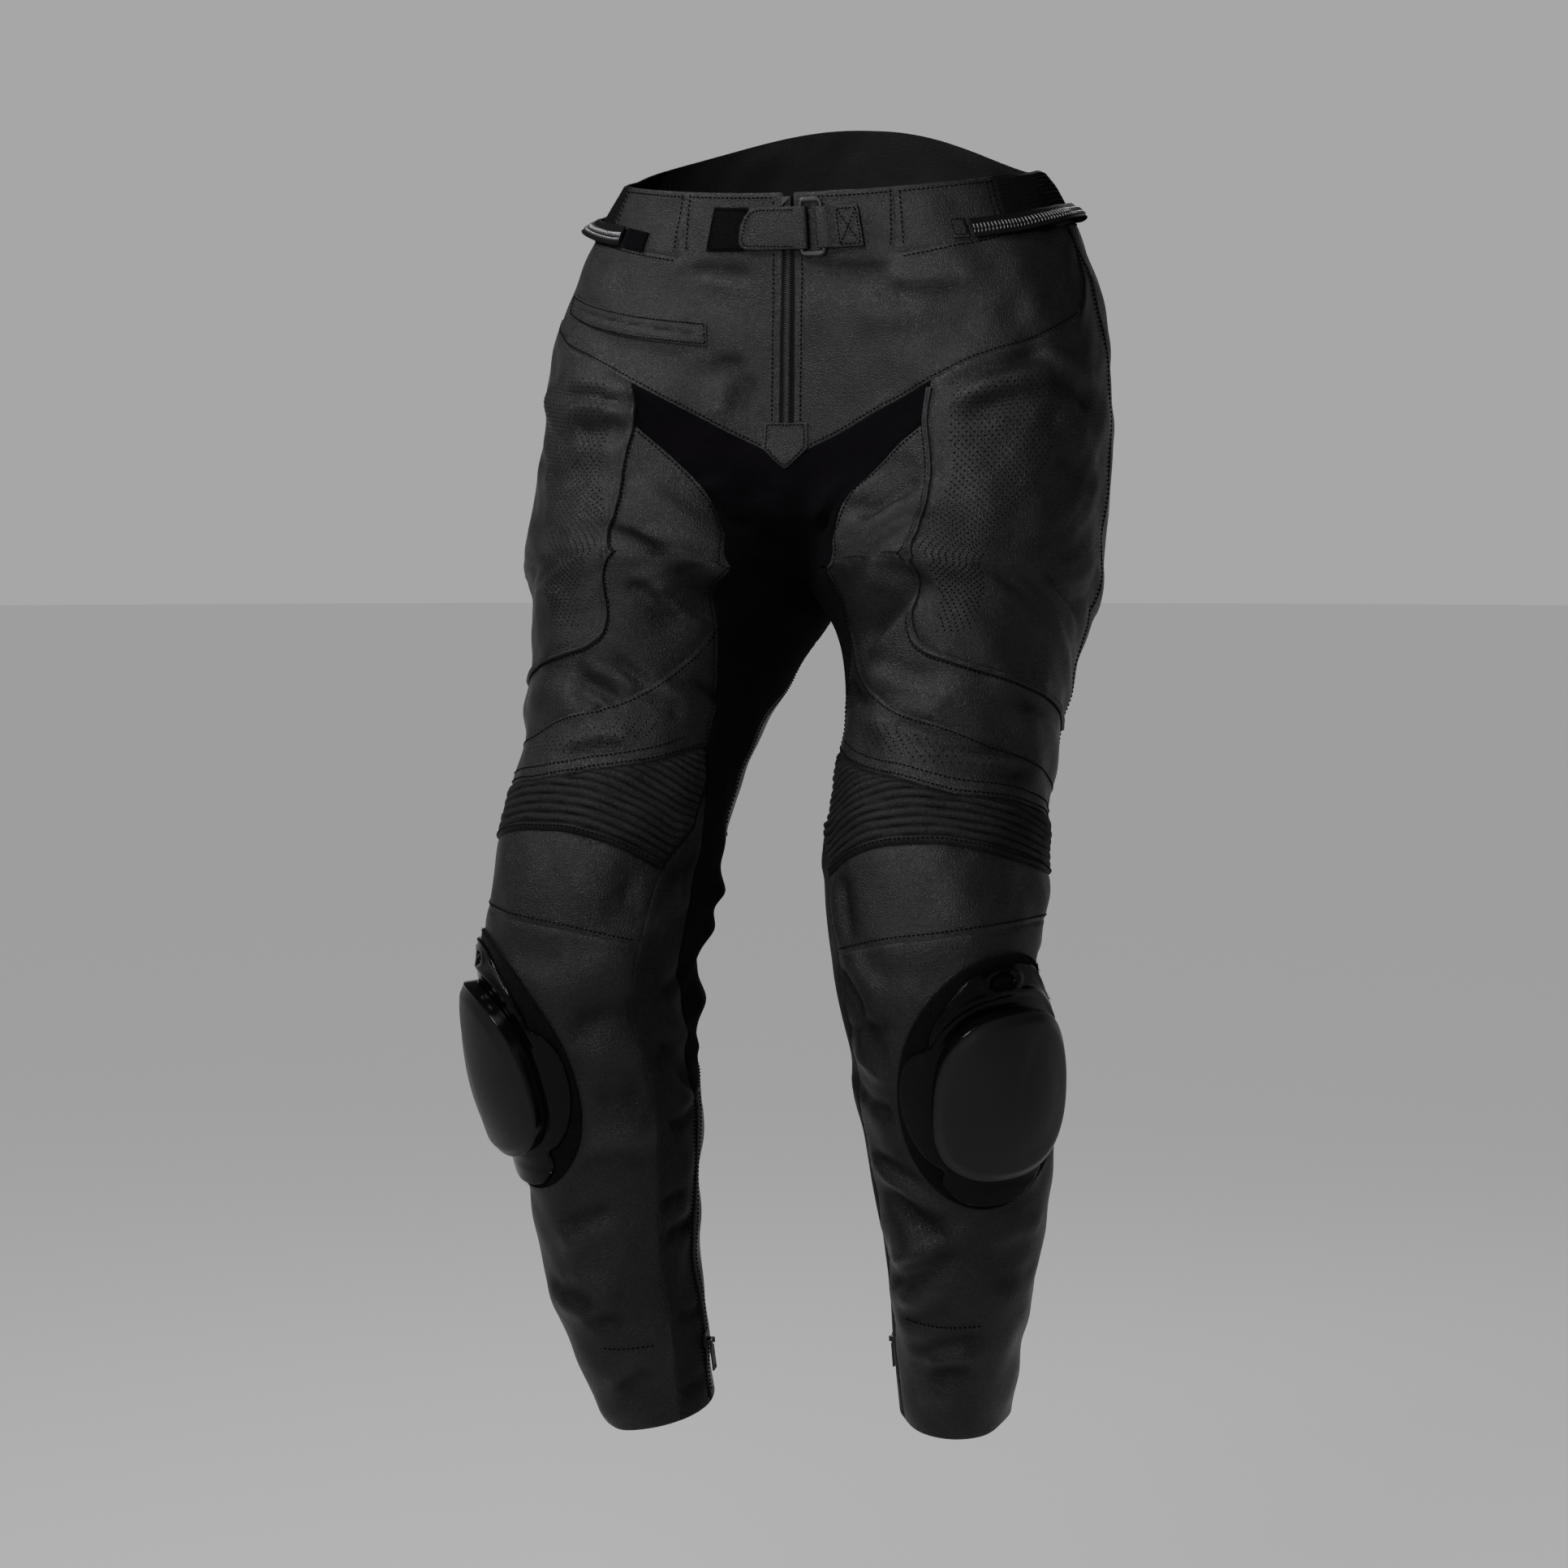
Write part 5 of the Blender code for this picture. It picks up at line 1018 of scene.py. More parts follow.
def noise(tree, where, scale, detail=3.0, rough=0.55):
    inputs = {"Vector": where, "Scale": scale, "Detail": detail, "Roughness": rough}
    return add_node(tree, "TexNoise", None, inputs).outputs["Fac"]


def mottled(tree, scale, detail, low, high, rough=0.55):
    """A noise that goes from one value to another."""
    return remap(tree, noise(tree, place_of(tree), scale, detail, rough), 0.3, 0.7, low, high)


def waves(tree, where, scale, way, distortion=0.0):
    inputs = {"Vector": where, "Scale": scale, "Distortion": distortion}
    return add_node(tree, "TexWave", {"bands_direction": way}, inputs).outputs["Fac"]


def painted(tree, name):
    """A number that the mesh carries for each point."""
    return add_node(tree, "Attribute", {"attribute_name": name}).outputs["Fac"]


def product(tree, *values):
    total = values[0]
    for value in values[1:]:
        total = calc(tree, "MULTIPLY", total, value)
    return total


def cells(tree, where, scale):
    """The distance from the borders of irregular cells."""
    settings = {"feature": "DISTANCE_TO_EDGE"}
    return add_node(tree, "TexVoronoi", settings, {"Vector": where, "Scale": scale}).outputs["Distance"]


def place_of(tree):
    return add_node(tree, "TexCoord").outputs["Object"]


def cut_of(tree):
    return add_node(tree, "UVMap", {"uv_map": "cut"}).outputs["UV"]


def stretched(tree, where, scale):
    return add_node(tree, "Mapping", None, {"Vector": where, "Scale": scale}).outputs["Vector"]


def tinted(tree, colour, factor):
    """A colour made lighter or darker by a factor."""
    inputs = {"Factor": 1.0, 6: (*colour, 1.0), 7: factor}
    made = add_node(tree, "Mix", {"data_type": "RGBA", "blend_type": "MULTIPLY"}, inputs)
    return made.outputs[2]


LOOKS = {}


def add_look(name, colour, shade=None, rough=0.5, height=None, depth=0.0002, specular=0.5, metal=0.0,
             sheen=0.0):
    """A material with its texture and relief. Constants are set straight on the shader."""
    made = LOOKS[name] = bpy.data.materials.new(f"{name}_look")
    made.use_nodes = True
    made.diffuse_color = (*colour, 1)
    tree = made.node_tree
    inputs = tree.nodes["Principled BSDF"].inputs
    for key, value in (("Base Color", (*colour, 1)), ("Specular IOR Level", specular), ("Metallic", metal),
                       ("Sheen Weight", sheen)):
        inputs[key].default_value = value
    if shade is not None:
        tree.links.new(tinted(tree, colour, shade(tree)), inputs["Base Color"])
    if callable(rough):
        tree.links.new(rough(tree), inputs["Roughness"])
    else:
        inputs["Roughness"].default_value = rough
    if height is not None:
        relief = {"Height": height(tree), "Distance": depth}
        tree.links.new(add_node(tree, "Bump", None, relief).outputs[0], inputs["Normal"])


def grain(tree, coarse=PEBBLES):
    """Pebbles of two sizes with fine wrinkles between them."""
    where = place_of(tree)
    stir = add_node(tree, "TexNoise", None, {"Vector": where, "Scale": 90.0, "Detail": 2.0})
    inputs = {0: stir.outputs["Color"], 1: (0.0025, 0.0025, 0.0025), 2: where}
    where = add_node(tree, "VectorMath", {"operation": "MULTIPLY_ADD"}, inputs).outputs[0]
    large = remap(tree, cells(tree, where, coarse), 0.0, 0.22, 0.0, 1.0)
    small = remap(tree, cells(tree, where, coarse * 2.1), 0.0, 0.25, 0.0, 1.0)
    both = calc(tree, "MULTIPLY_ADD", large, 0.62, calc(tree, "MULTIPLY", small, 0.38))
    pores = calc(tree, "MULTIPLY_ADD", noise(tree, where, 150.0, 5.0, 0.6), 0.9, both)
    return calc(tree, "MULTIPLY_ADD", noise(tree, where, 34.0, 3.0, 0.5), 2.4, pores)


def wear_and_painted_shade(tree):
    """Tone: lighter rubbed seam edges, dark pores, painted highlight on crests, painted shade in hollows and
    inner side.
    """
    slow = mottled(tree, 7.0, 4.0, 0.72, 1.30)
    fine = mottled(tree, 420.0, 2.0, 0.78, 1.24)
    rubbed = remap(tree, painted(tree, "seam"), 0.0006, 0.0022, 1.35, 1.0)
    # painted highlight on the crests of creases and ribs, and painted shade in their hollows
    raised = remap(tree, painted(tree, "painted_crease_shading"), -0.0024, 0.0024, 0.42, 1.50)
    pores = remap(tree, cells(tree, place_of(tree), PEBBLES), 0.0, 0.16, 0.50, 1.12)
    # painted shade: the inner side of the leather is darkened
    outer = calc(tree, "MULTIPLY_ADD", painted(tree, "lining"), -0.7, 1.0)
    return product(tree, slow, fine, rubbed, raised, pores, outer)


def plain_shade(tree):
    return mottled(tree, 160.0, 3.0, 0.82, 1.18)


def leather_rough(tree):
    outer = mottled(tree, 22.0, 5.0, 0.34, 0.48)
    return calc(tree, "MULTIPLY_ADD", painted(tree, "lining"), 0.35, outer)


def soft_rough(tree):
    return mottled(tree, 40.0, 5.0, 0.46, 0.62)


def soft_height(tree):
    wrinkles = noise(tree, stretched(tree, cut_of(tree), (260.0, 90.0, 1.0)), 1.0, 5.0, 0.6)
    return calc(tree, "MULTIPLY_ADD", wrinkles, 1.4, calc(tree, "MULTIPLY", grain(tree, 620.0), 0.6))


def knit_height(tree):
    """Fine ribs of stretch cloth with its weave across them."""
    where = stretched(tree, cut_of(tree), (1500.0, 1500.0, 1.0))
    ribbed = waves(tree, where, 0.6, "X", 1.2)
    weave = waves(tree, where, 0.9, "Y", 2.0)
    fuzz = noise(tree, place_of(tree), 1300.0, 3.0)
    return calc(tree, "ADD", calc(tree, "MULTIPLY_ADD", weave, 0.5, ribbed), fuzz)


def fuzz_height(tree):
    return noise(tree, place_of(tree), 900.0, 4.0, 0.7)


def fuzz_shade(tree):
    return mottled(tree, 700.0, 4.0, 0.35, 1.7, 0.7)


def tape_height(tree):
    return waves(tree, cut_of(tree), 420.0, "DIAGONAL")


def puck_rough(tree):
    """Satin on the face and glossy on the wall."""
    fine = mottled(tree, 300.0, 3.0, 0.36, 0.44)
    return calc(tree, "MULTIPLY_ADD", painted(tree, "wall"), -0.26, fine)


def puck_shade(tree):
    slow = mottled(tree, 30.0, 4.0, 0.9, 1.1)
    return product(tree, slow, calc(tree, "MULTIPLY_ADD", painted(tree, "wall"), -0.6, 1.0))


def scuffed_rough(tree):
    scratches = noise(tree, stretched(tree, place_of(tree), (900.0, 160.0, 160.0)), 1.0, 4.0, 0.6)
    return remap(tree, scratches, 0.35, 0.7, 0.36, 0.56)


def gloss_rough(tree):
    return remap(tree, noise(tree, place_of(tree), 60.0, 4.0), 0.35, 0.7, 0.10, 0.24)


# both leather looks carry painted highlight and shade along creases, and painted shade on the inner side
add_look("leather", (0.0085, 0.0085, 0.0089), wear_and_painted_shade, leather_rough, grain, 0.00034, specular=0.19)
add_look("leather_soft", (0.0090, 0.0090, 0.0094), wear_and_painted_shade, soft_rough, soft_height, 0.00030, specular=0.07)
add_look("stretch_textile", (0.0030, 0.0022, 0.0032), plain_shade, 0.92, knit_height, 0.00022, specular=0.06)
add_look("stretch_web", (0.0032, 0.0032, 0.0034), plain_shade, 0.70, fuzz_height, 0.00012, specular=0.07)
add_look("loop_pile", (0.0032, 0.0032, 0.0034), fuzz_shade, 0.95, fuzz_height, 0.0006, specular=0.05,
         sheen=0.02)
add_look("zip_tape", (0.0034, 0.0034, 0.0036), plain_shade, 0.85, tape_height, 0.00012, specular=0.08)
add_look("coil", (0.012, 0.012, 0.0125), plain_shade, 0.35, specular=0.35)
add_look("bright_coil", (0.14, 0.14, 0.145), plain_shade, 0.32, metal=0.85)
add_look("gloss_plastic", (0.0022, 0.0022, 0.0024), plain_shade, gloss_rough, specular=0.10)
add_look("satin_plastic", (0.0072, 0.0072, 0.0076), puck_shade, puck_rough, fuzz_height, 0.00004,
         specular=0.17)
add_look("dark_metal", (0.032, 0.032, 0.034), plain_shade, scuffed_rough, metal=1.0)
add_look("thread", (0.0014, 0.0014, 0.0016), plain_shade, 0.80, specular=0.05)
# near-black disc laid in each perforation: painted shade in place of the hole's depth
add_look("hole", (0.0008, 0.0008, 0.0008), None, 0.95, specular=0.02)


# Meshes -----------------------------------------------------------------------------------------------

def add_object(name, data):
    made = bpy.data.objects.new(name, data)
    bpy.context.scene.collection.objects.link(made)
    return made


def add_mesh(name, points, faces, shade, plane=None, values=None, crease=40):
    """A smoothly shaded object. Its place in the cut, in metres, is its texture layer."""
    mesh = bpy.data.meshes.new(name)
    mesh.from_pydata(np.asarray(points, float).tolist(), [], [tuple(int(i) for i in f) for f in faces])
    mesh.update()
    if plane is not None:
        corners = np.empty(len(mesh.loops), dtype=np.int32)
        mesh.loops.foreach_get("vertex_index", corners)
        layer = mesh.uv_layers.new(name="cut")
        layer.data.foreach_set("uv", np.asarray(plane, np.float32)[corners].ravel())
    values = dict(values or {})
    values.setdefault("seam", np.full(len(points), 0.01))
    values.setdefault("lining", np.zeros(len(points)))
    for title, numbers in values.items():
        layer = mesh.attributes.new(title, "FLOAT", "POINT")
        layer.data.foreach_set("value", np.asarray(numbers, np.float32))
    mesh.shade_smooth()
    mesh.set_sharp_from_angle(angle=math.radians(crease))
    mesh.materials.append(LOOKS[shade])
    return add_object(name, mesh)


def border(faces):
    """The directed edges that only one face has."""
    edges = np.concatenate([faces[:, [0, 1]], faces[:, [1, 2]], faces[:, [2, 0]]]).astype(np.int64)
    size = edges.max() + 1
    forward = edges[:, 0] * size + edges[:, 1]
    backward = edges[:, 1] * size + edges[:, 0]
    return edges[~np.isin(forward, backward)]


def seam_moves(points, normal, edges, distance):
    """How far each border point moves in from its seam."""
    aside = unit(np.cross(normal[edges[:, 0]], points[edges[:, 1]] - points[edges[:, 0]]))
    total = np.zeros_like(points)
    np.add.at(total, edges[:, 0], aside)
    np.add.at(total, edges[:, 1], aside)
    half = (total ** 2).sum(axis=1, keepdims=True) / 2
    return total / np.maximum(half, 0.12) * distance * (half > 0)


def closed_shell(name, outer, inner, faces, shade, plane=None, values=None, crease=40):
    """A skin, its lining and the rim between them."""
    used, index = np.unique(faces, return_inverse=True)
    own = index.reshape(faces.shape)
    count = len(used)
    rim = border(own)
    sides = np.stack([rim[:, 1], rim[:, 0], rim[:, 0] + count, rim[:, 1] + count], -1)
    every = own.tolist() + (own[:, ::-1] + count).tolist() + sides.tolist()
    points = np.concatenate([outer[used], inner[used]])
    doubled = None if plane is None else np.concatenate([plane[used]] * 2)
    kept = {title: np.concatenate([numbers[used]] * 2) for title, numbers in (values or {}).items()}
    # marks the inner face, which the leather look darkens as painted shade and makes rougher
    kept["lining"] = np.repeat([0.0, 1.0], count)
    return add_mesh(name, points, every, shade, doubled, kept, crease)


def volume(points, faces):
    total = 0.0
    for face in faces:
        for k in range(1, len(face) - 1):
            total += np.dot(points[face[0]], np.cross(points[face[k]], points[face[k + 1]]))
    return total / 6


def ring_faces(count, size):
    """Four-sided faces between rings of points, each ring after the one before."""
    i, k = np.divmod(np.arange((count - 1) * size), size)
    m = (k + 1) % size
    return np.stack([i * size + k, i * size + m, (i + 1) * size + m, (i + 1) * size + k], -1)


def repeated(faces, times, size):
    """The faces of many like pieces, each of so many points."""
    faces = np.array(faces)
    return (faces[None] + np.arange(times)[:, None, None] * size).reshape(-1, faces.shape[1])


def loft(name, rings, shade, values=None, crease=40):
    """A closed skin over rings of points, with flat ends."""
    rings = np.asarray(rings, float)
    count, size = rings.shape[:2]
    last = (count - 1) * size
    faces = ring_faces(count, size).tolist() + [list(range(size))[::-1], list(range(last, last + size))]
    points = rings.reshape(-1, 3)
    if volume(points, faces) < 0:
        faces = [f[::-1] for f in faces]
    return add_mesh(name, points, faces, shade, None, values, crease)


def add_capsules(name, groups, shade, radius, sink=0.35, lift=0.55):
    """Many short round-ended bars on a surface, from groups of starts, stops and outward directions."""
    starts, stops, outs = (np.concatenate([group[i] for group in groups]) for i in range(3))
    along = stops - starts
    aside = unit(np.cross(outs, along))
    rings = []
    for share, size, height in ((0.0, 0.35, -sink), (0.20, 1.0, lift), (0.80, 1.0, lift), (1.0, 0.35, -sink)):
        centre = starts + along * share + outs * radius * height
        for one, two in ((1, 0), (0, 1), (-1, 0), (0, -1)):
            rings.append(centre + (aside * one + outs * two) * radius * size)
    faces = ring_faces(4, 4).tolist() + [[3, 2, 1, 0], [12, 13, 14, 15]]
    faces = repeated(faces, len(starts), 16)[:, ::-1]
    dress(add_mesh(name, np.stack(rings, 1).reshape(-1, 3), faces, shade, crease=180))


def evenly(points, pitch):
    """How far along a line each of its points is, and the middles of even steps along it."""
    reach = reach_along(points)
    count = max(1, int(reach[-1] / pitch))
    return reach, (np.arange(count) + 0.5) * reach[-1] / count


def stitched(place, line, pitch=PITCH):
    """Stitches along a line of girths and downs, laid with a place function."""
    line = np.asarray(line, float)
    reach, middle = evenly(place(line, 0.0), pitch)
    first, last = (np.stack([np.interp(at, reach, column) for column in line.T], -1)
                   for at in (middle - STITCH / 2, middle + STITCH / 2))
    return place(first, 0.0), place(last, 0.0), outwards(place, (first + last) / 2)


def dense(knots, step=0.001):
    """Points along straight lines of the plane between knots of girth and down."""
    plane = flat(np.array(knots, float))
    out = [plane[:1]]
    for start, stop in zip(plane[:-1], plane[1:]):
        count = max(1, int(np.hypot(*(stop - start)) / step))
        out.append(start + (stop - start) * (np.arange(1, count + 1) / count)[:, None])
    return unflat(np.concatenate(out))


def beside(line, offset):
    """A line moved aside in the plane. A positive offset is below a line that runs outwards."""
    plane = flat(line)
    return unflat(plane + quarter(unit(np.gradient(plane, axis=0))) * offset)


def trimmed(line, low, high):
    reach = np.linspace(0, 1, len(line))
    return line[(reach >= low) & (reach <= high)]


# Cut pieces -------------------------------------------------------------------------------------------

THICKNESS = {
    "waist_side": LEATHER + 0.0002, "waist_elastic": WEB, "waistband_back": LEATHER + 0.0002,
    "fly_zip": ZIP_TAPE, "gusset": TEXTILE, "ankle_zip": ZIP_TAPE, "accordion": LEATHER,
}
REGION_LOOK = {
    "waist_elastic": "stretch_web", "fly_zip": "zip_tape", "gusset": "stretch_textile",
    "ankle_zip": "zip_tape", "calf_strip": "leather_soft", "accordion": "leather_soft",
}
FLAT_SIZES = {"gusset": (0.56, 0.56)}


def side_name(side):
    return "left" if side == 1 else "right"


def dress(piece, node=None):
    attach(piece, "trousers")
    if node:
        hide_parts(node)
    return piece


def areas(points, faces):
    """The area of all the faces together."""
    a, b, c = (points[faces[:, k]] for k in range(3))
    return float(np.linalg.norm(np.cross(b - a, c - a), axis=1).sum() / 2)


def smallest_box(plane):
    """The sides of the smallest rectangle a flat piece can be cut from."""
    best = None
    for turn in np.radians(np.arange(0, 90, 3)):
        one = np.ptp(plane @ np.array([math.cos(turn), math.sin(turn)]))
        two = np.ptp(plane @ np.array([-math.sin(turn), math.cos(turn)]))
        if best is None or one * two < best[0] * best[1]:
            best = (one, two)
    return best


def cut_size(cloth, name, side_faces, sides):
    """The width, length and area a piece was cut to, from the smooth form under its folds."""
    pattern = cloth.pattern
    own = pattern.faces[pattern.region == name]
    net = pattern.net[np.unique(own)]
    girth = net[:, 0].copy()
    if girth.min() < 0.1 and girth.max() > 0.9:
        girth[girth > 0.5] -= 1
    area = sum(areas(cloth.base, faces) for faces in side_faces)
    wider = area / len(sides) / areas(np.pad(pattern.plane, ((0, 0), (0, 1))), own)
    plane = np.stack([girth * row_length(net[:, 1]) * wider, net[:, 1]], -1)
    width, length = smallest_box(plane) if len(sides) == 1 else np.ptp(plane, axis=0) * np.array([2, 1])
    width, length = FLAT_SIZES.get(name, (width, length))
    return float(width), float(length), float(min(area, width * length))


def crease_shading_heights(cloth):
    """How high each point stands on a crease or rib. Crests get a painted highlight and hollows painted
    shade.
    """
    pattern = cloth.pattern
    girth, down = pattern.net.T
    ribbed = np.unique(pattern.faces[pattern.region == "accordion"])
    painted_crease_shading = np.zeros(len(cloth.points))
    for side in (1, -1):
        painted_crease_shading[cloth.ids[side]] = ridges(CREASES, side, girth, down) * room(side, girth, down)
        ribs = cloth.ids[side][ribbed]
        painted_crease_shading[ribs] = (cloth.rise[ribs] - RIB_HEIGHT / 2) * 1.6
    return painted_crease_shading


def add_panels(cloth):
    pattern = cloth.pattern
    seam_gap = np.zeros(len(cloth.points))
    for side in (1, -1):
        seam_gap[cloth.ids[side]] = pattern.gap
    # heights for the painted highlight on crease crests and the painted shade in their hollows
    painted_crease_shading = crease_shading_heights(cloth)
    for name in REGIONS:
        chosen = pattern.region == name
        thickness = THICKNESS.get(name, LEATHER)
        shade = REGION_LOOK.get(name, "leather")
        groups = [(1, -1)] if name in JOINED_REGIONS else [(1,), (-1,)]
        for sides in groups:
            title = name if len(sides) == 2 else f"{name}_{side_name(sides[0])}"
            side_faces = [cloth.faces(side, chosen) for side in sides]
            faces = np.concatenate(side_faces)
            moves = seam_moves(cloth.points, cloth.normal, border(faces), SEAM_GAP / 2)
            inner = cloth.points + moves - cloth.normal * thickness
            piece = closed_shell(f"cloth_{title}", cloth.top + moves, inner, faces, shade, cloth.plane,
                                 {"seam": seam_gap, "painted_crease_shading": painted_crease_shading}, 50)
            dress(piece, title)
            if name not in ("fly_zip", "ankle_zip"):
                width, length, area = cut_size(cloth, name, side_faces, sides)


def rounded(ring, steps=6):
    """A smooth closed curve through the points of a ring."""
    a, b, c, d = (np.roll(ring, 1 - k, axis=0)[:, None] for k in range(4))
    t = (np.arange(steps) / steps)[None, :, None]
    out = 2 * b + (c - a) * t + (2 * a - 5 * b + 4 * c - d) * t ** 2 + (3 * b - a - 3 * c + d) * t ** 3
    return (out / 2).reshape(-1, 2)


def patch(ring, spacing, holes=()):
    """Triangles over a piece of the plane: points, faces and each point's distance from the edge."""
    inset = (0.0005, 0.0013)
    rings = [split_ring(np.asarray(line, float), spacing) for line in (ring, *holes)]
    points = []
    edges = []
    for line in rings:
        start = len(points)
        points += [tuple(p) for p in line]
        edges += [(start + i, start + (i + 1) % len(line)) for i in range(len(line))]
    samples = tree_of(np.concatenate([split_ring(line, 0.0004) for line in rings]))
    extra = []
    for line in rings:
        following = np.roll(line, -1, axis=0)
        along = following - line
        aside = quarter(along) / np.maximum(np.hypot(*along.T), 1e-12)[:, None]
        middle = (line + following) / 2
        for distance in inset:
            for way in (1, -1):
                moved = middle + aside * distance * way
                extra.append(moved[gaps(moved, samples) > distance * 0.85])
    low, high = rings[0].min(axis=0), rings[0].max(axis=0)
    rows = [low[1] + spacing * 0.3]
    while rows[-1] < high[1]:
        rows.append(rows[-1] + spacing * 0.866)
    grid = staggered(low, high, spacing, rows[:-1])
    extra.append(grid[gaps(grid, samples) > inset[-1] + spacing * 0.45])
    extra = np.concatenate(extra)
    extra = extra[within(rings, extra)]
    plane, faces, *_ = triangulate(np.concatenate([np.array(points), extra]), edges)
    kept = within(rings, plane[faces].mean(axis=1))
    return plane, faces[kept], gaps(plane, samples)


def add_patch(name, side, outline, spacing, low, high, shade, node, holes=(), sheet=True, turned=0.0006):
    """A piece that lies on the cloth between two heights, with a rounded edge. Heights may be functions."""
    ring = flat(np.asarray(outline, float))
    plane, faces, edge = patch(ring, spacing, [flat(np.asarray(hole, float)) for hole in holes])
    net = unflat(plane)
    top = high(net, edge) if callable(high) else np.full(len(net), high)
    round_off = (1 - np.sqrt(np.clip(1 - (1 - np.clip(edge / turned, 0, 1)) ** 2, 0, 1))) * turned
    outer = spread_over(side, net, top - round_off)
    inner = spread_over(side, net, np.full(len(net), low))
    if side == 1:
        faces = faces[:, ::-1]
    piece = closed_shell(name, outer, inner, faces, shade, plane, {"seam": edge})
    dress(piece, node)
    if sheet:
        solid = areas(inner, faces)
        width, length = (float(v) for v in np.ptp(plane[np.unique(faces)], axis=0))
        width *= solid / areas(np.pad(plane, ((0, 0), (0, 1))), faces)
    return piece


def add_piping(side):
    """A leather cord of two ridges sewn along the seam between the thigh's panels."""
    line = trimmed(seam("piped", 0.0015), 0.010, 0.990)
    profile = ((-2.6, -0.4), (-2.55, 0.6), (-2.1, 1.7), (-1.45, 2.2), (-0.8, 1.9), (-0.3, 1.7), (0.4, 2.4),
               (1.1, 2.8), (1.8, 2.5), (2.4, 1.5), (2.6, 0.5), (2.6, -0.4))
    rings = []
    reach = np.arange(len(line)) * 0.0015
    swell = 1 + 0.05 * np.sin(reach * 310) + 0.05 * np.sin(reach * 173 + 1)
    for offset, height in profile:
        moved = beside(line, offset * 0.001)
        rings.append(over(side, *moved.T, height * 0.001 * (swell if height > 1 else 1)))
    rings = np.stack(rings, 1)
    gap = np.tile([0.0, 0.0, 0.001, 0.01, 0.002, 0.0, 0.002, 0.01, 0.01, 0.001, 0.0, 0.0], len(line))
    piece = loft(f"cord_piping_{side_name(side)}", rings, "leather", values={"seam": gap}, crease=80)
    return dress(piece, f"piping_{side_name(side)}")


# Knee sliders -----------------------------------------------------------------------------------------

def slider_reach(net):
    """0 in the middle of the slider and 1 on the outline of its puck, with both coordinates."""
    across = (net[:, 0] - slider_axis(net[:, 1])) / PUCK_GIRTH
    below = (net[:, 1] - SLIDER_DOWN) / PUCK_DOWN
    out = (np.abs(across) ** PUCK_OVAL + np.abs(below) ** PUCK_OVAL) ** (1 / PUCK_OVAL)
    return out, across, below


def puck_height(net):
    """Rises from the rim over the bevel to the crown, with a soft facet across the face."""
    reach, across, below = slider_reach(net)
    reach = np.clip(reach, 0, 1)
    bevel = smooth((1 - reach) / (1 - PUCK_FACE)) * PUCK_BEVEL
    dome = (1 - (np.minimum(reach, PUCK_FACE) / PUCK_FACE) ** 2) * (PUCK_CROWN - PUCK_RIM - PUCK_BEVEL)
    line = -0.05 + 0.50 * (below + 0.15) ** 2 - 0.16 * below
    facet = smooth((across - line) / 0.22 + 0.5) * (1 - smooth((reach - 0.62) / 0.30))
    return PUCK_RIM + bevel + dome - 0.0011 * facet


def puck_points(side, net, height):
    """Points over the base plate, moved out along its own middle direction as much as the cloth's."""
    lift = LAID_GAP + PILE + LAID_GAP + BASE + LAID_GAP
    low = over(side, *net.T, lift)
    out = normal_at(*net.T) * np.array([side, 1, 1])
    middle = normal_at(np.array([SLIDER_GIRTH]), np.array([SLIDER_DOWN]))[0] * np.array([side, 1, 1])
    return low + unit(out * 0.5 + middle * 0.5) * np.asarray(height)[..., None]


def add_puck(side):
    around = 120
    shares = np.concatenate([np.full(5, 1.0), [0.998, 0.990, 0.975, 0.955, 0.93, 0.90, 0.87, 0.84],
                             np.linspace(0.80, 0.04, 22)])
    rise = np.array([0.0, 0.10, 0.35, 0.65, 0.90, 0.985])
    rings = []
    walls = []
    for number, share in enumerate(shares):
        net = oval(PUCK_GIRTH, PUCK_DOWN, PUCK_OVAL, around, share)
        height = puck_height(net)
        if number < len(rise):
            height = PUCK_RIM * np.full(around, rise[number])
        swell = 0.0016 * math.sin(math.pi * min(number / 5, 1)) if number < 5 else 0.0
        net = oval(PUCK_GIRTH, PUCK_DOWN, PUCK_OVAL, around, share + swell)
        rings.append(puck_points(side, net, height))
        walls.append(np.full(around, 1.0 if number < len(rise) + 1 else 0.0))
    foot = oval(PUCK_GIRTH, PUCK_DOWN, PUCK_OVAL, around, 0.9)
    rings.insert(0, puck_points(side, foot, np.zeros(around)))
    walls.insert(0, np.full(around, 1.0))
    title = side_name(side)
    piece = loft(f"puck_{title}", np.array(rings), "satin_plastic", values={"wall": np.concatenate(walls)},
                 crease=50)
    dress(piece, f"slider_puck_{title}")


def base_height(net, edge):
    """The plate's face, with a bead along its edge, a ring round its hole and an arc above the puck."""
    reach, _, below = slider_reach(net)
    high = np.full(len(net), LAID_GAP + PILE + LAID_GAP + BASE)
    girth, down, half_girth, half_down = HOLE
    ring = np.hypot((net[:, 0] - girth) / half_girth, (net[:, 1] - down) / half_down)
    bead = 0.0009 * np.exp(-((edge - 0.0018) / 0.0010) ** 2) * (below < -0.66) * (ring > 2.4)
    lip = 0.0012 * np.exp(-((ring - 1.45) / 0.28) ** 2)
    arc = 0.0016 * np.exp(-((reach - 1.16) / 0.035) ** 2) * smooth((-0.35 - below) / 0.2)
    well = 0.0010 * smooth((reach - 1.02) / 0.06)
    lobe = 0.0012 * smooth((below - 1.16) / 0.12)
    return high + bead + lip + arc - 0.0006 + well * 0.6 + lobe * 0.5


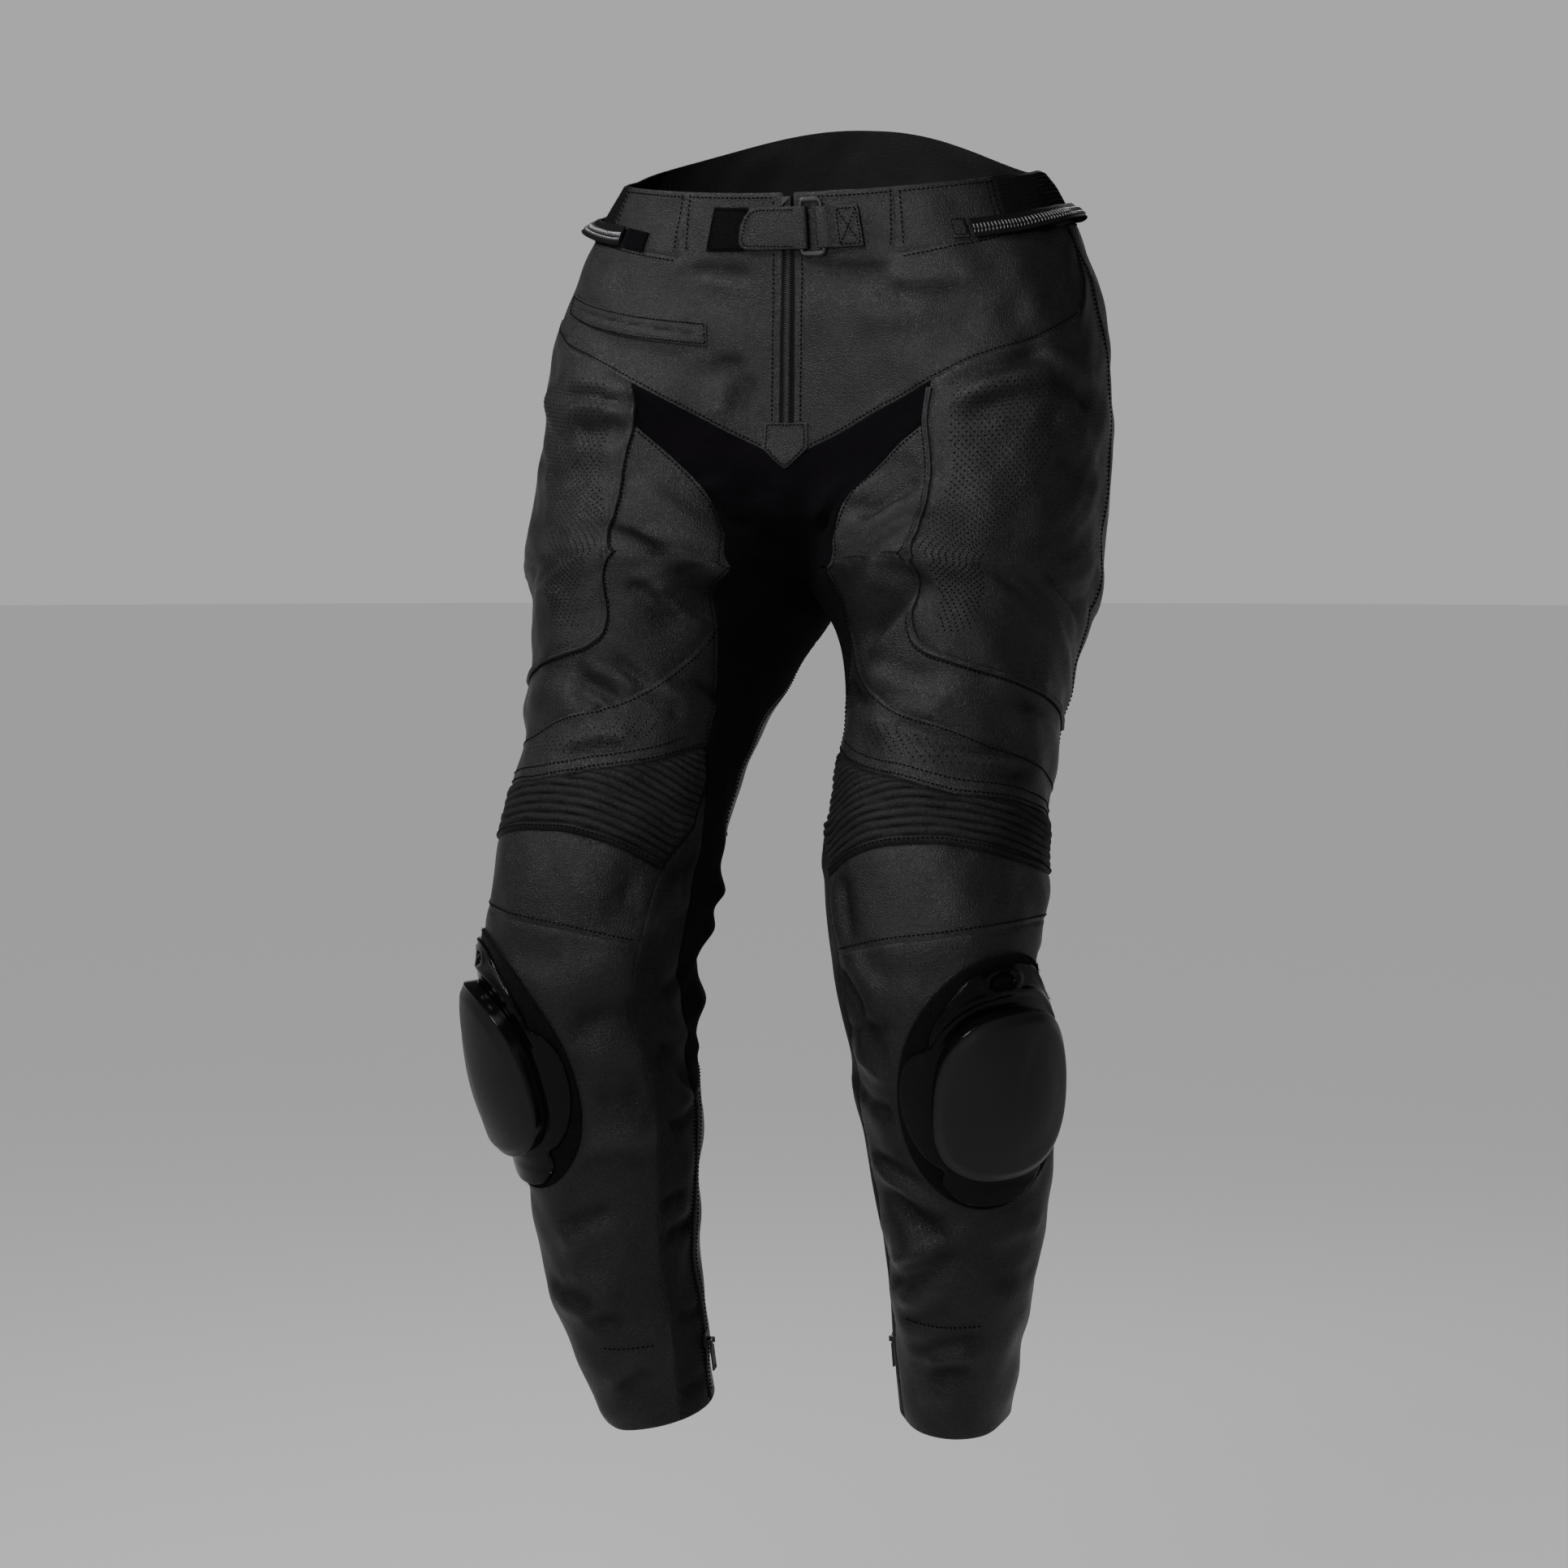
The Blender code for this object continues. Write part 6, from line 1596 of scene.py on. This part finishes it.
def add_pile_fibres(name, side, outlines, count, low, height):
    """Short leaning hairs over a pad of loop pile: inside the first outline and outside the others."""
    rings = [flat(outline) for outline in outlines]
    lower, upper = rings[0].min(axis=0), rings[0].max(axis=0)
    spots = lower + DRAWS.random((count, 2)) * (upper - lower)
    net = unflat(spots[within(rings, spots)])
    root = spread_over(side, net, low)
    out = unit(spread_over(side, net, low + 0.001) - root)
    lean = DRAWS.normal(0, 0.55, (len(net), 3))
    tip = root + (out + lean) * height * (0.6 + 0.8 * DRAWS.random((len(net), 1)))
    one = unit(np.cross(out, lean))
    two = np.cross(out, one)
    points = np.stack([root + one * HAIR_WIDTH, root - one * HAIR_WIDTH * 0.5 + two * HAIR_WIDTH,
                       root - one * HAIR_WIDTH * 0.5 - two * HAIR_WIDTH, tip], 1).reshape(-1, 3)
    faces = repeated([[0, 1, 3], [1, 2, 3], [2, 0, 3], [2, 1, 0]], len(net), 4)
    dress(add_mesh(name, points, faces, "loop_pile", crease=180))


def add_knee_slider(side):
    title = side_name(side)
    pile = rounded(oval(PILE_GIRTH, PILE_DOWN, 2, 40), 3)
    plate = rounded(base_outline(), 5)
    hole = rounded(hole_outline(), 4)
    top = LAID_GAP + PILE
    add_patch(f"pile_{title}", side, pile, 0.0032, -0.0004, top - 0.0005, "loop_pile",
              f"knee_pile_{title}", turned=0.0016)
    plate_edge = unflat(split_ring(flat(plate), 0.002))
    add_pile_fibres(f"pile_hairs_{title}", side, (pile, plate_edge), 9000, top - 0.0009, 0.0013)
    add_patch(f"plate_{title}", side, plate, 0.0017, top + LAID_GAP, base_height, "gloss_plastic",
              f"slider_base_{title}", holes=(hole,), sheet=False, turned=0.0009)
    add_puck(side)


# Waist fittings ---------------------------------------------------------------------------------------

def strip(name, knots, top, low, node):
    """A strip of leather along a line of (x, height), with its own upper and lower edge at every knot."""
    reach = reach_along(knots)
    rows = {"reach": reach, "x": knots[:, 0], "h": knots[:, 1]}
    at = np.unique(np.concatenate([reach, np.linspace(0, reach[-1], int(reach[-1] / 0.0009))]))
    line = np.stack([read(rows, "x", at, "reach"), read(rows, "h", at, "reach")], -1)
    top, low = (np.interp(at, reach, np.broadcast_to(edge, len(knots))) for edge in (top, low))
    aside = quarter(unit(np.gradient(line, axis=0))) * STRAP / 2
    shares = np.array([0.0, 0.0004, 0.0010, 0.3, 0.5, 0.7, -0.0010, -0.0004, 0.0])
    fullness = np.array([0.35, 0.8, 1.0, 1.0, 1.0, 1.0, 1.0, 0.8, 0.35])
    small = np.abs(shares) < 0.01
    rows = np.where(small, shares, 0) + np.where(small, 0, shares) * (low - top)[:, None]
    rows += np.where(np.arange(len(shares)) < 6, top[:, None], low[:, None])
    one = line[:, None] + aside[:, None] * fullness[:, None]
    two = line[:, None] - aside[:, None] * fullness[:, None]
    x, height = np.concatenate([one, two[:, ::-1]], 1).reshape(-1, 2).T
    rows = np.concatenate([rows, rows[:, ::-1]], 1).ravel()
    rings = over_front(x, rows, height).reshape(len(line), -1, 3)
    edges = np.tile([0, 0.0004, 0.0012, 0.01, 0.01, 0.01, 0.0012, 0.0004, 0], 2 * len(line))
    return dress(loft(name, rings, "leather", values={"seam": edges}, crease=60), node)


def round_bar(first, bar, toward, last):
    """Knots of (x, height) that lead under a bar, round it and back over it."""
    turn = np.radians(np.linspace(-90, 90, 9))
    x = bar + toward * (TURN_RADIUS + 0.0006) * np.cos(turn)
    height = (UNDER_BAR + OVER_BAR) / 2 + (OVER_BAR - UNDER_BAR) / 2 * np.sin(turn)
    return np.concatenate([first, np.stack([x, height], -1), last])


def add_strap():
    rest = UNDER_BAR + STRAP + 0.0004
    first = [(x, UNDER_BAR) for x in (-0.028, -0.020, -0.010, 0.0, 0.008)]
    last = [(0.0100, OVER_BAR - 0.0003), (0.0040, OVER_BAR - 0.0018), (-0.004, rest), (-0.014, rest),
            (-0.024, rest), (-0.028, rest), (-0.031, rest - 0.0002), (-0.0335, rest - 0.0003),
            (-0.036, rest - 0.0004), (-0.0385, rest - 0.0004)]
    middle = round_bar(first, 0.0148, 1, last)
    top = np.full(len(middle), STRAP_TOP)
    low = np.full(len(middle), STRAP_BOTTOM)
    top[-5:] += np.array([0.0002, 0.0012, 0.0032, 0.0065, 0.0125])
    low[-5:] -= np.array([0.0, 0.0, 0.0006, 0.0018, 0.0050])
    piece = strip("strap", middle, top, low, "waist_strap")
    height = rest + STRAP / 2
    edge_line = [(0.0065, STRAP_BOTTOM - 0.0022, OVER_BAR), (-0.004, STRAP_BOTTOM - 0.0022, height),
                 (-0.033, STRAP_BOTTOM - 0.0030, height), (-0.0362, STRAP_BOTTOM - 0.0065, height),
                 (-0.0340, STRAP_TOP + 0.0080, height), (-0.0300, STRAP_TOP + 0.0036, height),
                 (-0.0240, STRAP_TOP + 0.0022, height), (-0.004, STRAP_TOP + 0.0022, height),
                 (0.0065, STRAP_TOP + 0.0022, OVER_BAR)]
    return [front_stitches(edge_line)]


def front_stitches(knots):
    """Stitches on the front of the waist, along knots of (x, down, height)."""
    knots = np.array(knots, float)
    reach, middle = evenly(over_front(*knots.T), PITCH * 0.8)

    def at(where, lift=0.0):
        x, down, height = (np.interp(where, reach, column) for column in knots.T)
        return over_front(x, down, height + lift)

    return at(middle - STITCH * 0.4), at(middle + STITCH * 0.4), outwards(at, middle)


def add_anchor():
    first = [(0.0616, 0.0014), (0.052, 0.0014), (0.043, 0.0016), (0.036, 0.0022)]
    last = [(0.0345, OVER_BAR - 0.0003), (0.0385, OVER_BAR - 0.0020), (0.043, 0.0036), (0.052, 0.0030),
            (0.0616, 0.0030)]
    middle = round_bar(first, 0.0288, -1, last)
    piece = strip("anchor", middle, STRAP_TOP + 0.0005, STRAP_BOTTOM - 0.0005, "strap_anchor")
    top, low = STRAP_TOP + 0.0025, STRAP_BOTTOM - 0.0025
    a, b = (0.0435, top, 0.0042), (0.0596, top, 0.0036)
    c, d = (0.0596, low, 0.0036), (0.0435, low, 0.0042)
    return [front_stitches(ends) for ends in ((a, b), (b, c), (c, d), (d, a), (a, c), (d, b))]


def connector_place(station, down, height):
    """Stations run from 0 on the left front, round the back at 1, to 2 on the right front."""
    return over_either(station > 1, 1, np.minimum(station, 2 - station), down, height)


def connector_height(station, down):
    """The inner face of the joining zip: it stands off at the sides, more along its lower edge."""
    girth = np.minimum(station, 2 - station)
    flare = 0.0105 * np.exp(-((girth - 0.47) / 0.10) ** 2)
    share = np.interp(down, [0.0265, 0.0345, 0.0395], [0.0, 0.6, 1.0])
    return 0.0026 + flare * 0.25 + flare * share


def add_connector():
    """Half of a joining zip, sewn on below the band: tape, a rolled upper edge and its row of teeth."""
    station = np.linspace(*CONNECTOR_ENDS, 260)
    rows = np.array([0.0265, 0.0269, 0.0285, 0.0305, 0.0325, 0.0345, 0.037, 0.0391, 0.0395])
    full = np.array([0.3, 1, 1, 1, 1, 1, 1, 1, 0.3])
    here, down = (grid.ravel() for grid in np.meshgrid(station, rows, indexing="ij"))
    inner = connector_height(here, down)
    outer = inner + ZIP_TAPE * np.tile(full, len(station))
    shape = (len(station), len(rows), 3)
    inside_face = connector_place(here, down, inner).reshape(shape)
    outside_face = connector_place(here, down, outer).reshape(shape)
    rings = np.concatenate([outside_face, inside_face[:, ::-1]], 1)
    piece = loft("connector_tape", rings, "zip_tape", crease=60)
    dress(piece, "connector_zip")
    reach, middle = evenly(connector_place(station, TOOTH_DOWN, 0.004), TOOTH_PITCH)
    at = np.interp(middle, reach, station)
    slant = np.gradient(station, reach).mean() * 0.0012

    def spot(where, down, lift):
        down = np.full(len(where), down)
        return connector_place(where, down, connector_height(where, down) + ZIP_TAPE + lift)

    outs = outwards(spot, at, TOOTH_DOWN)
    upper = (spot(at, 0.0305, 0.0003), spot(at, 0.0346, 0.0003), outs)
    lower = (spot(at, 0.0345, 0.0003), spot(at - slant, 0.0369, 0.0001), outs)
    add_capsules("connector_teeth", [upper, lower], "bright_coil", 0.00072, 0.3, 0.6)


def add_coil(name, cloth, sides, middle, down_from, down_to, half=0.0017):
    """Two rows of interlocked coil turns down a zip."""
    groups = []
    count = int((down_to - down_from) / COIL_PITCH)
    down = down_from + (np.arange(count) + 0.5) * COIL_PITCH
    for side in sides:
        place = on_cloth(cloth, side)
        for way in (1, -1):
            rows = down + (COIL_PITCH / 2 if way == 1 else 0)
            wide = half / row_length(rows)
            near = np.stack([middle - way * wide * 0.30, rows], -1)
            far = np.stack([middle + way * wide, rows + 0.0004], -1)
            groups.append((place(near, 0.0007), place(far, 0.0003), outwards(place, near)))
    add_capsules(name, groups, "coil", 0.00052, 0.3, 0.3)


# Sewing -----------------------------------------------------------------------------------------------

SEAM_STITCHES = (        # seam, offset in mm, from and to as shares of its length
    ("band_bottom", 2.5, 0.01, 0.99), ("band_front", 2.2, 0.05, 0.92), ("elastic_front", 3.0, 0.08, 0.93),
    ("elastic_front", 8.0, 0.08, 0.93), ("elastic_back", -3.0, 0.08, 0.93),
    ("elastic_back", -8.0, 0.08, 0.93),
    ("yoke_bottom", -2.2, 0.03, 0.99), ("yoke_side", -2.2, 0.04, 0.96), ("outseam", 2.2, 0.005, 0.995),
    ("piped", 3.4, 0.04, 0.99), ("gusset_front", -2.2, 0.02, 0.98), ("thigh_low", 2.0, 0.01, 0.99),
    ("accordion_top", -2.2, 0.01, 0.99), ("accordion_top", -8.75, 0.06, 0.99),
    ("accordion_low", -3.0, 0.01, 0.99), ("knee_low", -3.3, 0.02, 0.99), ("zip_back", 3.0, 0.01, 0.98),
    ("zip_front", -3.0, 0.01, 0.98), ("gusset_back", 2.2, 0.01, 0.97), ("textile_top", -2.2, 0.02, 0.98),
    ("textile_low", 2.2, 0.02, 0.98),
)
LINE_STITCHES = (        # lines of girth and down, on the side given or on both (0)
    (0, ((0.016, 0.0035), (0.146, 0.0035))), (0, ((0.154, 0.0035), (0.337, 0.0035))),
    (0, ((0.606, 0.0035), (0.999, 0.0035))), (0, ((0.158, 0.003), (0.143, 0.039))),
    (1, ((0.103, 0.895), (0.200, 0.892), (0.290, 0.890))), (-1, ((0.203, 0.921), (0.085, 0.925))),
    (0, ((0.9185, 0.733), (0.9415, 0.733))),
)
MIDDLE_STITCHES = (      # from and to, the girth of the middle and the distance from it
    (0.0040, 0.0095, 0.0, FLY_STITCHES), (0.041, 0.169, 0.0, FLY_STITCHES),
    (0.043, 0.252, 1.0, BACK_STITCHES),
)


def on_cloth(cloth, side):
    return lambda net, height: cloth.at(side, net, height)[0]


def middle_line(start, stop, middle, distance):
    """A line that stays at one distance from the middle of the front (girth 0) or of the back (girth 1)."""
    girth = np.abs(middle - np.linspace(0.0, 0.06, 61))
    line = []
    for down in np.linspace(start, stop, 60):
        aside = over(1, girth, np.full(61, down), 0.0)[:, 0]
        line.append((np.interp(distance, aside, girth), down))
    return line


def add_sewing(cloth):
    for side in (1, -1):
        place = on_cloth(cloth, side)
        groups = [stitched(place, middle_line(*line)) for line in MIDDLE_STITCHES]
        for name, offset, low, high in SEAM_STITCHES:
            line = beside(trimmed(seam(name), low, high), offset * 0.001)
            groups.append(stitched(place, line))
        for own, knots in LINE_STITCHES:
            if own in (0, side):
                groups.append(stitched(place, dense(knots)))
        add_capsules(f"stitches_{side_name(side)}", groups, "thread", 0.00055)


def add_web_cords(cloth):
    """Raised zigzag cords down the stretch web of the waist."""
    front, back, low = (flat(seam(name)) for name in ("elastic_front", "elastic_back", "band_bottom"))
    low = low[np.argsort(low[:, 0])]
    both = np.concatenate([front, back])[:, 0]
    across = np.arange(both.min(), both.max(), 0.0024)
    rows = np.arange(0.0014, 0.044, 0.0014)
    clear = 0.0022       # from the seams round the web
    swing = np.where(np.arange(len(rows)) % 2 == 0, 0.0004, -0.0004)
    x, y = np.meshgrid(across, rows, indexing="ij")
    spots = np.stack([x + swing, y], -1)
    starts, stops = spots[:, :-1].reshape(-1, 2), spots[:, 1:].reshape(-1, 2)
    x, y = ((starts + stops) / 2).T
    front, back = (line[np.argsort(line[:, 1])] for line in (front, back))
    kept = (x > np.interp(y, front[:, 1], front[:, 0]) + clear)
    kept &= (x < np.interp(y, back[:, 1], back[:, 0]) - clear)
    kept &= (y < np.interp(x, low[:, 0], low[:, 1]) - clear)
    starts, stops = unflat(starts[kept]), unflat(stops[kept])
    for side in (1, -1):
        first, out = cloth.at(side, starts)
        group = (first, cloth.at(side, stops)[0], out)
        add_capsules(f"web_cords_{side_name(side)}", [group], "stretch_web", 0.00062, 0.1, 0.1)


def laid_stitches(side, ring, inset, height):
    """A closed line of stitches inside the edge of a laid piece."""
    plane = flat(np.asarray(ring, float))
    centre = plane.mean(axis=0)
    size = np.maximum(np.ptp(plane, axis=0) / 2, 1e-6)
    shrunk = centre + (plane - centre) * (1 - inset / size)
    closed = np.concatenate([shrunk, shrunk[:1]])
    line = dense(unflat(closed), 0.001)
    return stitched(lambda net, lift: spread_over(side, net, np.asarray(lift) + height), line, PITCH * 0.85)


def add_small_pieces():
    """The pieces that lie on the cloth at the waist. Returns their stitches."""
    top = LAID_GAP + LEATHER
    under, stop_top = -0.0003, 0.0008 + LEATHER
    tab = np.array(FLY_TAB)
    tab = np.concatenate([tab[1:], (tab[::-1] * np.array([-1, 1]))[1:-1]])
    add_patch("tab", 1, tab, 0.0022, under, top, "leather", "fly_tab")
    add_patch("welt", -1, POCKET, 0.0028, under, welt_height, "leather", "pocket_welt")
    add_patch("pad", -1, PAD, 0.0026, under, top - 0.0003, "loop_pile", "strap_pad")
    add_pile_fibres("pad_hairs", -1, (PAD,), 2600, top - 0.0006, 0.0009)
    add_patch("stop", 1, ZIP_STOP, 0.0022, 0.0002, stop_top, "leather", "connector_stop")
    add_patch("tongue", -1, ZIP_TONGUE, 0.0022, 0.0002, 0.0008 + TEXTILE, "stretch_textile",
              "connector_tongue")
    return [laid_stitches(side, ring, inset, height) for side, ring, inset, height in (
        (1, tab, 0.0019, top), (-1, POCKET, 0.0020, top), (-1, PAD, 0.0017, top),
        (1, ZIP_STOP, 0.0018, stop_top))]


def welt_height(net, _):
    """A welt with the pocket's mouth as a narrow trough along its middle."""
    across = np.abs(net[:, 1] - pocket_line(net[:, 0]))
    ends = smooth((net[:, 0] - 0.088) / 0.01) * smooth((0.345 - net[:, 0]) / 0.01)
    trough = 0.0011 * np.exp(-(across / 0.0014) ** 2) * ends
    lips = 0.0005 * np.exp(-((across - 0.0032) / 0.0014) ** 2) * ends
    return LAID_GAP + LEATHER - trough + lips


HOLE_ROWS = 0.0032       # from one row of holes to the next
HOLE_PITCH = 0.0066      # from hole to hole in a row
HOLE_CLEAR = 0.0050      # from a seam
PERFORATION = (          # circles of radius and height
    ("rims", ((0.00115, -0.00010), (0.00088, 0.00014), (0.00072, 0.00012), (0.00066, -0.00012)), "leather"),
    # the holes are flat near-black discs just over the surface: painted shade for the hole's depth
    ("holes", ((0.00074, -0.00008), (0.00074, 0.00006), (0.00002, 0.00006)), "hole"),
)


def add_perforations(cloth):
    """Small punched holes with a raised rim, in staggered rows. Each hole is a flat near-black disc: painted
    shade.
    """
    for side in (1, -1):
        spots = []
        for outline in (THIGH_HOLES, BAND_HOLES):
            ring = flat(np.array(outline))
            low, high = ring.min(axis=0), ring.max(axis=0)
            grid = staggered(low, high, HOLE_PITCH, np.arange(low[1], high[1], HOLE_ROWS))
            spots.append(grid[inside(ring, grid)])
        plane = np.concatenate(spots)
        plane = plane[gaps(plane, cloth.pattern.seam_tree) > HOLE_CLEAR]
        centre, out = cloth.at(side, unflat(plane))
        one = cloth.at(side, unflat(plane + np.array([0.0008, 0])))[0] - centre
        one = unit(one - out * (one * out).sum(axis=1, keepdims=True))
        two = np.cross(out, one)
        for kind, circles, shade in PERFORATION:
            points = []
            for radius, height in circles:
                for turn in np.linspace(0, 2 * math.pi, 7)[:-1]:
                    way = one * math.cos(turn) + two * math.sin(turn)
                    points.append(centre + way * radius + out * height)
            faces = repeated(ring_faces(len(circles), 6), len(plane), len(points))
            points = np.stack(points, 1).reshape(-1, 3)
            piece = add_mesh(f"{kind}_{side_name(side)}", points, faces, shade, crease=180)
            dress(piece)


# Camera, light and floor ------------------------------------------------------------------------------

FLOOR = -1.33
AIM = (0.0, 0.0, -0.502)
AZIMUTH, ELEVATION = 21, 4.5
DISTANCE = 3.2
LENS = 90.46
LEFT_OF_AIM = 0.0396     # the camera looks past the aim by this much
LIGHTS = (               # azimuth, elevation, distance, height of the aim, size, watts
    ("key_high", -16, 46, 1.7, -0.25, 0.40, 17), ("key_front", 2, 15, 1.7, -0.34, 0.60, 21),
    ("key_side", -70, 44, 1.7, -0.32, 0.45, 14), ("rim", 50, 40, 1.8, -0.25, 0.7, 2),
    ("back", 190, 40, 2.0, -0.35, 1.0, 26),
)


def looking(azimuth, elevation, aim, distance, aside=0.0):
    """The place and turn of something that looks from a distance. Angles are in degrees."""
    azimuth, elevation = math.radians(azimuth), math.radians(elevation)
    back = Vector((math.sin(azimuth) * math.cos(elevation), -math.cos(azimuth) * math.cos(elevation),
                   math.sin(elevation)))
    right = Vector((math.cos(azimuth), math.sin(azimuth), 0))
    turn = Matrix((right, back.cross(right), back)).transposed().to_4x4()
    return Matrix.Translation(Vector(aim) - right * aside + back * distance) @ turn


def add_camera():
    data = bpy.data.cameras.new("camera")
    data.sensor_width = 36
    data.lens = LENS
    made = add_object("camera", data)
    made.matrix_world = looking(AZIMUTH, ELEVATION, AIM, DISTANCE, LEFT_OF_AIM)
    bpy.context.scene.camera = made


def add_light(name, azimuth, elevation, distance, aim, size, watts):
    data = bpy.data.lights.new(name, "AREA")
    data.shape = "DISK"
    data.size = size
    data.energy = watts
    add_object(name, data).matrix_world = looking(azimuth, elevation, (0, 0, aim), distance)


def add_floor():
    """A wide pale disc below the hems."""
    turns = np.linspace(0, 2 * math.pi, 97)[:-1]
    points = [(0, 0, FLOOR)]
    for radius in (1.5, 6, 30):
        points += [(radius * math.cos(t), radius * math.sin(t), FLOOR) for t in turns]
    faces = [(0, 1 + k, 1 + (k + 1) % 96) for k in range(96)] + (ring_faces(3, 96)[:, ::-1] + 1).tolist()
    mesh = bpy.data.meshes.new("floor")
    mesh.from_pydata(points, [], faces)
    made = add_object("floor", mesh)
    paint = bpy.data.materials.new("floor")
    paint.use_nodes = True
    inputs = paint.node_tree.nodes["Principled BSDF"].inputs
    for key, value in (("Base Color", (0.30, 0.30, 0.30, 1)), ("Emission Color", (1, 1, 1, 1)),
                       ("Emission Strength", 0.37), ("Roughness", 0.9), ("Specular IOR Level", 0.1)):
        inputs[key].default_value = value
    mesh.materials.append(paint)


def add_world():
    """Pale all round the horizon and dimmer above, so that the dark cloth keeps its depth."""
    world = bpy.data.worlds.new("studio")
    bpy.context.scene.world = world
    world.use_nodes = True
    tree = world.node_tree
    where = add_node(tree, "TexCoord").outputs["Generated"]
    height = add_node(tree, "SeparateXYZ", None, {0: where}).outputs["Z"]
    bright = remap(tree, calc(tree, "ABSOLUTE", height), 0.125, 0.20, 0.47, 0.03)
    tree.links.new(bright, tree.nodes["Background"].inputs["Color"])
    tree.nodes["Background"].inputs["Strength"].default_value = 1.0


def main():
    cloth = Cloth(Pattern())
    add_panels(cloth)
    for side in (1, -1):
        add_piping(side)
        add_knee_slider(side)
    groups = add_small_pieces() + add_strap() + add_anchor()
    add_capsules("stitches_waist", groups, "thread", 0.00048)
    add_connector()
    add_coil("coil_fly", cloth, (1,), 0.0, 0.004, 0.188, half=0.0015)
    add_coil("coil_ankle", cloth, (1, -1), ZIP_GIRTH, 0.741, 0.995)
    add_sewing(cloth)
    add_web_cords(cloth)
    add_perforations(cloth)
    for name in ("fly_slider", "strap_loop", "ankle_slider_left", "ankle_slider_right", "pull_tab_left",
                 "pull_tab_right"):
        for slot in frame["nodes"][name].material_slots:
            slot.material = LOOKS["dark_metal"]
    add_camera()
    for light in LIGHTS:
        add_light(*light)
    add_floor()
    add_world()


main()
